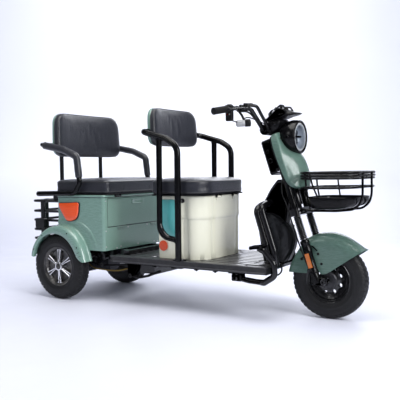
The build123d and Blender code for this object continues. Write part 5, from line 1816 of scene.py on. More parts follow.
# black backing behind the panel's rear edges, with the lock box on it
nb = Acc()
rg = []
for w, us, uf, h in [t for t in NTf if 186.0 <= t[0] <= 388.0]:
    q = []
    a = h - 3.6
    for u, y in ((us + 10, -a), (us - 3, -a), (us - 10, -a + 4), (us - 14, -a + 14), (us - 17, -58), (us - 17, 58), (us - 14, a - 14), (us - 10, a - 4), (us - 3, a), (us + 10, a), (us + 10, a - 3), (us - 2, a - 6), (us - 8, a - 16), (us - 12, 56), (us - 12, -56), (us - 8, -a + 16), (us - 2, -a + 6), (us + 10, -a + 3)):
        q.append(S(u, y, w))
    rg.append(q)
loft(nb, rg)
lk_ = []
for w, g in ((214, 8), (218, 2), (226, 0), (300, 0), (378, 0), (386, 2.5), (390, 9)):
    lk_.append([S(-44 + a, b, w) for a, b in [(x * (1 - g / 60), y * (1 - g / 110)) for x, y in rrect(35, 51, 12, 5)]])
loft(nb, lk_)
piece("nose_backing", nb, [M_black], body="steering", replaces=("ignition_box",), slot="black_plastic", angle=42)
kb_ = Acc()
rear_n = Vector(S(-1, 0, 0)) - Vector(S(0, 0, 0))
upv = (Vector(S(0, 0, 1)) - Vector(S(0, 0, 0)))
# key barrel and socket on the right flank of the box
for w, r1, r2 in ((330, 9.5, 6.2), (282, 12.5, 8.8)):
    lathe(kb_, [(0.01, 0.5), (r2, 0.5), (r2, 2.6), (r1 - 1.5, 3.6), (r1, 2.4), (r1, -1.0)], S(-53, -51, w), frame3=((1, 0, 0), (0, 0, 1), (0, -1, 0)), seg=28, mat=0, close=False)
obox(kb_, S(-53, -53.8, 330), (upv, rear_n, (0, 1, 0)), (8, 1.6, 1.0), 1)
for w in (232, 372):
    for u in (-70, -36):
        hexbolt(kb_, S(u, -51, w), (0, -1, 0), r=2.6, h=1.8, mat=1, washer=False, dome=True)
piece("nose_lock", kb_, [M_gloss, M_bolt], body="steering", slot="black_plastic", angle=40)

# ---- headlamp
HX, HZ = 1348.0, 877.0
ha = Acc()
ox = ((0, 1, 0), (0, 0, 1), (1, 0, 0))
bow = [(0.01, -106), (22, -105), (40, -100), (55, -90.5), (67.5, -76), (76.5, -58), (81.8, -40), (84.2, -24), (84.2, -12), (83.0, -3), (82.2, 1.5)]
lathe(ha, bow + [(82.4, 3.6), (82.0, 6.0), (79.8, 8.6), (75.8, 10.0), (72.0, 9.0), (70.0, 6.6), (69.2, 3.0), (67.8, -2)], (HX, 0, HZ), frame3=ox, seg=88, mat=0, close=False)
# white ring, its colour partly a painted reflection
lathe(ha, [(68.2, -2), (68.0, 3.0), (66.0, 5.6), (61.0, 6.0), (56.4, 3.6), (55.6, -3)], (HX, 0, HZ), frame3=ox, seg=80, mat=1, close=False)
# reflector bowl in a pale colour that is a painted reflection of its chrome, split low-beam lens below, high-beam
# above, cross bar
lathe(ha, [(56.0, -3), (53, -11), (47, -20), (38, -28), (25, -33.5), (0.01, -35)], (HX, 0, HZ), frame3=ox, seg=64, mat=2, close=False)
lathe(ha, [(0.01, -12), (13, -13.5), (21, -18), (24.5, -24), (26.5, -25), (28, -24), (28, -38)], (HX, 0, HZ - 22), frame3=ox, seg=48, mat=3, close=False)
lathe(ha, [(0.01, -20), (9, -21), (14, -25), (16, -30), (17.5, -38)], (HX, -24, HZ + 22), frame3=ox, seg=32, mat=3, close=False)
lathe(ha, [(0.01, -20), (9, -21), (14, -25), (16, -30), (17.5, -38)], (HX, 24, HZ + 22), frame3=ox, seg=32, mat=3, close=False)
rg = []
for x, k in ((-34, 1.0), (-14, 1.0), (-11.5, 0.8)):
    rg.append([(HX + x, y * (0.97 if k < 1 else 1), HZ + 3 + z * k) for y, z in rrect(55 if x > -20 else 44, 4.2, 3.5, 4)])
loft(ha, rg, mat=0)
piece("headlamp_body", ha, [M_gloss, M_ring_white_and_reflection, M_reflector_painted_reflection, M_lensdark], body="steering", replaces=("headlamp_bowl",), slot="black_plastic", angle=40)
hl = Acc()
lathe(hl, [(68.0, 1.0), (66.5, 4.4), (60, 7.6), (48, 11.2), (33, 13.8), (16, 15.2), (0.01, 15.6), (0.01, 13.6), (16, 13.2), (33, 11.8), (48, 9.2), (60, 5.6), (66.5, 2.4), (68.0, -0.5)], (HX, 0, HZ), frame3=ox, seg=72, mat=0, close=False)
piece("headlamp_glass", hl, [M_glass], body="steering", replaces=("headlamp_lens",), slot="lens_clear", angle=60)
hb_ = Acc()
for s_ in (1, -1):
    sweep(hb_, [S(14, s_ * 60, 392), (1296, s_ * 78, 866), (1322, s_ * 81, 877)], 3.0, seg=8, rx=7.5, mat=0)
    hexbolt(hb_, (1324, s_ * 80, 877), (0, s_, 0), r=5.2, h=5, mat=1)
piece("headlamp_bracket", hb_, [M_frame, M_bolt], body="steering", slot="black_frame", angle=40)

# ---- leg shield and column cover
ls = Acc()
lv = [(262.5, 1206, 1280), (276, 1204, 1290), (300, 1201, 1303), (326, 1197, 1315), (350, 1193, 1322), (374, 1189, 1324), (396, 1184, 1319.5), (420, 1179, 1309), (440, 1175, 1296), (460, 1170, 1279), (478, 1166, 1261), (492, 1163, 1240), (501, 1161, 1220), (505, 1161, 1204)]


def yp(x):
    return float(np.interp(x, [1140, 1235, 1290, 1345], [78, 72, 46, 27]))


rg = []
for z, xr, xf in lv:
    q = []
    xs = [xr, xr + 0.25 * (xf - xr), xr + 0.45 * (xf - xr), xr + 0.62 * (xf - xr), xr + 0.76 * (xf - xr), xr + 0.87 * (xf - xr), xf - 6]
    e = 0 if z < 478 else (z - 478) / 27.0 * 8
    for x in xs:
        q.append((x, -(yp(x) - e), z))
    q.append((xf - 1.5, -(yp(xf) - 4 - e), z))
    q += [(xf + 0.6, -15.5, z), (xf + 4.6, -12.5, z), (xf + 5.4, 0, z), (xf + 4.6, 12.5, z), (xf + 0.6, 15.5, z)]
    q.append((xf - 1.5, yp(xf) - 4 - e, z))
    for x in reversed(xs):
        q.append((x, yp(x) - e, z))
    # inner skin
    for x in (xs[0], xs[2], xs[4], xf - 10):
        q.append((x + (0 if x > xs[0] else 0), yp(x) - e - 4, z))
    for x in (xf - 10, xs[4], xs[2], xs[0]):
        q.append((x, -(yp(x) - e - 4), z))
    rg.append(q)
loft(ls, rg)
# raised side fairing with a step, and the seam of the two halves
for s_ in (1, -1):
    rr = []
    for z, xr, xf in lv[1:-2]:
        a0, a1 = xr + 0.10 * (xf - xr), xr + 0.58 * (xf - xr)
        zz = z
        rr.append([(a0, s_ * (yp(a0) - 0.4), zz), (a0 + 4, s_ * (yp(a0) + 2.6), zz), (a1 - 5, s_ * (yp(a1) + 2.6), zz), (a1, s_ * (yp(a1) - 0.4), zz)])
    loft(ls, rr, closed=True)
    lathe(ls, [(0.01, 0.6), (6.5, 0.6), (8.6, 2.2), (9.6, 0.8), (9.8, -2)], (1186, s_ * (yp(1186) + 2.4), 452), frame3=((1, 0, 0), (0, 0, 1), (0, s_, 0)), seg=28, mat=1, close=False)
    for x, z in ((1210, 292), (1222, 436)):
        hexbolt(ls, (x, s_ * (yp(x) + 2.4), z), (0, s_, 0), r=3.4, h=2.4, mat=1, washer=True, dome=True)
piece("leg_shield_shell", ls, [M_satin, M_black], replaces=("leg_shield",), slot="black_plastic", angle=40, bev=(1.0, 2, 40))
cc_ = Acc()
cv = [(1285, 657), (1262, 669), (1240, 669), (1222, 648), (1204, 625), (1188, 600), (1175, 573), (1169, 548), (1167, 526), (1164, 497), (1190, 494), (1226, 486), (1262, 462), (1284, 440), (1285, 500), (1287, 545), (1292, 585), (1310, 602)]
rg = []
cx_, cz_ = 1230.0, 560.0
for y, k in ((-21, 0.86), (-24.5, 0.92), (-26, 0.965), (-24.5, 0.995), (-20, 1.0), (20, 1.0), (24.5, 0.995), (26, 0.965), (24.5, 0.92), (21, 0.86)):
    rg.append([(cx_ + (x - cx_) * k, y, cz_ + (z - cz_) * k) for x, z in cv])
loft(cc_, rg)
piece("column_cover", cc_, [M_frame], slot="black_frame", angle=36)

# ---- basket
ba = Acc()
bx0, bx1, bh = 1408.0, 1684.0, 178.0


def bring(z, grow, r, rc=80.0, lift=0.0):
    o = outline_pts(bx0 - grow, bx1 + grow, bh + grow, rc + grow, rc + grow, n=12)
    path = [(a, b, z + lift * max(0.0, (a - 1500) / 184.0) ** 2) for a, b in o]
    sweep(ba, path, r, seg=10, closed=True)


bring(701.5, 0.0, 6.4)
bring(688.0, 2.0, 5.0)
bring(675.5, 0.0, 5.0)
bring(632, -3.0, 5.6, lift=3)
for s_ in (1, -1):
    sweep(ba, round_path([(1686.5, s_ * 66, 706), (1686.5, s_ * 66, 600), (1676, s_ * 66, 556), (1640, s_ * 66, 530), (1560, s_ * 66, 522), (1436, s_ * 66, 520.5)], [90, 60, 50, 60], 3), 5.6, seg=10, caps=True)
    sweep(ba, round_path([(1405, s_ * 70, 706), (1412, s_ * 70, 640), (1424, s_ * 70, 570), (1432, s_ * 70, 540)], [40, 30], 3), 4.8, seg=10)
    sweep(ba, round_path([(1474, s_ * (bh + 1), 706), (1486, s_ * (bh - 12), 640), (1502, s_ * (bh - 34), 586)], [40], 3), 4.4, seg=10)
    # carrier arms back to the fork crown
    sweep(ba, round_path([S(30, s_ * 50, 6), (1430, s_ * 52, 522), (1500, s_ * 56, 521), (1560, s_ * 60, 522)], [60, 40], 3), 5.6, seg=10)
    hexbolt(ba, S(31, s_ * 50, 2), (0, s_, 0), r=5.5, h=5)
    # stay from the crown to the rear wires
    sweep(ba, round_path([S(24, s_ * 40, 96), (1398, s_ * 46, 632), (1409, s_ * 60, 634)], [10], 3), 4.0, seg=8)
tr = Acc()
pan = []
for z, d, lf in ((587, 3.0, 0), (588.5, 1.5, 0), (587.5, -0.5, 0), (582, -0.2, 0), (566, -1.5, 2), (550, -6, 8), (539, -14, 14), (532.5, -26, 19), (529.5, -42, 22), (528.6, -64, 20)):
    pan.append([(a, b, z + lf * max(0.0, (a - 1546) / 122.0) ** 2) for a, b in offset_outline(outline_pts(1424, 1668, 148, 70, 70, n=9), d)])
inn_ = []
for z, d, lf in ((532.0, -64, 20), (533.0, -42, 22), (536.5, -28, 19), (542.5, -17.5, 14), (552.5, -9.5, 8), (567, -5.0, 2), (584, -3.6, 0)):
    inn_.append([(a, b, z + lf * max(0.0, (a - 1546) / 122.0) ** 2) for a, b in offset_outline(outline_pts(1424, 1668, 148, 70, 70, n=9), d)])
full_ = list(reversed(pan)) + list(reversed(inn_))
loft(tr, full_)
piece("basket_wires", ba, [M_wire], body="steering", replaces=("front_basket",), slot="black_frame", angle=60)
piece("basket_pan", tr, [M_wire], body="steering", slot="black_plastic", angle=46)

# ---- painted guard tubes round the front seat, and the rails of the rear armrests
gt = Acc()
for s_ in (1, -1):
    y = s_ * 270
    sweep(gt, round_path([(588, s_ * 219, 926), (588, y, 926), (740, y, 883), (806, y, 843), (803, y, 263)], [40, 110, 70], 3), 16.4, seg=24, caps=True, cap_round=3)
    sweep(gt, round_path([(694, y, 892), (688, y, 388), (800, y, 368.6)], [90], 3), 14.8, seg=22)
    # weld beads where the tubes meet, foot plate with bolts
    for c, d in (((692, y, 880), (0, 0, 1)), ((790, y, 370.5), (1, 0, -0.17))):
        dv_ = Vector(d).normalized()
        fx = Vector((0, 1, 0))
        lathe(gt, [(14.4, -3), (17.2, -2), (17.8, 0), (17.2, 2), (14.4, 3)], c, frame3=(tuple(fx), tuple(fx.cross(dv_)), tuple(dv_)), seg=28, mat=0, close=False)
    rr = []
    for z, k in ((262.6, 1.0), (268, 1.0), (270, 0.96)):
        rr.append([(803 + a * k, s_ * 262 + b * k, z) for a, b in rrect(36, 13, 6, 4)])
    loft(gt, rr, mat=0)
    for x in (776, 830):
        hexbolt(gt, (x, s_ * 262, 270), (0, 0, 1), r=5.2, h=5, mat=1)
    ya = s_ * 310
    sweep(gt, round_path([(-150, ya, 598), (138, ya, 604), (176, ya, 660), (172.4, ya, 690)], [36, 34], 3), 14.6, seg=22, caps=True, cap_round=6)
piece("guard_tubes", gt, [M_frame, M_bolt], slot="black_frame", angle=50)
# ------------------------------------------------------------------ front: fender, nose, headlamp, leg shield, basket, controls
def shell_rings(cols, half_fn, drop, thick=3.0, nsh=9, nside=7):
    """cols: [(C, E)] crest and edge points in x, z. Returns closed rings (outer skin, then inner skin) across the middle plane."""
    rings = []
    for i, (C, E) in enumerate(cols):
        u = i / (len(cols) - 1)
        C, E = np.array(C, float), np.array(E, float)
        L = max(1e-3, float(np.linalg.norm(E - C)))
        d = (E - C) / L
        h = half_fn(u)

        def half_prof(t_in):
            D = min(drop, L * 0.72)
            hh = h - t_in
            pts = []
            for k in range(nsh + 1):
                th = math.radians(90.0 * k / nsh)
                y = hh * math.sin(th) ** 0.80
                s_ = t_in * 1.0 + (D - t_in * 0.0) * (1 - math.cos(th) ** 0.95)
                pts.append((y, min(s_, L)))
            for k in range(1, nside + 1):
                f = k / nside
                s_ = D + t_in + (L - D - t_in) * f
                pts.append((hh + 1.2 * f, max(pts[-1][1], s_)))
            return pts
        o, n = half_prof(0.0), half_prof(thick)
        n[-1] = (n[-1][0], L)
        ring = []
        for sgn, seq in ((-1, list(reversed(o))), (1, o[1:])):
            for y, s_ in seq:
                p = C + d * s_
                ring.append((p[0], sgn * y, p[1]))
        for sgn, seq in ((1, list(reversed(n))), (-1, n[1:])):
            for y, s_ in seq:
                p = C + d * s_
                ring.append((p[0], sgn * y, p[1]))
        rings.append(ring)
    return rings


def resample(pts, n):
    P = [np.array(p, float) for p in spl(pts, 12)]
    L = [0.0]
    for a, b in zip(P, P[1:]):
        L.append(L[-1] + float(np.linalg.norm(b - a)))
    out = []
    for i in range(n):
        t = L[-1] * i / (n - 1)
        j = max(k for k in range(len(L)) if L[k] <= t + 1e-9)
        j = min(j, len(P) - 2)
        f = (t - L[j]) / max(1e-9, L[j + 1] - L[j])
        out.append(tuple(P[j] * (1 - f) + P[j + 1] * f))
    return out


NC = 34
Cc = resample([(1674, 338), (1652, 358), (1627, 376), (1579, 402), (1545, 412), (1514, 416), (1480, 414.5), (1460, 411), (1440, 405), (1418, 397), (1399, 387)], NC)
Ee = resample([(1676, 334), (1640, 310), (1600, 283), (1560, 256), (1526, 233), (1508, 223), (1492, 218.5), (1478, 221), (1466, 242), (1448, 280), (1431, 328), (1406, 372)], NC)
ff_ = Acc()
loft(ff_, shell_rings(list(zip(Cc, Ee)), lambda u: 50.0 + 9.0 * min(1.0, u / 0.14) ** 0.6, 60.0))
piece("front_fender_shell", ff_, [M_mint], body="steering", replaces=("front_fender",), slot="mint_paint", angle=48)
C2 = resample([(1372, 353), (1356, 335), (1336, 304), (1318, 272), (1306, 246), (1298, 217)], 18)
E2 = resample([(1388, 344), (1398, 318), (1406, 290), (1410, 262), (1411, 238), (1408, 218)], 18)
fr_ = Acc()
loft(fr_, shell_rings(list(zip(C2, E2)), lambda u: 56.0 + 1.5 * u, 30.0))
piece("front_fender_tail", fr_, [M_mint], body="steering", slot="mint_paint", angle=48)
fb = Acc()
for s_ in (1, -1):
    # stays from the fork legs to both fender parts, with grommets and screws
    sweep(fb, [(1424, s_ * 61.5, 352), (1440, s_ * 62, 350), (1464, s_ * 62.6, 330)], 2.6, seg=8, rx=6.0, mat=0, caps=True)
    sweep(fb, [(1421, s_ * 61.5, 300), (1402, s_ * 61.2, 298), (1386, s_ * 60.6, 292)], 2.6, seg=8, rx=6.0, mat=0, caps=True)
    for x, z in ((1467, 315), (1484, 268), (1382, 285)):
        lathe(fb, [(0.01, 3.0), (3.0, 3.0), (5.4, 2.4), (6.6, 0.8), (6.6, -1.5)], (x, s_ * 59.6, z), frame3=((1, 0, 0), (0, 0, 1), (0, s_, 0)), seg=20, mat=1, close=False)
piece("front_fender_stays", fb, [M_frame, M_black], body="steering", slot="black_frame", angle=40)

# ---- nose panel
NT = [(397, 16, 46, 80), (395, 12, 50, 87), (390, 8, 52, 93), (380, 6, 52, 98), (350, 4.5, 55, 102), (320, 4, 62, 104.5), (290, 5, 78, 106), (262, 6.5, 92, 106), (235, 8.5, 99, 105.5), (200, 11.5, 101.5, 104), (170, 14.5, 101, 101.5), (150, 17.5, 98, 98.5), (135, 22, 93, 94), (122, 30, 86, 87), (112, 40, 77, 75), (106, 50, 68, 56), (104.5, 55, 62, 40)]
NTf = spl([tuple(t) for t in NT], 3)


def nose_ring(w, us, uf, h, g):
    """open U in the steering frame: side facet, crease, front face bowed like a shallow arch"""
    uc = us + min(0.62 * (uf - us), 17 + 20 * max(0.0, min(1.0, (w - 150) / 220.0)))
    uf_, h_ = uf - g, h - g
    pts = [(us + (uc - 7 - us) * k / 3, -h_) for k in range(4)]
    # crease rounded over about 9 mm
    pts += [(uc - 4.0, -h_ + 0.3), (uc - 1.0, -h_ + 1.2), (uc + 1.6, -h_ + 2.9), (uc + 3.8, -h_ + 5.2)]
    u0, y0 = uc + 3.8, h_ - 5.2
    for k in range(1, 12):
        f = k / 11.0
        y = y0 * (1 - f)
        pts.append((uf_ - (uf_ - u0) * (1 - f) ** 1.85, -y))
    full = pts + [(u, -y) for u, y in reversed(pts[:-1])]
    return [S(u, y, w) for u, y in full]


na = Acc()
rg = []
for w, us, uf, h in NTf:
    o = nose_ring(w, us, uf, h, 0.0)
    i_ = nose_ring(w, us + 0.2, uf, h, 3.2)
    rg.append(o + list(reversed(i_)))
loft(na, rg)
piece("nose_panel_shell", na, [M_mint], body="steering", replaces=("nose_panel",), slot="mint_paint", angle=52)
# black backing behind the panel's rear edges, with the lock box on it
nb = Acc()
rg = []
for w, us, uf, h in [t for t in NTf if 186.0 <= t[0] <= 388.0]:
    q = []
    a = h - 3.6
    for u, y in ((us + 10, -a), (us - 3, -a), (us - 10, -a + 4), (us - 14, -a + 14), (us - 17, -58), (us - 17, 58), (us - 14, a - 14), (us - 10, a - 4), (us - 3, a), (us + 10, a), (us + 10, a - 3), (us - 2, a - 6), (us - 8, a - 16), (us - 12, 56), (us - 12, -56), (us - 8, -a + 16), (us - 2, -a + 6), (us + 10, -a + 3)):
        q.append(S(u, y, w))
    rg.append(q)
loft(nb, rg)
lk_ = []
for w, g in ((214, 8), (218, 2), (226, 0), (300, 0), (378, 0), (386, 2.5), (390, 9)):
    lk_.append([S(-44 + a, b, w) for a, b in [(x * (1 - g / 60), y * (1 - g / 110)) for x, y in rrect(35, 51, 12, 5)]])
loft(nb, lk_)
piece("nose_backing", nb, [M_black], body="steering", replaces=("ignition_box",), slot="black_plastic", angle=42)
kb_ = Acc()
rear_n = Vector(S(-1, 0, 0)) - Vector(S(0, 0, 0))
upv = (Vector(S(0, 0, 1)) - Vector(S(0, 0, 0)))
# key barrel and socket on the right flank of the box
for w, r1, r2 in ((330, 9.5, 6.2), (282, 12.5, 8.8)):
    lathe(kb_, [(0.01, 0.5), (r2, 0.5), (r2, 2.6), (r1 - 1.5, 3.6), (r1, 2.4), (r1, -1.0)], S(-53, -51, w), frame3=((1, 0, 0), (0, 0, 1), (0, -1, 0)), seg=28, mat=0, close=False)
obox(kb_, S(-53, -53.8, 330), (upv, rear_n, (0, 1, 0)), (8, 1.6, 1.0), 1)
for w in (232, 372):
    for u in (-70, -36):
        hexbolt(kb_, S(u, -51, w), (0, -1, 0), r=2.6, h=1.8, mat=1, washer=False, dome=True)
piece("nose_lock", kb_, [M_gloss, M_bolt], body="steering", slot="black_plastic", angle=40)

# ---- headlamp
HX, HZ = 1348.0, 877.0
ha = Acc()
ox = ((0, 1, 0), (0, 0, 1), (1, 0, 0))
bow = [(0.01, -106), (22, -105), (40, -100), (55, -90.5), (67.5, -76), (76.5, -58), (81.8, -40), (84.2, -24), (84.2, -12), (83.0, -3), (82.2, 1.5)]
lathe(ha, bow + [(82.4, 3.6), (82.0, 6.0), (79.8, 8.6), (75.8, 10.0), (72.0, 9.0), (70.0, 6.6), (69.2, 3.0), (67.8, -2)], (HX, 0, HZ), frame3=ox, seg=88, mat=0, close=False)
# white ring, its colour partly a painted reflection
lathe(ha, [(68.2, -2), (68.0, 3.0), (66.0, 5.6), (61.0, 6.0), (56.4, 3.6), (55.6, -3)], (HX, 0, HZ), frame3=ox, seg=80, mat=1, close=False)
# reflector bowl in a pale colour that is a painted reflection of its chrome, split low-beam lens below, high-beam
# above, cross bar
lathe(ha, [(56.0, -3), (53, -11), (47, -20), (38, -28), (25, -33.5), (0.01, -35)], (HX, 0, HZ), frame3=ox, seg=64, mat=2, close=False)
lathe(ha, [(0.01, -12), (13, -13.5), (21, -18), (24.5, -24), (26.5, -25), (28, -24), (28, -38)], (HX, 0, HZ - 22), frame3=ox, seg=48, mat=3, close=False)
lathe(ha, [(0.01, -20), (9, -21), (14, -25), (16, -30), (17.5, -38)], (HX, -24, HZ + 22), frame3=ox, seg=32, mat=3, close=False)
lathe(ha, [(0.01, -20), (9, -21), (14, -25), (16, -30), (17.5, -38)], (HX, 24, HZ + 22), frame3=ox, seg=32, mat=3, close=False)
rg = []
for x, k in ((-34, 1.0), (-14, 1.0), (-11.5, 0.8)):
    rg.append([(HX + x, y * (0.97 if k < 1 else 1), HZ + 3 + z * k) for y, z in rrect(55 if x > -20 else 44, 4.2, 3.5, 4)])
loft(ha, rg, mat=0)
piece("headlamp_body", ha, [M_gloss, M_ring_white_and_reflection, M_reflector_painted_reflection, M_lensdark], body="steering", replaces=("headlamp_bowl",), slot="black_plastic", angle=40)
hl = Acc()
lathe(hl, [(68.0, 1.0), (66.5, 4.4), (60, 7.6), (48, 11.2), (33, 13.8), (16, 15.2), (0.01, 15.6), (0.01, 13.6), (16, 13.2), (33, 11.8), (48, 9.2), (60, 5.6), (66.5, 2.4), (68.0, -0.5)], (HX, 0, HZ), frame3=ox, seg=72, mat=0, close=False)
piece("headlamp_glass", hl, [M_glass], body="steering", replaces=("headlamp_lens",), slot="lens_clear", angle=60)
hb_ = Acc()
for s_ in (1, -1):
    sweep(hb_, [S(14, s_ * 60, 392), (1296, s_ * 78, 866), (1322, s_ * 81, 877)], 3.0, seg=8, rx=7.5, mat=0)
    hexbolt(hb_, (1324, s_ * 80, 877), (0, s_, 0), r=5.2, h=5, mat=1)
piece("headlamp_bracket", hb_, [M_frame, M_bolt], body="steering", slot="black_frame", angle=40)

# ---- leg shield and column cover
ls = Acc()
lv = [(262.5, 1188, 1280), (276, 1184, 1290), (300, 1179, 1303), (326, 1174, 1315), (350, 1170, 1322), (374, 1167, 1324), (396, 1163, 1319.5), (420, 1160, 1309), (440, 1158, 1296), (460, 1156, 1279), (478, 1154, 1261), (492, 1152, 1240), (501, 1151, 1220), (505, 1151, 1204)]


def yp(x):
    return float(np.interp(x, [1140, 1235, 1290, 1345], [78, 72, 46, 27]))


rg = []
for z, xr, xf in lv:
    q = []
    xs = [xr, xr + 0.25 * (xf - xr), xr + 0.45 * (xf - xr), xr + 0.62 * (xf - xr), xr + 0.76 * (xf - xr), xr + 0.87 * (xf - xr), xf - 6]
    e = 0 if z < 478 else (z - 478) / 27.0 * 8
    for x in xs:
        q.append((x, -(yp(x) - e), z))
    q.append((xf - 1.5, -(yp(xf) - 4 - e), z))
    q += [(xf + 0.6, -15.5, z), (xf + 4.6, -12.5, z), (xf + 5.4, 0, z), (xf + 4.6, 12.5, z), (xf + 0.6, 15.5, z)]
    q.append((xf - 1.5, yp(xf) - 4 - e, z))
    for x in reversed(xs):
        q.append((x, yp(x) - e, z))
    # inner skin
    for x in (xs[0], xs[2], xs[4], xf - 10):
        q.append((x + (0 if x > xs[0] else 0), yp(x) - e - 4, z))
    for x in (xf - 10, xs[4], xs[2], xs[0]):
        q.append((x, -(yp(x) - e - 4), z))
    rg.append(q)
loft(ls, rg)
# raised side fairing with a step, and the seam of the two halves
for s_ in (1, -1):
    rr = []
    for z, xr, xf in lv[1:-2]:
        a0, a1 = xr + 0.10 * (xf - xr), xr + 0.58 * (xf - xr)
        zz = z
        rr.append([(a0, s_ * (yp(a0) - 0.4), zz), (a0 + 4, s_ * (yp(a0) + 2.6), zz), (a1 - 5, s_ * (yp(a1) + 2.6), zz), (a1, s_ * (yp(a1) - 0.4), zz)])
    loft(ls, rr, closed=True)
    lathe(ls, [(0.01, 0.6), (6.5, 0.6), (8.6, 2.2), (9.6, 0.8), (9.8, -2)], (1186, s_ * (yp(1186) + 2.4), 452), frame3=((1, 0, 0), (0, 0, 1), (0, s_, 0)), seg=28, mat=1, close=False)
    for x, z in ((1210, 292), (1222, 436)):
        hexbolt(ls, (x, s_ * (yp(x) + 2.4), z), (0, s_, 0), r=3.4, h=2.4, mat=1, washer=True, dome=True)
piece("leg_shield_shell", ls, [M_satin, M_black], replaces=("leg_shield",), slot="black_plastic", angle=40, bev=(1.0, 2, 40))
cc_ = Acc()
cv = [(1285, 657), (1262, 669), (1240, 669), (1222, 648), (1204, 625), (1188, 600), (1175, 573), (1169, 548), (1167, 526), (1164, 497), (1190, 494), (1226, 486), (1262, 462), (1284, 440), (1285, 500), (1287, 545), (1292, 585), (1310, 602)]
rg = []
cx_, cz_ = 1230.0, 560.0
for y, k in ((-21, 0.86), (-24.5, 0.92), (-26, 0.965), (-24.5, 0.995), (-20, 1.0), (20, 1.0), (24.5, 0.995), (26, 0.965), (24.5, 0.92), (21, 0.86)):
    rg.append([(cx_ + (x - cx_) * k, y, cz_ + (z - cz_) * k) for x, z in cv])
loft(cc_, rg)
piece("column_cover", cc_, [M_frame], slot="black_frame", angle=36)

# ---- basket
ba = Acc()
bx0, bx1, bh = 1408.0, 1684.0, 178.0


def bring(z, grow, r, rc=80.0, lift=0.0):
    o = outline_pts(bx0 - grow, bx1 + grow, bh + grow, rc + grow, rc + grow, n=12)
    path = [(a, b, z + lift * max(0.0, (a - 1500) / 184.0) ** 2) for a, b in o]
    sweep(ba, path, r, seg=10, closed=True)


bring(701.5, 0.0, 6.4)
bring(688.0, 2.0, 5.0)
bring(675.5, 0.0, 5.0)
bring(632, -3.0, 5.6, lift=3)
for s_ in (1, -1):
    sweep(ba, round_path([(1686.5, s_ * 66, 706), (1686.5, s_ * 66, 600), (1676, s_ * 66, 556), (1640, s_ * 66, 530), (1560, s_ * 66, 522), (1436, s_ * 66, 520.5)], [90, 60, 50, 60], 3), 5.6, seg=10, caps=True)
    sweep(ba, round_path([(1405, s_ * 70, 706), (1412, s_ * 70, 640), (1424, s_ * 70, 570), (1432, s_ * 70, 540)], [40, 30], 3), 4.8, seg=10)
    sweep(ba, round_path([(1474, s_ * (bh + 1), 706), (1486, s_ * (bh - 12), 640), (1502, s_ * (bh - 34), 586)], [40], 3), 4.4, seg=10)
    # carrier arms back to the fork crown
    sweep(ba, round_path([S(30, s_ * 50, 6), (1430, s_ * 52, 522), (1500, s_ * 56, 521), (1560, s_ * 60, 522)], [60, 40], 3), 5.6, seg=10)
    hexbolt(ba, S(31, s_ * 50, 2), (0, s_, 0), r=5.5, h=5)
    # stay from the crown to the rear wires
    sweep(ba, round_path([S(24, s_ * 40, 96), (1398, s_ * 46, 632), (1409, s_ * 60, 634)], [10], 3), 4.0, seg=8)
tr = Acc()
pan = []
for z, d, lf in ((587, 3.0, 0), (588.5, 1.5, 0), (587.5, -0.5, 0), (582, -0.2, 0), (566, -1.5, 2), (550, -6, 8), (539, -14, 14), (532.5, -26, 19), (529.5, -42, 22), (528.6, -64, 20)):
    pan.append([(a, b, z + lf * max(0.0, (a - 1546) / 122.0) ** 2) for a, b in offset_outline(outline_pts(1424, 1668, 148, 70, 70, n=9), d)])
inn_ = []
for z, d, lf in ((532.0, -64, 20), (533.0, -42, 22), (536.5, -28, 19), (542.5, -17.5, 14), (552.5, -9.5, 8), (567, -5.0, 2), (584, -3.6, 0)):
    inn_.append([(a, b, z + lf * max(0.0, (a - 1546) / 122.0) ** 2) for a, b in offset_outline(outline_pts(1424, 1668, 148, 70, 70, n=9), d)])
full_ = list(reversed(pan)) + list(reversed(inn_))
loft(tr, full_)
piece("basket_wires", ba, [M_wire], body="steering", replaces=("front_basket",), slot="black_frame", angle=60)
piece("basket_pan", tr, [M_wire], body="steering", slot="black_plastic", angle=46)

# ---- painted guard tubes round the front seat, and the rails of the rear armrests
gt = Acc()
for s_ in (1, -1):
    y = s_ * 270
    sweep(gt, round_path([(588, s_ * 219, 926), (588, y, 926), (740, y, 883), (806, y, 843), (803, y, 263)], [40, 110, 70], 3), 16.4, seg=24, caps=True, cap_round=3)
    sweep(gt, round_path([(694, y, 892), (688, y, 388), (800, y, 368.6)], [90], 3), 14.8, seg=22)
    # weld beads where the tubes meet, foot plate with bolts
    for c, d in (((692, y, 880), (0, 0, 1)), ((790, y, 370.5), (1, 0, -0.17))):
        dv_ = Vector(d).normalized()
        fx = Vector((0, 1, 0))
        lathe(gt, [(14.4, -3), (17.2, -2), (17.8, 0), (17.2, 2), (14.4, 3)], c, frame3=(tuple(fx), tuple(fx.cross(dv_)), tuple(dv_)), seg=28, mat=0, close=False)
    rr = []
    for z, k in ((262.6, 1.0), (268, 1.0), (270, 0.96)):
        rr.append([(803 + a * k, s_ * 262 + b * k, z) for a, b in rrect(36, 13, 6, 4)])
    loft(gt, rr, mat=0)
    for x in (776, 830):
        hexbolt(gt, (x, s_ * 262, 270), (0, 0, 1), r=5.2, h=5, mat=1)
    ya = s_ * 310
    sweep(gt, round_path([(-150, ya, 598), (138, ya, 604), (176, ya, 660), (172.4, ya, 690)], [36, 34], 3), 14.6, seg=22, caps=True, cap_round=6)
piece("guard_tubes", gt, [M_frame, M_bolt], slot="black_frame", angle=50)
# ------------------------------------------------------------------ small parts over the frame, deck and handlebar
lgv = Acc()
for s_ in (1, -1):
    sweep(lgv, round_path([(1262, s_ * 94, 246), (1260, s_ * 100, 310), (1188, s_ * 100, 528), (1192, s_ * 60, 545), (1200, s_ * 10, 556)], [160, 28, 60], 2.5), 17.0, seg=22)
piece("leg_guard_tubes", lgv, [M_wire], slot="black_frame", angle=60)

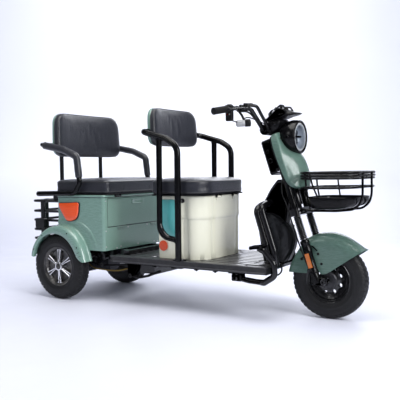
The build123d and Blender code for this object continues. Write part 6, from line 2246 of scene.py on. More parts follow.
# front lid: carrier plate under the cushion with its cream hinge tabs
pn = Acc()
q0 = offset_outline(outline_pts(606, 937, 240, 30, 100, n=10), 0.0)
rg = []
for z, d in ((592, -26), (592, -3), (592.6, -1.2), (594, -0.3), (597, -0.3), (598, -1.5), (598, -26)):
    rg.append([(a, b, z) for a, b in offset_outline(q0, d)])
rg.append([(a, b, 595.0) for a, b in offset_outline(q0, -27)])
loft(pn, rg, cap=False, closed=True)
loft(pn, [[(a, b, 597.5) for a, b in offset_outline(q0, -25)], [(772 + (a - 772) * 0.02, b * 0.02, 597.5) for a, b in q0]], closed=True)
for s_ in (1, -1):
    for d_ in (-1, 1):
        yc = s_ * 84 + d_ * 20.5
        rr = []
        for x0_, x1_, z_ in ((929.0, 938.0, 592.5), (929.0, 938.0, 585), (930.2, 936.9, 581.2), (932, 935, 579.8)):
            rr.append([(x0_, yc - 3.5, z_), (x1_, yc - 3.5, z_), (x1_, yc + 3.5, z_), (x0_, yc + 3.5, z_)])
        loft(pn, rr, mat=1)
piece("front_lid_plate", pn, [M_black, M_cream], body="front_seat_lid", replaces=("front_seat_pan",), slot="black_plastic", angle=40)

# ---- handlebar details
hbv = Acc()
for s_ in (1, -1):
    A_ = Vector((1062, s_ * 335, 997))
    B_ = Vector((1094, s_ * 215, 1018))
    C_ = Vector((1150, s_ * 130, 1018))
    d_ = (B_ - A_).normalized()
    e_ = (C_ - B_).normalized()
    # ribbed grip with end flange
    g0 = A_ - d_ * 3.0
    prof = [(0.01, 0), (10, 0), (14, 1.2), (17.2, 2.6), (17.6, 4.5), (16.6, 6.5)]
    t_ = 8.0
    while t_ < 84:
        prof += [(16.2, t_), (16.9, t_ + 0.8), (16.9, t_ + 2.2), (16.1, t_ + 3.0)]
        t_ += 4.0
    prof += [(16.4, 86), (18.6, 88), (19.2, 91), (18.6, 94), (16.5, 97), (11.2, 98)]
    up_ = Vector((0, 0, 1))
    sx_ = d_.cross(up_).normalized()
    uy_ = sx_.cross(d_).normalized()
    lathe(hbv, prof, tuple(g0), frame3=(tuple(sx_), tuple(uy_), tuple(d_)), seg=40, mat=0, close=False)
    # switch cluster round the bar with its control box below
    lathe(hbv, [(11, 97), (19.5, 97), (21.4, 99), (22.0, 104), (21.8, 116), (20.2, 119.5), (12, 120)], tuple(A_), frame3=(tuple(sx_), tuple(uy_), tuple(d_)), seg=40, mat=1, close=False)
    pod = A_ + d_ * 110
    rr = []
    for z_, k_ in ((pod.z - 14, 0.9), (pod.z - 18, 1.0), (pod.z - 52, 0.98), (pod.z - 57, 0.93), (pod.z - 60, 0.8)):
        rr.append([(pod.x - 2 + a * k_, pod.y + b * k_, z_) for a, b in rrect(18.5, 11, 5, 4)])
    loft(hbv, rr, mat=1)
    for i_, (dx, dz) in enumerate(((-7, -28), (5, -28), (-1, -42))):
        lathe(hbv, [(0.01, 2.6), (3.4, 2.6), (4.4, 1.6), (4.6, -1)], (pod.x - 2 + dx, pod.y + s_ * 11, pod.z + dz), frame3=((1, 0, 0), (0, 0, 1), (0, s_, 0)), seg=16, mat=(3, 2, 1)[i_], close=False)
    # lever bracket: split clamp, screws, reservoir, mirror boss collar
    m_ = B_ + e_ * 54
    lathe(hbv, [(11.5, -12), (17.5, -12), (18.8, -10), (18.8, 10), (17.5, 12), (11.5, 12)], tuple(m_), frame3=(tuple(e_.cross(up_).normalized()), (0, 0, 1), tuple(e_)), seg=32, mat=1, close=False)
    for k_ in (-6, 6):
        hexbolt(hbv, tuple(m_ + e_ * k_ + Vector((-17, 0, 4))), (-1, 0, 0.2), r=3.0, h=4, mat=2)
    lathe(hbv, [(9.2, -1), (11.4, 0), (11.4, 20), (10.4, 22), (6, 22.3), (5, 20), (0.01, 20)], (m_.x + 29, m_.y, 1019), frame3=((1, 0, 0), (0, 1, 0), (0, 0, 1)), seg=28, mat=1, close=False)
    sweep(hbv, round_path([(m_.x + 36, m_.y, m_.z - 2), (m_.x + 45, m_.y + s_ * 40, m_.z - 4), (m_.x + 42, m_.y + s_ * 90, m_.z - 8), (1128, s_ * 300, 1004)], [40, 60], 2.5), 4.2, seg=12, rx=7.4, mat=4, caps=True)
    lathe(hbv, [(0.01, 9.4), (5, 8.2), (8.4, 4), (9.3, 0), (8.4, -4), (5, -8.2), (0.01, -9.4)], (1128, s_ * 300, 1004), frame3=((0, 1, 0), (0, 0, 1), (1, 0, 0)), seg=24, mat=4, close=False)
    # brake hose and switch lead: loops from the bracket to the stem
    sweep(hbv, spl([(m_.x + 18, m_.y - s_ * 2, m_.z + 4), (m_.x + 26, m_.y - s_ * 14, m_.z + 19), (1158, s_ * 126, 1040), (1182, s_ * 98, 1006), (1204, s_ * 62, 950), (1214, s_ * 34, 890)], 8), 3.6, seg=10, mat=1)
    sweep(hbv, round_path([(1206, s_ * 30, 900), (1206, s_ * 48, 922), (1180, s_ * 124, 1030), (1134, s_ * 172, 1036)], [16, 26], 2.5), 8.2, seg=16, mat=4, caps=True)
    sweep(hbv, spl([(pod.x + 4, pod.y - s_ * 6, pod.z - 56), (pod.x + 34, pod.y - s_ * 40, pod.z - 66), (1140, s_ * 150, 975), (1170, s_ * 96, 960), (1198, s_ * 52, 935), (1208, s_ * 34, 888)], 8), 3.0, seg=10, mat=1)
    # taped loom along the bar
    sweep(hbv, spl([(1112, s_ * 196, 1004), (1140, s_ * 146, 1002), (1158, s_ * 112, 975), (1174, s_ * 62, 918)], 6), 4.6, seg=10, mat=1)
    for f_ in (0.25, 0.7):
        c_ = B_.lerp(C_, f_)
        lathe(hbv, [(11.4, -2.2), (12.6, -2.2), (12.6, 2.2), (11.4, 2.2)], tuple(c_), frame3=(tuple(e_.cross(up_).normalized()), (0, 0, 1), tuple(e_)), seg=24, mat=1, close=False)
piece("handlebar_fittings", hbv, [M_rubber, M_black, M_steel, M_red, M_frame], body="steering", replaces=("handlebar_grips", "handlebar_controls"), slot="rubber", angle=40)

M_pale = plastic("pale_housing", (0.62, 0.63, 0.64), rough=0.25, grain=0.03, coat=0.5, edge=0.1)
# horn on the right bar: pale body with a black cap, on a short strut
hn = Acc()
hax = Vector((0.84, 0.54, 0.05)).normalized()
hc = Vector((1134, -176, 946))
hx_ = hax.cross(Vector((0, 0, 1))).normalized()
hy_ = hx_.cross(hax).normalized()
fr3 = (tuple(hx_), tuple(hy_), tuple(hax))
lathe(hn, [(0.01, -36), (10, -36), (14.5, -33), (16.2, -28), (16.2, 4), (15.2, 8)], tuple(hc), frame3=fr3, seg=36, mat=0, close=False)
lathe(hn, [(15.0, 6), (17.6, 8), (18.4, 12), (18.4, 30), (16, 35), (8, 36.5), (0.01, 36.5)], tuple(hc), frame3=fr3, seg=36, mat=1, close=False)
for k_ in (-24, -14, -4):
    lathe(hn, [(16.0, k_ - 1.2), (16.9, k_), (16.0, k_ + 1.2)], tuple(hc), frame3=fr3, seg=36, mat=0, close=False)
sweep(hn, round_path([(1112, -186, 1008), (1128, -180, 984), (1138, -174, 958)], [12], 2), 6.0, seg=12, mat=1)
piece("bar_horn", hn, [M_pale, M_black], body="steering", slot="steel", angle=40)

# ---- display: wedge housing with glass, clamp cluster behind and below
dv = Acc()
dz = [(1188, 962), (1192, 957), (1200, 956), (1240, 966), (1282, 977), (1296, 985), (1304, 994), (1302, 1003), (1290, 1012), (1264, 1020.5), (1254, 1019), (1226, 992), (1196, 970)]
cxd, czd = 1250.0, 988.0
rg = []
for y, k in ((-55, 0.86), (-58.5, 0.93), (-59.5, 0.975), (-57, 1.0), (57, 1.0), (59.5, 0.975), (58.5, 0.93), (55, 0.86)):
    rg.append([(cxd + (x - cxd) * k, y, czd + (z - czd) * k) for x, z in dz])
loft(dv, rg, mat=0)
# visor reaching forward over the headlamp, drawn out to a thin tip
rg = []
for x, zb, zt, hw in ((1262, 976, 1006, 56), (1290, 979, 1005, 55), (1316, 982.5, 1002, 46), (1338, 986, 998.5, 34), (1352, 989, 996, 21), (1360, 990.8, 993.6, 9)):
    m_z = (zb + zt) / 2
    rg.append([(x, -hw, m_z - 1.5), (x, -hw * 0.86, zb), (x, 0, zb - 0.6), (x, hw * 0.86, zb), (x, hw, m_z - 1.5), (x, hw * 0.97, m_z + 1.5), (x, hw * 0.7, zt - 0.8), (x, 0, zt), (x, -hw * 0.7, zt - 0.8), (x, -hw * 0.97, m_z + 1.5)])
loft(dv, rg, mat=0)
# screen in its bezel on the sloping rear face
sp0, sp1 = Vector((1200, 0, 971.5)), Vector((1256, 0, 1020))
sd = (sp1 - sp0).normalized()
sn = Vector((-sd.z, 0, sd.x))
for hw, a0, a1, h0, mt in ((50, 0.06, 0.94, 1.6, 0), (45, 0.12, 0.88, 2.4, 1)):
    rr = []
    for k, h in ((1.0, -1.0), (1.0, h0 - 0.4), (0.975, h0), (0.02, h0)):
        L_ = (sp1 - sp0).length
        mid = sp0 + sd * (L_ * 0.5)
        rr.append([tuple(mid + sd * (a * k) + Vector((0, b * k, 0)) + sn * h) for a, b in rrect(L_ * (a1 - a0) / 2, hw, 6, 5)])
    loft(dv, rr, mat=mt)
# knobs and brackets on top
for x, y, h, r in ((1268, -34, 16, 8), (1262, 22, 13, 7), (1284, -8, 12, 9), (1250, -46, 11, 6)):
    lathe(dv, [(r * 1.15, -6), (r * 1.15, 2), (r, 4), (r, h - 2), (r * 0.8, h), (0.01, h + 0.4)], (x, y, 1013), frame3=((1, 0, 0), (0, 1, 0), (0, 0, 1)), seg=24, mat=0, close=False)
sweep(dv, round_path([(1292, -46, 1010), (1286, -46, 1030), (1266, -40, 1034), (1244, -34, 1022)], [8, 8], 2), 4.5, seg=10, mat=0)
sweep(dv, round_path([(1296, 40, 1010), (1284, 40, 1028), (1252, 36, 1030)], [8], 2), 4.5, seg=10, mat=0)
# stem clamp and packed bracketry between stem and headlamp
lathe(dv, [(13.4, -36), (24, -36), (26.5, -33), (26.5, -8), (24, -5), (24, 5), (26.5, 8), (26.5, 33), (24, 36), (13.4, 36)], (1174, 0, 919), frame3=((1, 0, 0), (0, 0, 1), (0, 1, 0)), seg=40, mat=0, close=False)
rr = []
for z, a0, a1, hw in ((900, 1186, 1240, 30), (912, 1184, 1256, 40), (930, 1186, 1268, 46), (948, 1190, 1276, 50), (958, 1196, 1280, 48), (966, 1204, 1272, 40)):
    rr.append([(a0, -hw * 0.6, z), (a0 + 8, -hw, z), (a1 - 12, -hw, z), (a1, -hw * 0.7, z), (a1, hw * 0.7, z), (a1 - 12, hw, z), (a0 + 8, hw, z), (a0, hw * 0.6, z)])
loft(dv, rr, mat=0)
for y, x, z in ((-50, 1236, 944), (-46, 1206, 926), (-50, 1262, 952), (50, 1236, 944), (46, 1206, 926)):
    hexbolt(dv, (x, y, z), (0, 1 if y > 0 else -1, 0), r=5, h=5, mat=2)
rnd_ = random.Random(21)
for i in range(9):
    y = rnd_.uniform(-42, 42)
    sweep(dv, spl([(1196 + rnd_.uniform(-6, 6), y, 905), (1222 + rnd_.uniform(-10, 14), y + rnd_.uniform(-16, 16), 918 + rnd_.uniform(-6, 14)), (1262 + rnd_.uniform(-8, 6), y * 0.9, 940 + rnd_.uniform(-10, 8)), (1288, y * 0.6, 925)], 6), rnd_.uniform(2.6, 4.4), seg=8, mat=0)
piece("display_and_clamp", dv, [M_black, M_glass, M_bolt], body="steering", replaces=("display_pod",), slot="black_plastic", angle=38)

# ---- fork: stanchions with springs and bright wipers, crown bolts, axle nuts
fv = Acc()
for s_ in (1, -1):
    y = s_ * 77.0
    ax3 = ((math.cos(math.radians(18)), 0, math.sin(math.radians(18))), (0, 1, 0), (-math.sin(math.radians(18)), 0, math.cos(math.radians(18))))
    o_ = S(8, y, 0)
    # lower leg: cast sleeve with rings, dust seal
    lathe(fv, [(13, -352), (20.6, -352), (21.6, -346), (21.6, -300), (20.4, -292), (20.4, -205), (21.8, -200), (21.8, -184), (20.4, -180), (20.4, -162), (23.0, -158), (23.4, -150), (22.4, -143), (18, -140), (14.5, -138)], o_, frame3=ax3, seg=36, mat=0, close=False)
    # bright stanchion then the coil above it
    lathe(fv, [(13.6, -140), (13.6, -18)], o_, frame3=ax3, seg=32, mat=2, close=False)
    pts = []
    n_ = 15 * 16
    for i in range(n_ + 1):
        w_ = -136 + 116 * i / n_
        t_ = 2 * math.pi * 15 * i / n_
        b_ = S(8 + 16.6 * math.cos(t_), y + 16.6 * math.sin(t_), w_)
        pts.append(b_)
    sweep(fv, pts, 2.7, seg=7, mat=0)
    lathe(fv, [(13.2, 18), (17.5, 19), (17.5, 60), (16, 64), (16, 150), (17.5, 154), (17.5, 212)], o_, frame3=ax3, seg=32, mat=0, close=False)
    a_ = S(8, y, -335)
    rr = []
    for yy, k in ((y - 11, 0.9), (y - 9, 1.0), (y + 9, 1.0), (y + 11, 0.9)):
        rr.append([(1490 + a * k, yy, 186 + b * k) for a, b in rrect(30, 19, 12, 5)])
    loft(fv, rr, mat=0)
    lathe(fv, [(0.01, 24), (5.6, 24), (6.4, 22.6), (6.4, 16)], (1505, s_ * 77, 186), frame3=((1, 0, 0), (0, 0, 1), (0, s_, 0)), seg=20, mat=2, close=False)
    hexbolt(fv, (1505, s_ * 88, 186), (0, s_, 0), r=12, h=9, mat=2)
    for w_ in (-8, 8):
        hexbolt(fv, S(30, s_ * 84, w_), (S(1, 0, 0)[0] - S(0, 0, 0)[0], 0, S(1, 0, 0)[2] - S(0, 0, 0)[2]), r=4.5, h=5, mat=1)
piece("fork_fittings", fv, [M_wire, M_steel, M_bolt], body="steering", slot="black_frame", angle=40)
# brake hose down the right leg
bh_ = Acc()
sweep(bh_, spl([(1262, -30, 880), (1300, -58, 780), S(-22, -88, 130), S(-20, -92, 40), S(-16, -98, -60), S(-12, -98, -180), S(0, -96, -280), (1478, -90, 232)], 8), 3.4, seg=10)
for w_ in (-60, -180):
    sweep(bh_, [S(-14, -98, w_ - 5), S(-13, -98, w_ + 5)], 5.0, seg=10)
piece("front_brake_hose", bh_, [M_rubber], body="steering", slot="rubber", angle=60)

M_cable = plastic("cable_ochre", (0.33, 0.22, 0.05), rough=0.45, grain=0.1, edge=0.0)
# ---- brake pedal: ribbed upper pad and the lower foot bar with its end block
pd = Acc()
rr = []
for z, k in ((346, 0.9), (349, 1.0), (357, 1.0), (360, 0.95)):
    rr.append([(1234 + a * k, -231 + b * k, z + 0.12 * (a * k)) for a, b in rrect(34, 34, 9, 5)])
loft(pd, rr, mat=0)
for i in range(6):
    x = 1208 + i * 10.5
    zz = 360 + 0.12 * (x - 1234)
    block(pd, x - 2.4, x + 2.4, -260, -202, zz - 1.0, zz + 2.6, 0)
sweep(pd, round_path([(1262, -232, 187), (1190, -232, 190), (1122, -232, 200)], [60], 3), 13.5, seg=18, mat=1, caps=True, cap_round=4)
rr = []
for x, k in ((1098, 0.8), (1101, 0.97), (1104, 1.0), (1146, 1.0), (1150, 0.95), (1153, 0.8)):
    rr.append([(x, -228 + a * k, 203 + b * k) for a, b in rrect(24, 19, 7, 4)])
loft(pd, rr, mat=0)
lathe(pd, [(0.01, 8), (8, 8), (11, 5.5), (12, 0), (12, -4)], (1122, -252, 200), frame3=((1, 0, 0), (0, 0, 1), (0, -1, 0)), seg=24, mat=2, close=False)
sweep(pd, round_path([(1240, -232, 348), (1266, -232, 337), (1317, -232, 281), (1322, -232, 222), (1266, -232, 186), (1252, -232, 187)], [16, 26, 26, 10], 3), 15.0, seg=20, mat=1, caps=True, cap_round=4)
piece("pedal_pads", pd, [M_black, M_frame, M_bolt], slot="black_plastic", angle=40)

# ---- under the floor: spring shackles, stand bracket, cable runs
uv = Acc()
for s_ in (1, -1):
    for x in (-256, 256):
        hexbolt(uv, (x, s_ * 232, 200 if abs(x) < 1 else 203), (0, s_, 0), r=8, h=7, mat=1)
# stand bracket behind the step: folded plates with a cross tube
for y in (-214, -186):
    rr = []
    for yy_ in (y - 2, y + 2):
        rr.append([(424, yy_, 231), (498, yy_, 231), (494, yy_, 196), (470, yy_, 158), (446, yy_, 140), (432, yy_, 144), (428, yy_, 176)])
    loft(uv, rr, mat=0)
sweep(uv, [(448, -222, 154), (448, -178, 154)], 8.0, seg=16, mat=0, caps=True)
hexbolt(uv, (448, -222, 154), (0, -1, 0), r=8.5, h=6, mat=1)
sweep(uv, round_path([(448, -206, 154), (500, -206, 146), (560, -206, 160), (640, -206, 190)], [40, 40], 3), 7.0, seg=12, mat=0, caps=True)
# motor and brake cables
sweep(uv, spl([(60, -150, 206), (150, -188, 176), (250, -204, 170), (345, -206, 172), (430, -196, 190), (520, -120, 205)], 8), 4.0, seg=10, mat=2)
sweep(uv, spl([(40, -140, 214), (140, -170, 196), (240, -180, 192), (360, -170, 200), (500, -100, 208)], 8), 5.2, seg=10, mat=0)
sweep(uv, spl([(600, -90, 196), (760, -120, 214), (900, -150, 222), (1060, -190, 224), (1120, -222, 214)], 8), 3.6, seg=10, mat=0)
# hose loop at the foot of the leg guard
sweep(uv, spl([(1250, -60, 262), (1276, -64, 246), (1274, -62, 214), (1244, -56, 194), (1200, -50, 204), (1160, -46, 226)], 8), 4.2, seg=10, mat=0)
for x in (640, 760, 900, 1010, 1130):
    block(uv, x - 9, x + 9, -262, -244, 222, 230.5, 0)
    hexbolt(uv, (x, -253, 222), (0, 0, -1), r=5, h=5, mat=1)
piece("under_floor_fittings", uv, [M_black, M_bolt, M_cable], slot="black_frame", angle=40)
# ------------------------------------------------------------------ small parts over the frame, deck and handlebar
lgv = Acc()
for s_ in (1, -1):
    sweep(lgv, round_path([(1236, s_ * 94, 246), (1214, s_ * 100, 350), (1160, s_ * 100, 520), (1168, s_ * 60, 541), (1190, s_ * 10, 556)], [120, 34, 70], 2.5), 17.5, seg=22)
piece("leg_guard_tubes", lgv, [M_wire], slot="black_frame", angle=60)

# front lid: carrier plate under the cushion with its cream hinge tabs
pn = Acc()
q0 = offset_outline(outline_pts(606, 937, 240, 30, 100, n=10), 0.0)
rg = []
for z, d in ((592, -26), (592, -3), (592.6, -1.2), (594, -0.3), (597, -0.3), (598, -1.5), (598, -26)):
    rg.append([(a, b, z) for a, b in offset_outline(q0, d)])
rg.append([(a, b, 595.0) for a, b in offset_outline(q0, -27)])
loft(pn, rg, cap=False, closed=True)
loft(pn, [[(a, b, 597.5) for a, b in offset_outline(q0, -25)], [(772 + (a - 772) * 0.02, b * 0.02, 597.5) for a, b in q0]], closed=True)
for s_ in (1, -1):
    for d_ in (-1, 1):
        yc = s_ * 84 + d_ * 20.5
        rr = []
        for x0_, x1_, z_ in ((929.0, 938.0, 592.5), (929.0, 938.0, 585), (930.2, 936.9, 581.2), (932, 935, 579.8)):
            rr.append([(x0_, yc - 3.5, z_), (x1_, yc - 3.5, z_), (x1_, yc + 3.5, z_), (x0_, yc + 3.5, z_)])
        loft(pn, rr, mat=1)
piece("front_lid_plate", pn, [M_black, M_cream], body="front_seat_lid", replaces=("front_seat_pan",), slot="black_plastic", angle=40)

# ---- handlebar details
hbv = Acc()
for s_ in (1, -1):
    A_ = Vector((1062, s_ * 335, 997))
    B_ = Vector((1094, s_ * 215, 1018))
    C_ = Vector((1150, s_ * 130, 1018))
    d_ = (B_ - A_).normalized()
    e_ = (C_ - B_).normalized()
    # ribbed grip with end flange
    g0 = A_ - d_ * 3.0
    prof = [(0.01, 0), (10, 0), (14, 1.2), (17.2, 2.6), (17.6, 4.5), (16.6, 6.5)]
    t_ = 8.0
    while t_ < 84:
        prof += [(16.2, t_), (16.9, t_ + 0.8), (16.9, t_ + 2.2), (16.1, t_ + 3.0)]
        t_ += 4.0
    prof += [(16.4, 86), (18.6, 88), (19.2, 91), (18.6, 94), (16.5, 97), (11.2, 98)]
    up_ = Vector((0, 0, 1))
    sx_ = d_.cross(up_).normalized()
    uy_ = sx_.cross(d_).normalized()
    lathe(hbv, prof, tuple(g0), frame3=(tuple(sx_), tuple(uy_), tuple(d_)), seg=40, mat=0, close=False)
    # switch cluster round the bar with its control box below
    lathe(hbv, [(11, 97), (19.5, 97), (21.4, 99), (22.0, 104), (21.8, 116), (20.2, 119.5), (12, 120)], tuple(A_), frame3=(tuple(sx_), tuple(uy_), tuple(d_)), seg=40, mat=1, close=False)
    pod = A_ + d_ * 110
    rr = []
    for z_, k_ in ((pod.z - 14, 0.9), (pod.z - 18, 1.0), (pod.z - 52, 0.98), (pod.z - 57, 0.93), (pod.z - 60, 0.8)):
        rr.append([(pod.x - 2 + a * k_, pod.y + b * k_, z_) for a, b in rrect(18.5, 11, 5, 4)])
    loft(hbv, rr, mat=1)
    for i_, (dx, dz) in enumerate(((-7, -28), (5, -28), (-1, -42))):
        lathe(hbv, [(0.01, 2.6), (3.4, 2.6), (4.4, 1.6), (4.6, -1)], (pod.x - 2 + dx, pod.y + s_ * 11, pod.z + dz), frame3=((1, 0, 0), (0, 0, 1), (0, s_, 0)), seg=16, mat=(3, 2, 1)[i_], close=False)
    # lever bracket: split clamp, screws, reservoir, mirror boss collar
    m_ = B_ + e_ * 54
    lathe(hbv, [(11.5, -12), (17.5, -12), (18.8, -10), (18.8, 10), (17.5, 12), (11.5, 12)], tuple(m_), frame3=(tuple(e_.cross(up_).normalized()), (0, 0, 1), tuple(e_)), seg=32, mat=1, close=False)
    for k_ in (-6, 6):
        hexbolt(hbv, tuple(m_ + e_ * k_ + Vector((-17, 0, 4))), (-1, 0, 0.2), r=3.0, h=4, mat=2)
    lathe(hbv, [(9.2, -1), (11.4, 0), (11.4, 20), (10.4, 22), (6, 22.3), (5, 20), (0.01, 20)], (m_.x + 29, m_.y, 1019), frame3=((1, 0, 0), (0, 1, 0), (0, 0, 1)), seg=28, mat=1, close=False)
    sweep(hbv, round_path([(m_.x + 36, m_.y, m_.z - 2), (m_.x + 45, m_.y + s_ * 40, m_.z - 4), (m_.x + 42, m_.y + s_ * 90, m_.z - 8), (1128, s_ * 300, 1004)], [40, 60], 2.5), 4.2, seg=12, rx=7.4, mat=4, caps=True)
    lathe(hbv, [(0.01, 9.4), (5, 8.2), (8.4, 4), (9.3, 0), (8.4, -4), (5, -8.2), (0.01, -9.4)], (1128, s_ * 300, 1004), frame3=((0, 1, 0), (0, 0, 1), (1, 0, 0)), seg=24, mat=4, close=False)
    # brake hose and switch lead: loops from the bracket to the stem
    sweep(hbv, spl([(m_.x + 18, m_.y - s_ * 2, m_.z + 4), (m_.x + 26, m_.y - s_ * 14, m_.z + 19), (1158, s_ * 126, 1040), (1182, s_ * 98, 1006), (1204, s_ * 62, 950), (1214, s_ * 34, 890)], 8), 3.6, seg=10, mat=1)
    sweep(hbv, round_path([(1206, s_ * 30, 900), (1206, s_ * 48, 922), (1180, s_ * 124, 1030), (1134, s_ * 172, 1036)], [16, 26], 2.5), 8.2, seg=16, mat=4, caps=True)
    sweep(hbv, spl([(pod.x + 4, pod.y - s_ * 6, pod.z - 56), (pod.x + 34, pod.y - s_ * 40, pod.z - 66), (1140, s_ * 150, 975), (1170, s_ * 96, 960), (1198, s_ * 52, 935), (1208, s_ * 34, 888)], 8), 3.0, seg=10, mat=1)
    # taped loom along the bar
    sweep(hbv, spl([(1112, s_ * 196, 1004), (1140, s_ * 146, 1002), (1158, s_ * 112, 975), (1174, s_ * 62, 918)], 6), 4.6, seg=10, mat=1)
    for f_ in (0.25, 0.7):
        c_ = B_.lerp(C_, f_)
        lathe(hbv, [(11.4, -2.2), (12.6, -2.2), (12.6, 2.2), (11.4, 2.2)], tuple(c_), frame3=(tuple(e_.cross(up_).normalized()), (0, 0, 1), tuple(e_)), seg=24, mat=1, close=False)
piece("handlebar_fittings", hbv, [M_rubber, M_black, M_steel, M_red, M_frame], body="steering", replaces=("handlebar_grips", "handlebar_controls"), slot="rubber", angle=40)

M_pale = plastic("pale_housing", (0.62, 0.63, 0.64), rough=0.25, grain=0.03, coat=0.5, edge=0.1)
# horn on the right bar: pale body with a black cap, on a short strut
hn = Acc()
hax = Vector((0.84, 0.54, 0.05)).normalized()
hc = Vector((1134, -176, 946))
hx_ = hax.cross(Vector((0, 0, 1))).normalized()
hy_ = hx_.cross(hax).normalized()
fr3 = (tuple(hx_), tuple(hy_), tuple(hax))
lathe(hn, [(0.01, -36), (10, -36), (14.5, -33), (16.2, -28), (16.2, 4), (15.2, 8)], tuple(hc), frame3=fr3, seg=36, mat=0, close=False)
lathe(hn, [(15.0, 6), (17.6, 8), (18.4, 12), (18.4, 30), (16, 35), (8, 36.5), (0.01, 36.5)], tuple(hc), frame3=fr3, seg=36, mat=1, close=False)
for k_ in (-24, -14, -4):
    lathe(hn, [(16.0, k_ - 1.2), (16.9, k_), (16.0, k_ + 1.2)], tuple(hc), frame3=fr3, seg=36, mat=0, close=False)
sweep(hn, round_path([(1112, -186, 1008), (1128, -180, 984), (1138, -174, 958)], [12], 2), 6.0, seg=12, mat=1)
piece("bar_horn", hn, [M_pale, M_black], body="steering", slot="steel", angle=40)

# ---- display: wedge housing with glass, clamp cluster behind and below
dv = Acc()
dz = [(1188, 962), (1192, 957), (1200, 956), (1240, 966), (1282, 977), (1296, 985), (1304, 994), (1302, 1003), (1290, 1012), (1264, 1020.5), (1254, 1019), (1226, 992), (1196, 970)]
cxd, czd = 1250.0, 988.0
rg = []
for y, k in ((-55, 0.86), (-58.5, 0.93), (-59.5, 0.975), (-57, 1.0), (57, 1.0), (59.5, 0.975), (58.5, 0.93), (55, 0.86)):
    rg.append([(cxd + (x - cxd) * k, y, czd + (z - czd) * k) for x, z in dz])
loft(dv, rg, mat=0)
# visor reaching forward over the headlamp, drawn out to a thin tip
rg = []
for x, zb, zt, hw in ((1262, 976, 1006, 56), (1290, 979, 1005, 55), (1316, 982.5, 1002, 46), (1338, 986, 998.5, 34), (1352, 989, 996, 21), (1360, 990.8, 993.6, 9)):
    m_z = (zb + zt) / 2
    rg.append([(x, -hw, m_z - 1.5), (x, -hw * 0.86, zb), (x, 0, zb - 0.6), (x, hw * 0.86, zb), (x, hw, m_z - 1.5), (x, hw * 0.97, m_z + 1.5), (x, hw * 0.7, zt - 0.8), (x, 0, zt), (x, -hw * 0.7, zt - 0.8), (x, -hw * 0.97, m_z + 1.5)])
loft(dv, rg, mat=0)
# screen in its bezel on the sloping rear face
sp0, sp1 = Vector((1200, 0, 971.5)), Vector((1256, 0, 1020))
sd = (sp1 - sp0).normalized()
sn = Vector((-sd.z, 0, sd.x))
for hw, a0, a1, h0, mt in ((50, 0.06, 0.94, 1.6, 0), (45, 0.12, 0.88, 2.4, 1)):
    rr = []
    for k, h in ((1.0, -1.0), (1.0, h0 - 0.4), (0.975, h0), (0.02, h0)):
        L_ = (sp1 - sp0).length
        mid = sp0 + sd * (L_ * 0.5)
        rr.append([tuple(mid + sd * (a * k) + Vector((0, b * k, 0)) + sn * h) for a, b in rrect(L_ * (a1 - a0) / 2, hw, 6, 5)])
    loft(dv, rr, mat=mt)
# knobs and brackets on top
for x, y, h, r in ((1268, -34, 16, 8), (1262, 22, 13, 7), (1284, -8, 12, 9), (1250, -46, 11, 6)):
    lathe(dv, [(r * 1.15, -6), (r * 1.15, 2), (r, 4), (r, h - 2), (r * 0.8, h), (0.01, h + 0.4)], (x, y, 1013), frame3=((1, 0, 0), (0, 1, 0), (0, 0, 1)), seg=24, mat=0, close=False)
sweep(dv, round_path([(1292, -46, 1010), (1286, -46, 1030), (1266, -40, 1034), (1244, -34, 1022)], [8, 8], 2), 4.5, seg=10, mat=0)
sweep(dv, round_path([(1296, 40, 1010), (1284, 40, 1028), (1252, 36, 1030)], [8], 2), 4.5, seg=10, mat=0)
# stem clamp and packed bracketry between stem and headlamp
lathe(dv, [(13.4, -36), (24, -36), (26.5, -33), (26.5, -8), (24, -5), (24, 5), (26.5, 8), (26.5, 33), (24, 36), (13.4, 36)], (1174, 0, 919), frame3=((1, 0, 0), (0, 0, 1), (0, 1, 0)), seg=40, mat=0, close=False)
rr = []
for z, a0, a1, hw in ((900, 1186, 1240, 30), (912, 1184, 1256, 40), (930, 1186, 1268, 46), (948, 1190, 1276, 50), (958, 1196, 1280, 48), (966, 1204, 1272, 40)):
    rr.append([(a0, -hw * 0.6, z), (a0 + 8, -hw, z), (a1 - 12, -hw, z), (a1, -hw * 0.7, z), (a1, hw * 0.7, z), (a1 - 12, hw, z), (a0 + 8, hw, z), (a0, hw * 0.6, z)])
loft(dv, rr, mat=0)
for y, x, z in ((-50, 1236, 944), (-46, 1206, 926), (-50, 1262, 952), (50, 1236, 944), (46, 1206, 926)):
    hexbolt(dv, (x, y, z), (0, 1 if y > 0 else -1, 0), r=5, h=5, mat=2)
rnd_ = random.Random(21)
for i in range(9):
    y = rnd_.uniform(-42, 42)
    sweep(dv, spl([(1196 + rnd_.uniform(-6, 6), y, 905), (1222 + rnd_.uniform(-10, 14), y + rnd_.uniform(-16, 16), 918 + rnd_.uniform(-6, 14)), (1262 + rnd_.uniform(-8, 6), y * 0.9, 940 + rnd_.uniform(-10, 8)), (1288, y * 0.6, 925)], 6), rnd_.uniform(2.6, 4.4), seg=8, mat=0)
piece("display_and_clamp", dv, [M_black, M_glass, M_bolt], body="steering", replaces=("display_pod",), slot="black_plastic", angle=38)

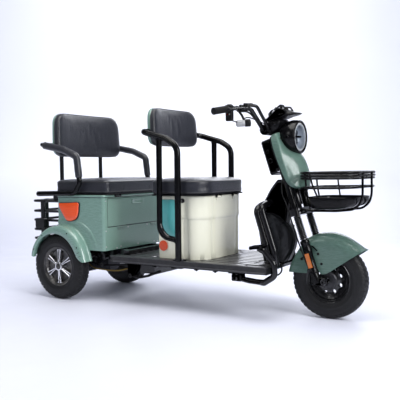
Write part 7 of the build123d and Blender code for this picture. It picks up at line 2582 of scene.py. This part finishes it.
# ---- fork: stanchions with springs and bright wipers, crown bolts, axle nuts
fv = Acc()
for s_ in (1, -1):
    y = s_ * 77.0
    ax3 = ((math.cos(math.radians(18)), 0, math.sin(math.radians(18))), (0, 1, 0), (-math.sin(math.radians(18)), 0, math.cos(math.radians(18))))
    o_ = S(8, y, 0)
    # lower leg: cast sleeve with rings, dust seal
    lathe(fv, [(13, -352), (20.6, -352), (21.6, -346), (21.6, -300), (20.4, -292), (20.4, -205), (21.8, -200), (21.8, -184), (20.4, -180), (20.4, -162), (23.0, -158), (23.4, -150), (22.4, -143), (18, -140), (14.5, -138)], o_, frame3=ax3, seg=36, mat=0, close=False)
    # bright stanchion then the coil above it
    lathe(fv, [(13.6, -140), (13.6, -18)], o_, frame3=ax3, seg=32, mat=2, close=False)
    pts = []
    n_ = 15 * 16
    for i in range(n_ + 1):
        w_ = -136 + 116 * i / n_
        t_ = 2 * math.pi * 15 * i / n_
        b_ = S(8 + 16.6 * math.cos(t_), y + 16.6 * math.sin(t_), w_)
        pts.append(b_)
    sweep(fv, pts, 2.7, seg=7, mat=0)
    lathe(fv, [(13.2, 18), (17.5, 19), (17.5, 60), (16, 64), (16, 150), (17.5, 154), (17.5, 212)], o_, frame3=ax3, seg=32, mat=0, close=False)
    a_ = S(8, y, -335)
    rr = []
    for yy, k in ((y - 11, 0.9), (y - 9, 1.0), (y + 9, 1.0), (y + 11, 0.9)):
        rr.append([(1490 + a * k, yy, 186 + b * k) for a, b in rrect(30, 19, 12, 5)])
    loft(fv, rr, mat=0)
    lathe(fv, [(0.01, 24), (5.6, 24), (6.4, 22.6), (6.4, 16)], (1505, s_ * 77, 186), frame3=((1, 0, 0), (0, 0, 1), (0, s_, 0)), seg=20, mat=2, close=False)
    hexbolt(fv, (1505, s_ * 88, 186), (0, s_, 0), r=12, h=9, mat=2)
    for w_ in (-8, 8):
        hexbolt(fv, S(30, s_ * 84, w_), (S(1, 0, 0)[0] - S(0, 0, 0)[0], 0, S(1, 0, 0)[2] - S(0, 0, 0)[2]), r=4.5, h=5, mat=1)
piece("fork_fittings", fv, [M_wire, M_steel, M_bolt], body="steering", slot="black_frame", angle=40)
# brake hose down the right leg
bh_ = Acc()
sweep(bh_, spl([(1262, -30, 880), (1300, -58, 780), S(-22, -88, 130), S(-20, -92, 40), S(-16, -98, -60), S(-12, -98, -180), S(0, -96, -280), (1478, -90, 232)], 8), 3.4, seg=10)
for w_ in (-60, -180):
    sweep(bh_, [S(-14, -98, w_ - 5), S(-13, -98, w_ + 5)], 5.0, seg=10)
piece("front_brake_hose", bh_, [M_rubber], body="steering", slot="rubber", angle=60)

M_cable = plastic("cable_ochre", (0.33, 0.22, 0.05), rough=0.45, grain=0.1, edge=0.0)
# ---- brake pedal: ribbed upper pad and the lower foot bar with its end block
pd = Acc()
rr = []
for z, k in ((346, 0.9), (349, 1.0), (357, 1.0), (360, 0.95)):
    rr.append([(1234 + a * k, -231 + b * k, z + 0.12 * (a * k)) for a, b in rrect(34, 34, 9, 5)])
loft(pd, rr, mat=0)
for i in range(6):
    x = 1208 + i * 10.5
    zz = 360 + 0.12 * (x - 1234)
    block(pd, x - 2.4, x + 2.4, -260, -202, zz - 1.0, zz + 2.6, 0)
sweep(pd, round_path([(1262, -232, 187), (1190, -232, 190), (1122, -232, 200)], [60], 3), 13.5, seg=18, mat=1, caps=True, cap_round=4)
rr = []
for x, k in ((1098, 0.8), (1101, 0.97), (1104, 1.0), (1146, 1.0), (1150, 0.95), (1153, 0.8)):
    rr.append([(x, -228 + a * k, 203 + b * k) for a, b in rrect(24, 19, 7, 4)])
loft(pd, rr, mat=0)
lathe(pd, [(0.01, 8), (8, 8), (11, 5.5), (12, 0), (12, -4)], (1122, -252, 200), frame3=((1, 0, 0), (0, 0, 1), (0, -1, 0)), seg=24, mat=2, close=False)
piece("pedal_pads", pd, [M_black, M_frame, M_bolt], slot="black_plastic", angle=40)

# ---- under the floor: spring shackles, stand bracket, cable runs
uv = Acc()
for s_ in (1, -1):
    for x in (-256, 256):
        hexbolt(uv, (x, s_ * 232, 200 if abs(x) < 1 else 203), (0, s_, 0), r=8, h=7, mat=1)
# stand bracket behind the step: folded plates with a cross tube
for y in (-214, -186):
    rr = []
    for yy_ in (y - 2, y + 2):
        rr.append([(424, yy_, 231), (498, yy_, 231), (494, yy_, 196), (470, yy_, 158), (446, yy_, 140), (432, yy_, 144), (428, yy_, 176)])
    loft(uv, rr, mat=0)
sweep(uv, [(448, -222, 154), (448, -178, 154)], 8.0, seg=16, mat=0, caps=True)
hexbolt(uv, (448, -222, 154), (0, -1, 0), r=8.5, h=6, mat=1)
sweep(uv, round_path([(448, -206, 154), (500, -206, 146), (560, -206, 160), (640, -206, 190)], [40, 40], 3), 7.0, seg=12, mat=0, caps=True)
# motor and brake cables
sweep(uv, spl([(60, -150, 206), (150, -188, 176), (250, -204, 170), (345, -206, 172), (430, -196, 190), (520, -120, 205)], 8), 4.0, seg=10, mat=2)
sweep(uv, spl([(40, -140, 214), (140, -170, 196), (240, -180, 192), (360, -170, 200), (500, -100, 208)], 8), 5.2, seg=10, mat=0)
sweep(uv, spl([(600, -90, 196), (760, -120, 214), (900, -150, 222), (1060, -190, 224), (1120, -222, 214)], 8), 3.6, seg=10, mat=0)
# hose loop at the foot of the leg guard
sweep(uv, spl([(1250, -60, 262), (1276, -64, 246), (1274, -62, 214), (1244, -56, 194), (1200, -50, 204), (1160, -46, 226)], 8), 4.2, seg=10, mat=0)
for x in (640, 760, 900, 1010, 1130):
    block(uv, x - 9, x + 9, -262, -244, 222, 230.5, 0)
    hexbolt(uv, (x, -253, 222), (0, 0, -1), r=5, h=5, mat=1)
piece("under_floor_fittings", uv, [M_black, M_bolt, M_cable], slot="black_frame", angle=40)

lo_, hi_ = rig.bounds()
with open("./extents.json", "w") as f_:
    json.dump({"cad": [CAD_LO, CAD_HI], "visual": [list(lo_), list(hi_)]}, f_)
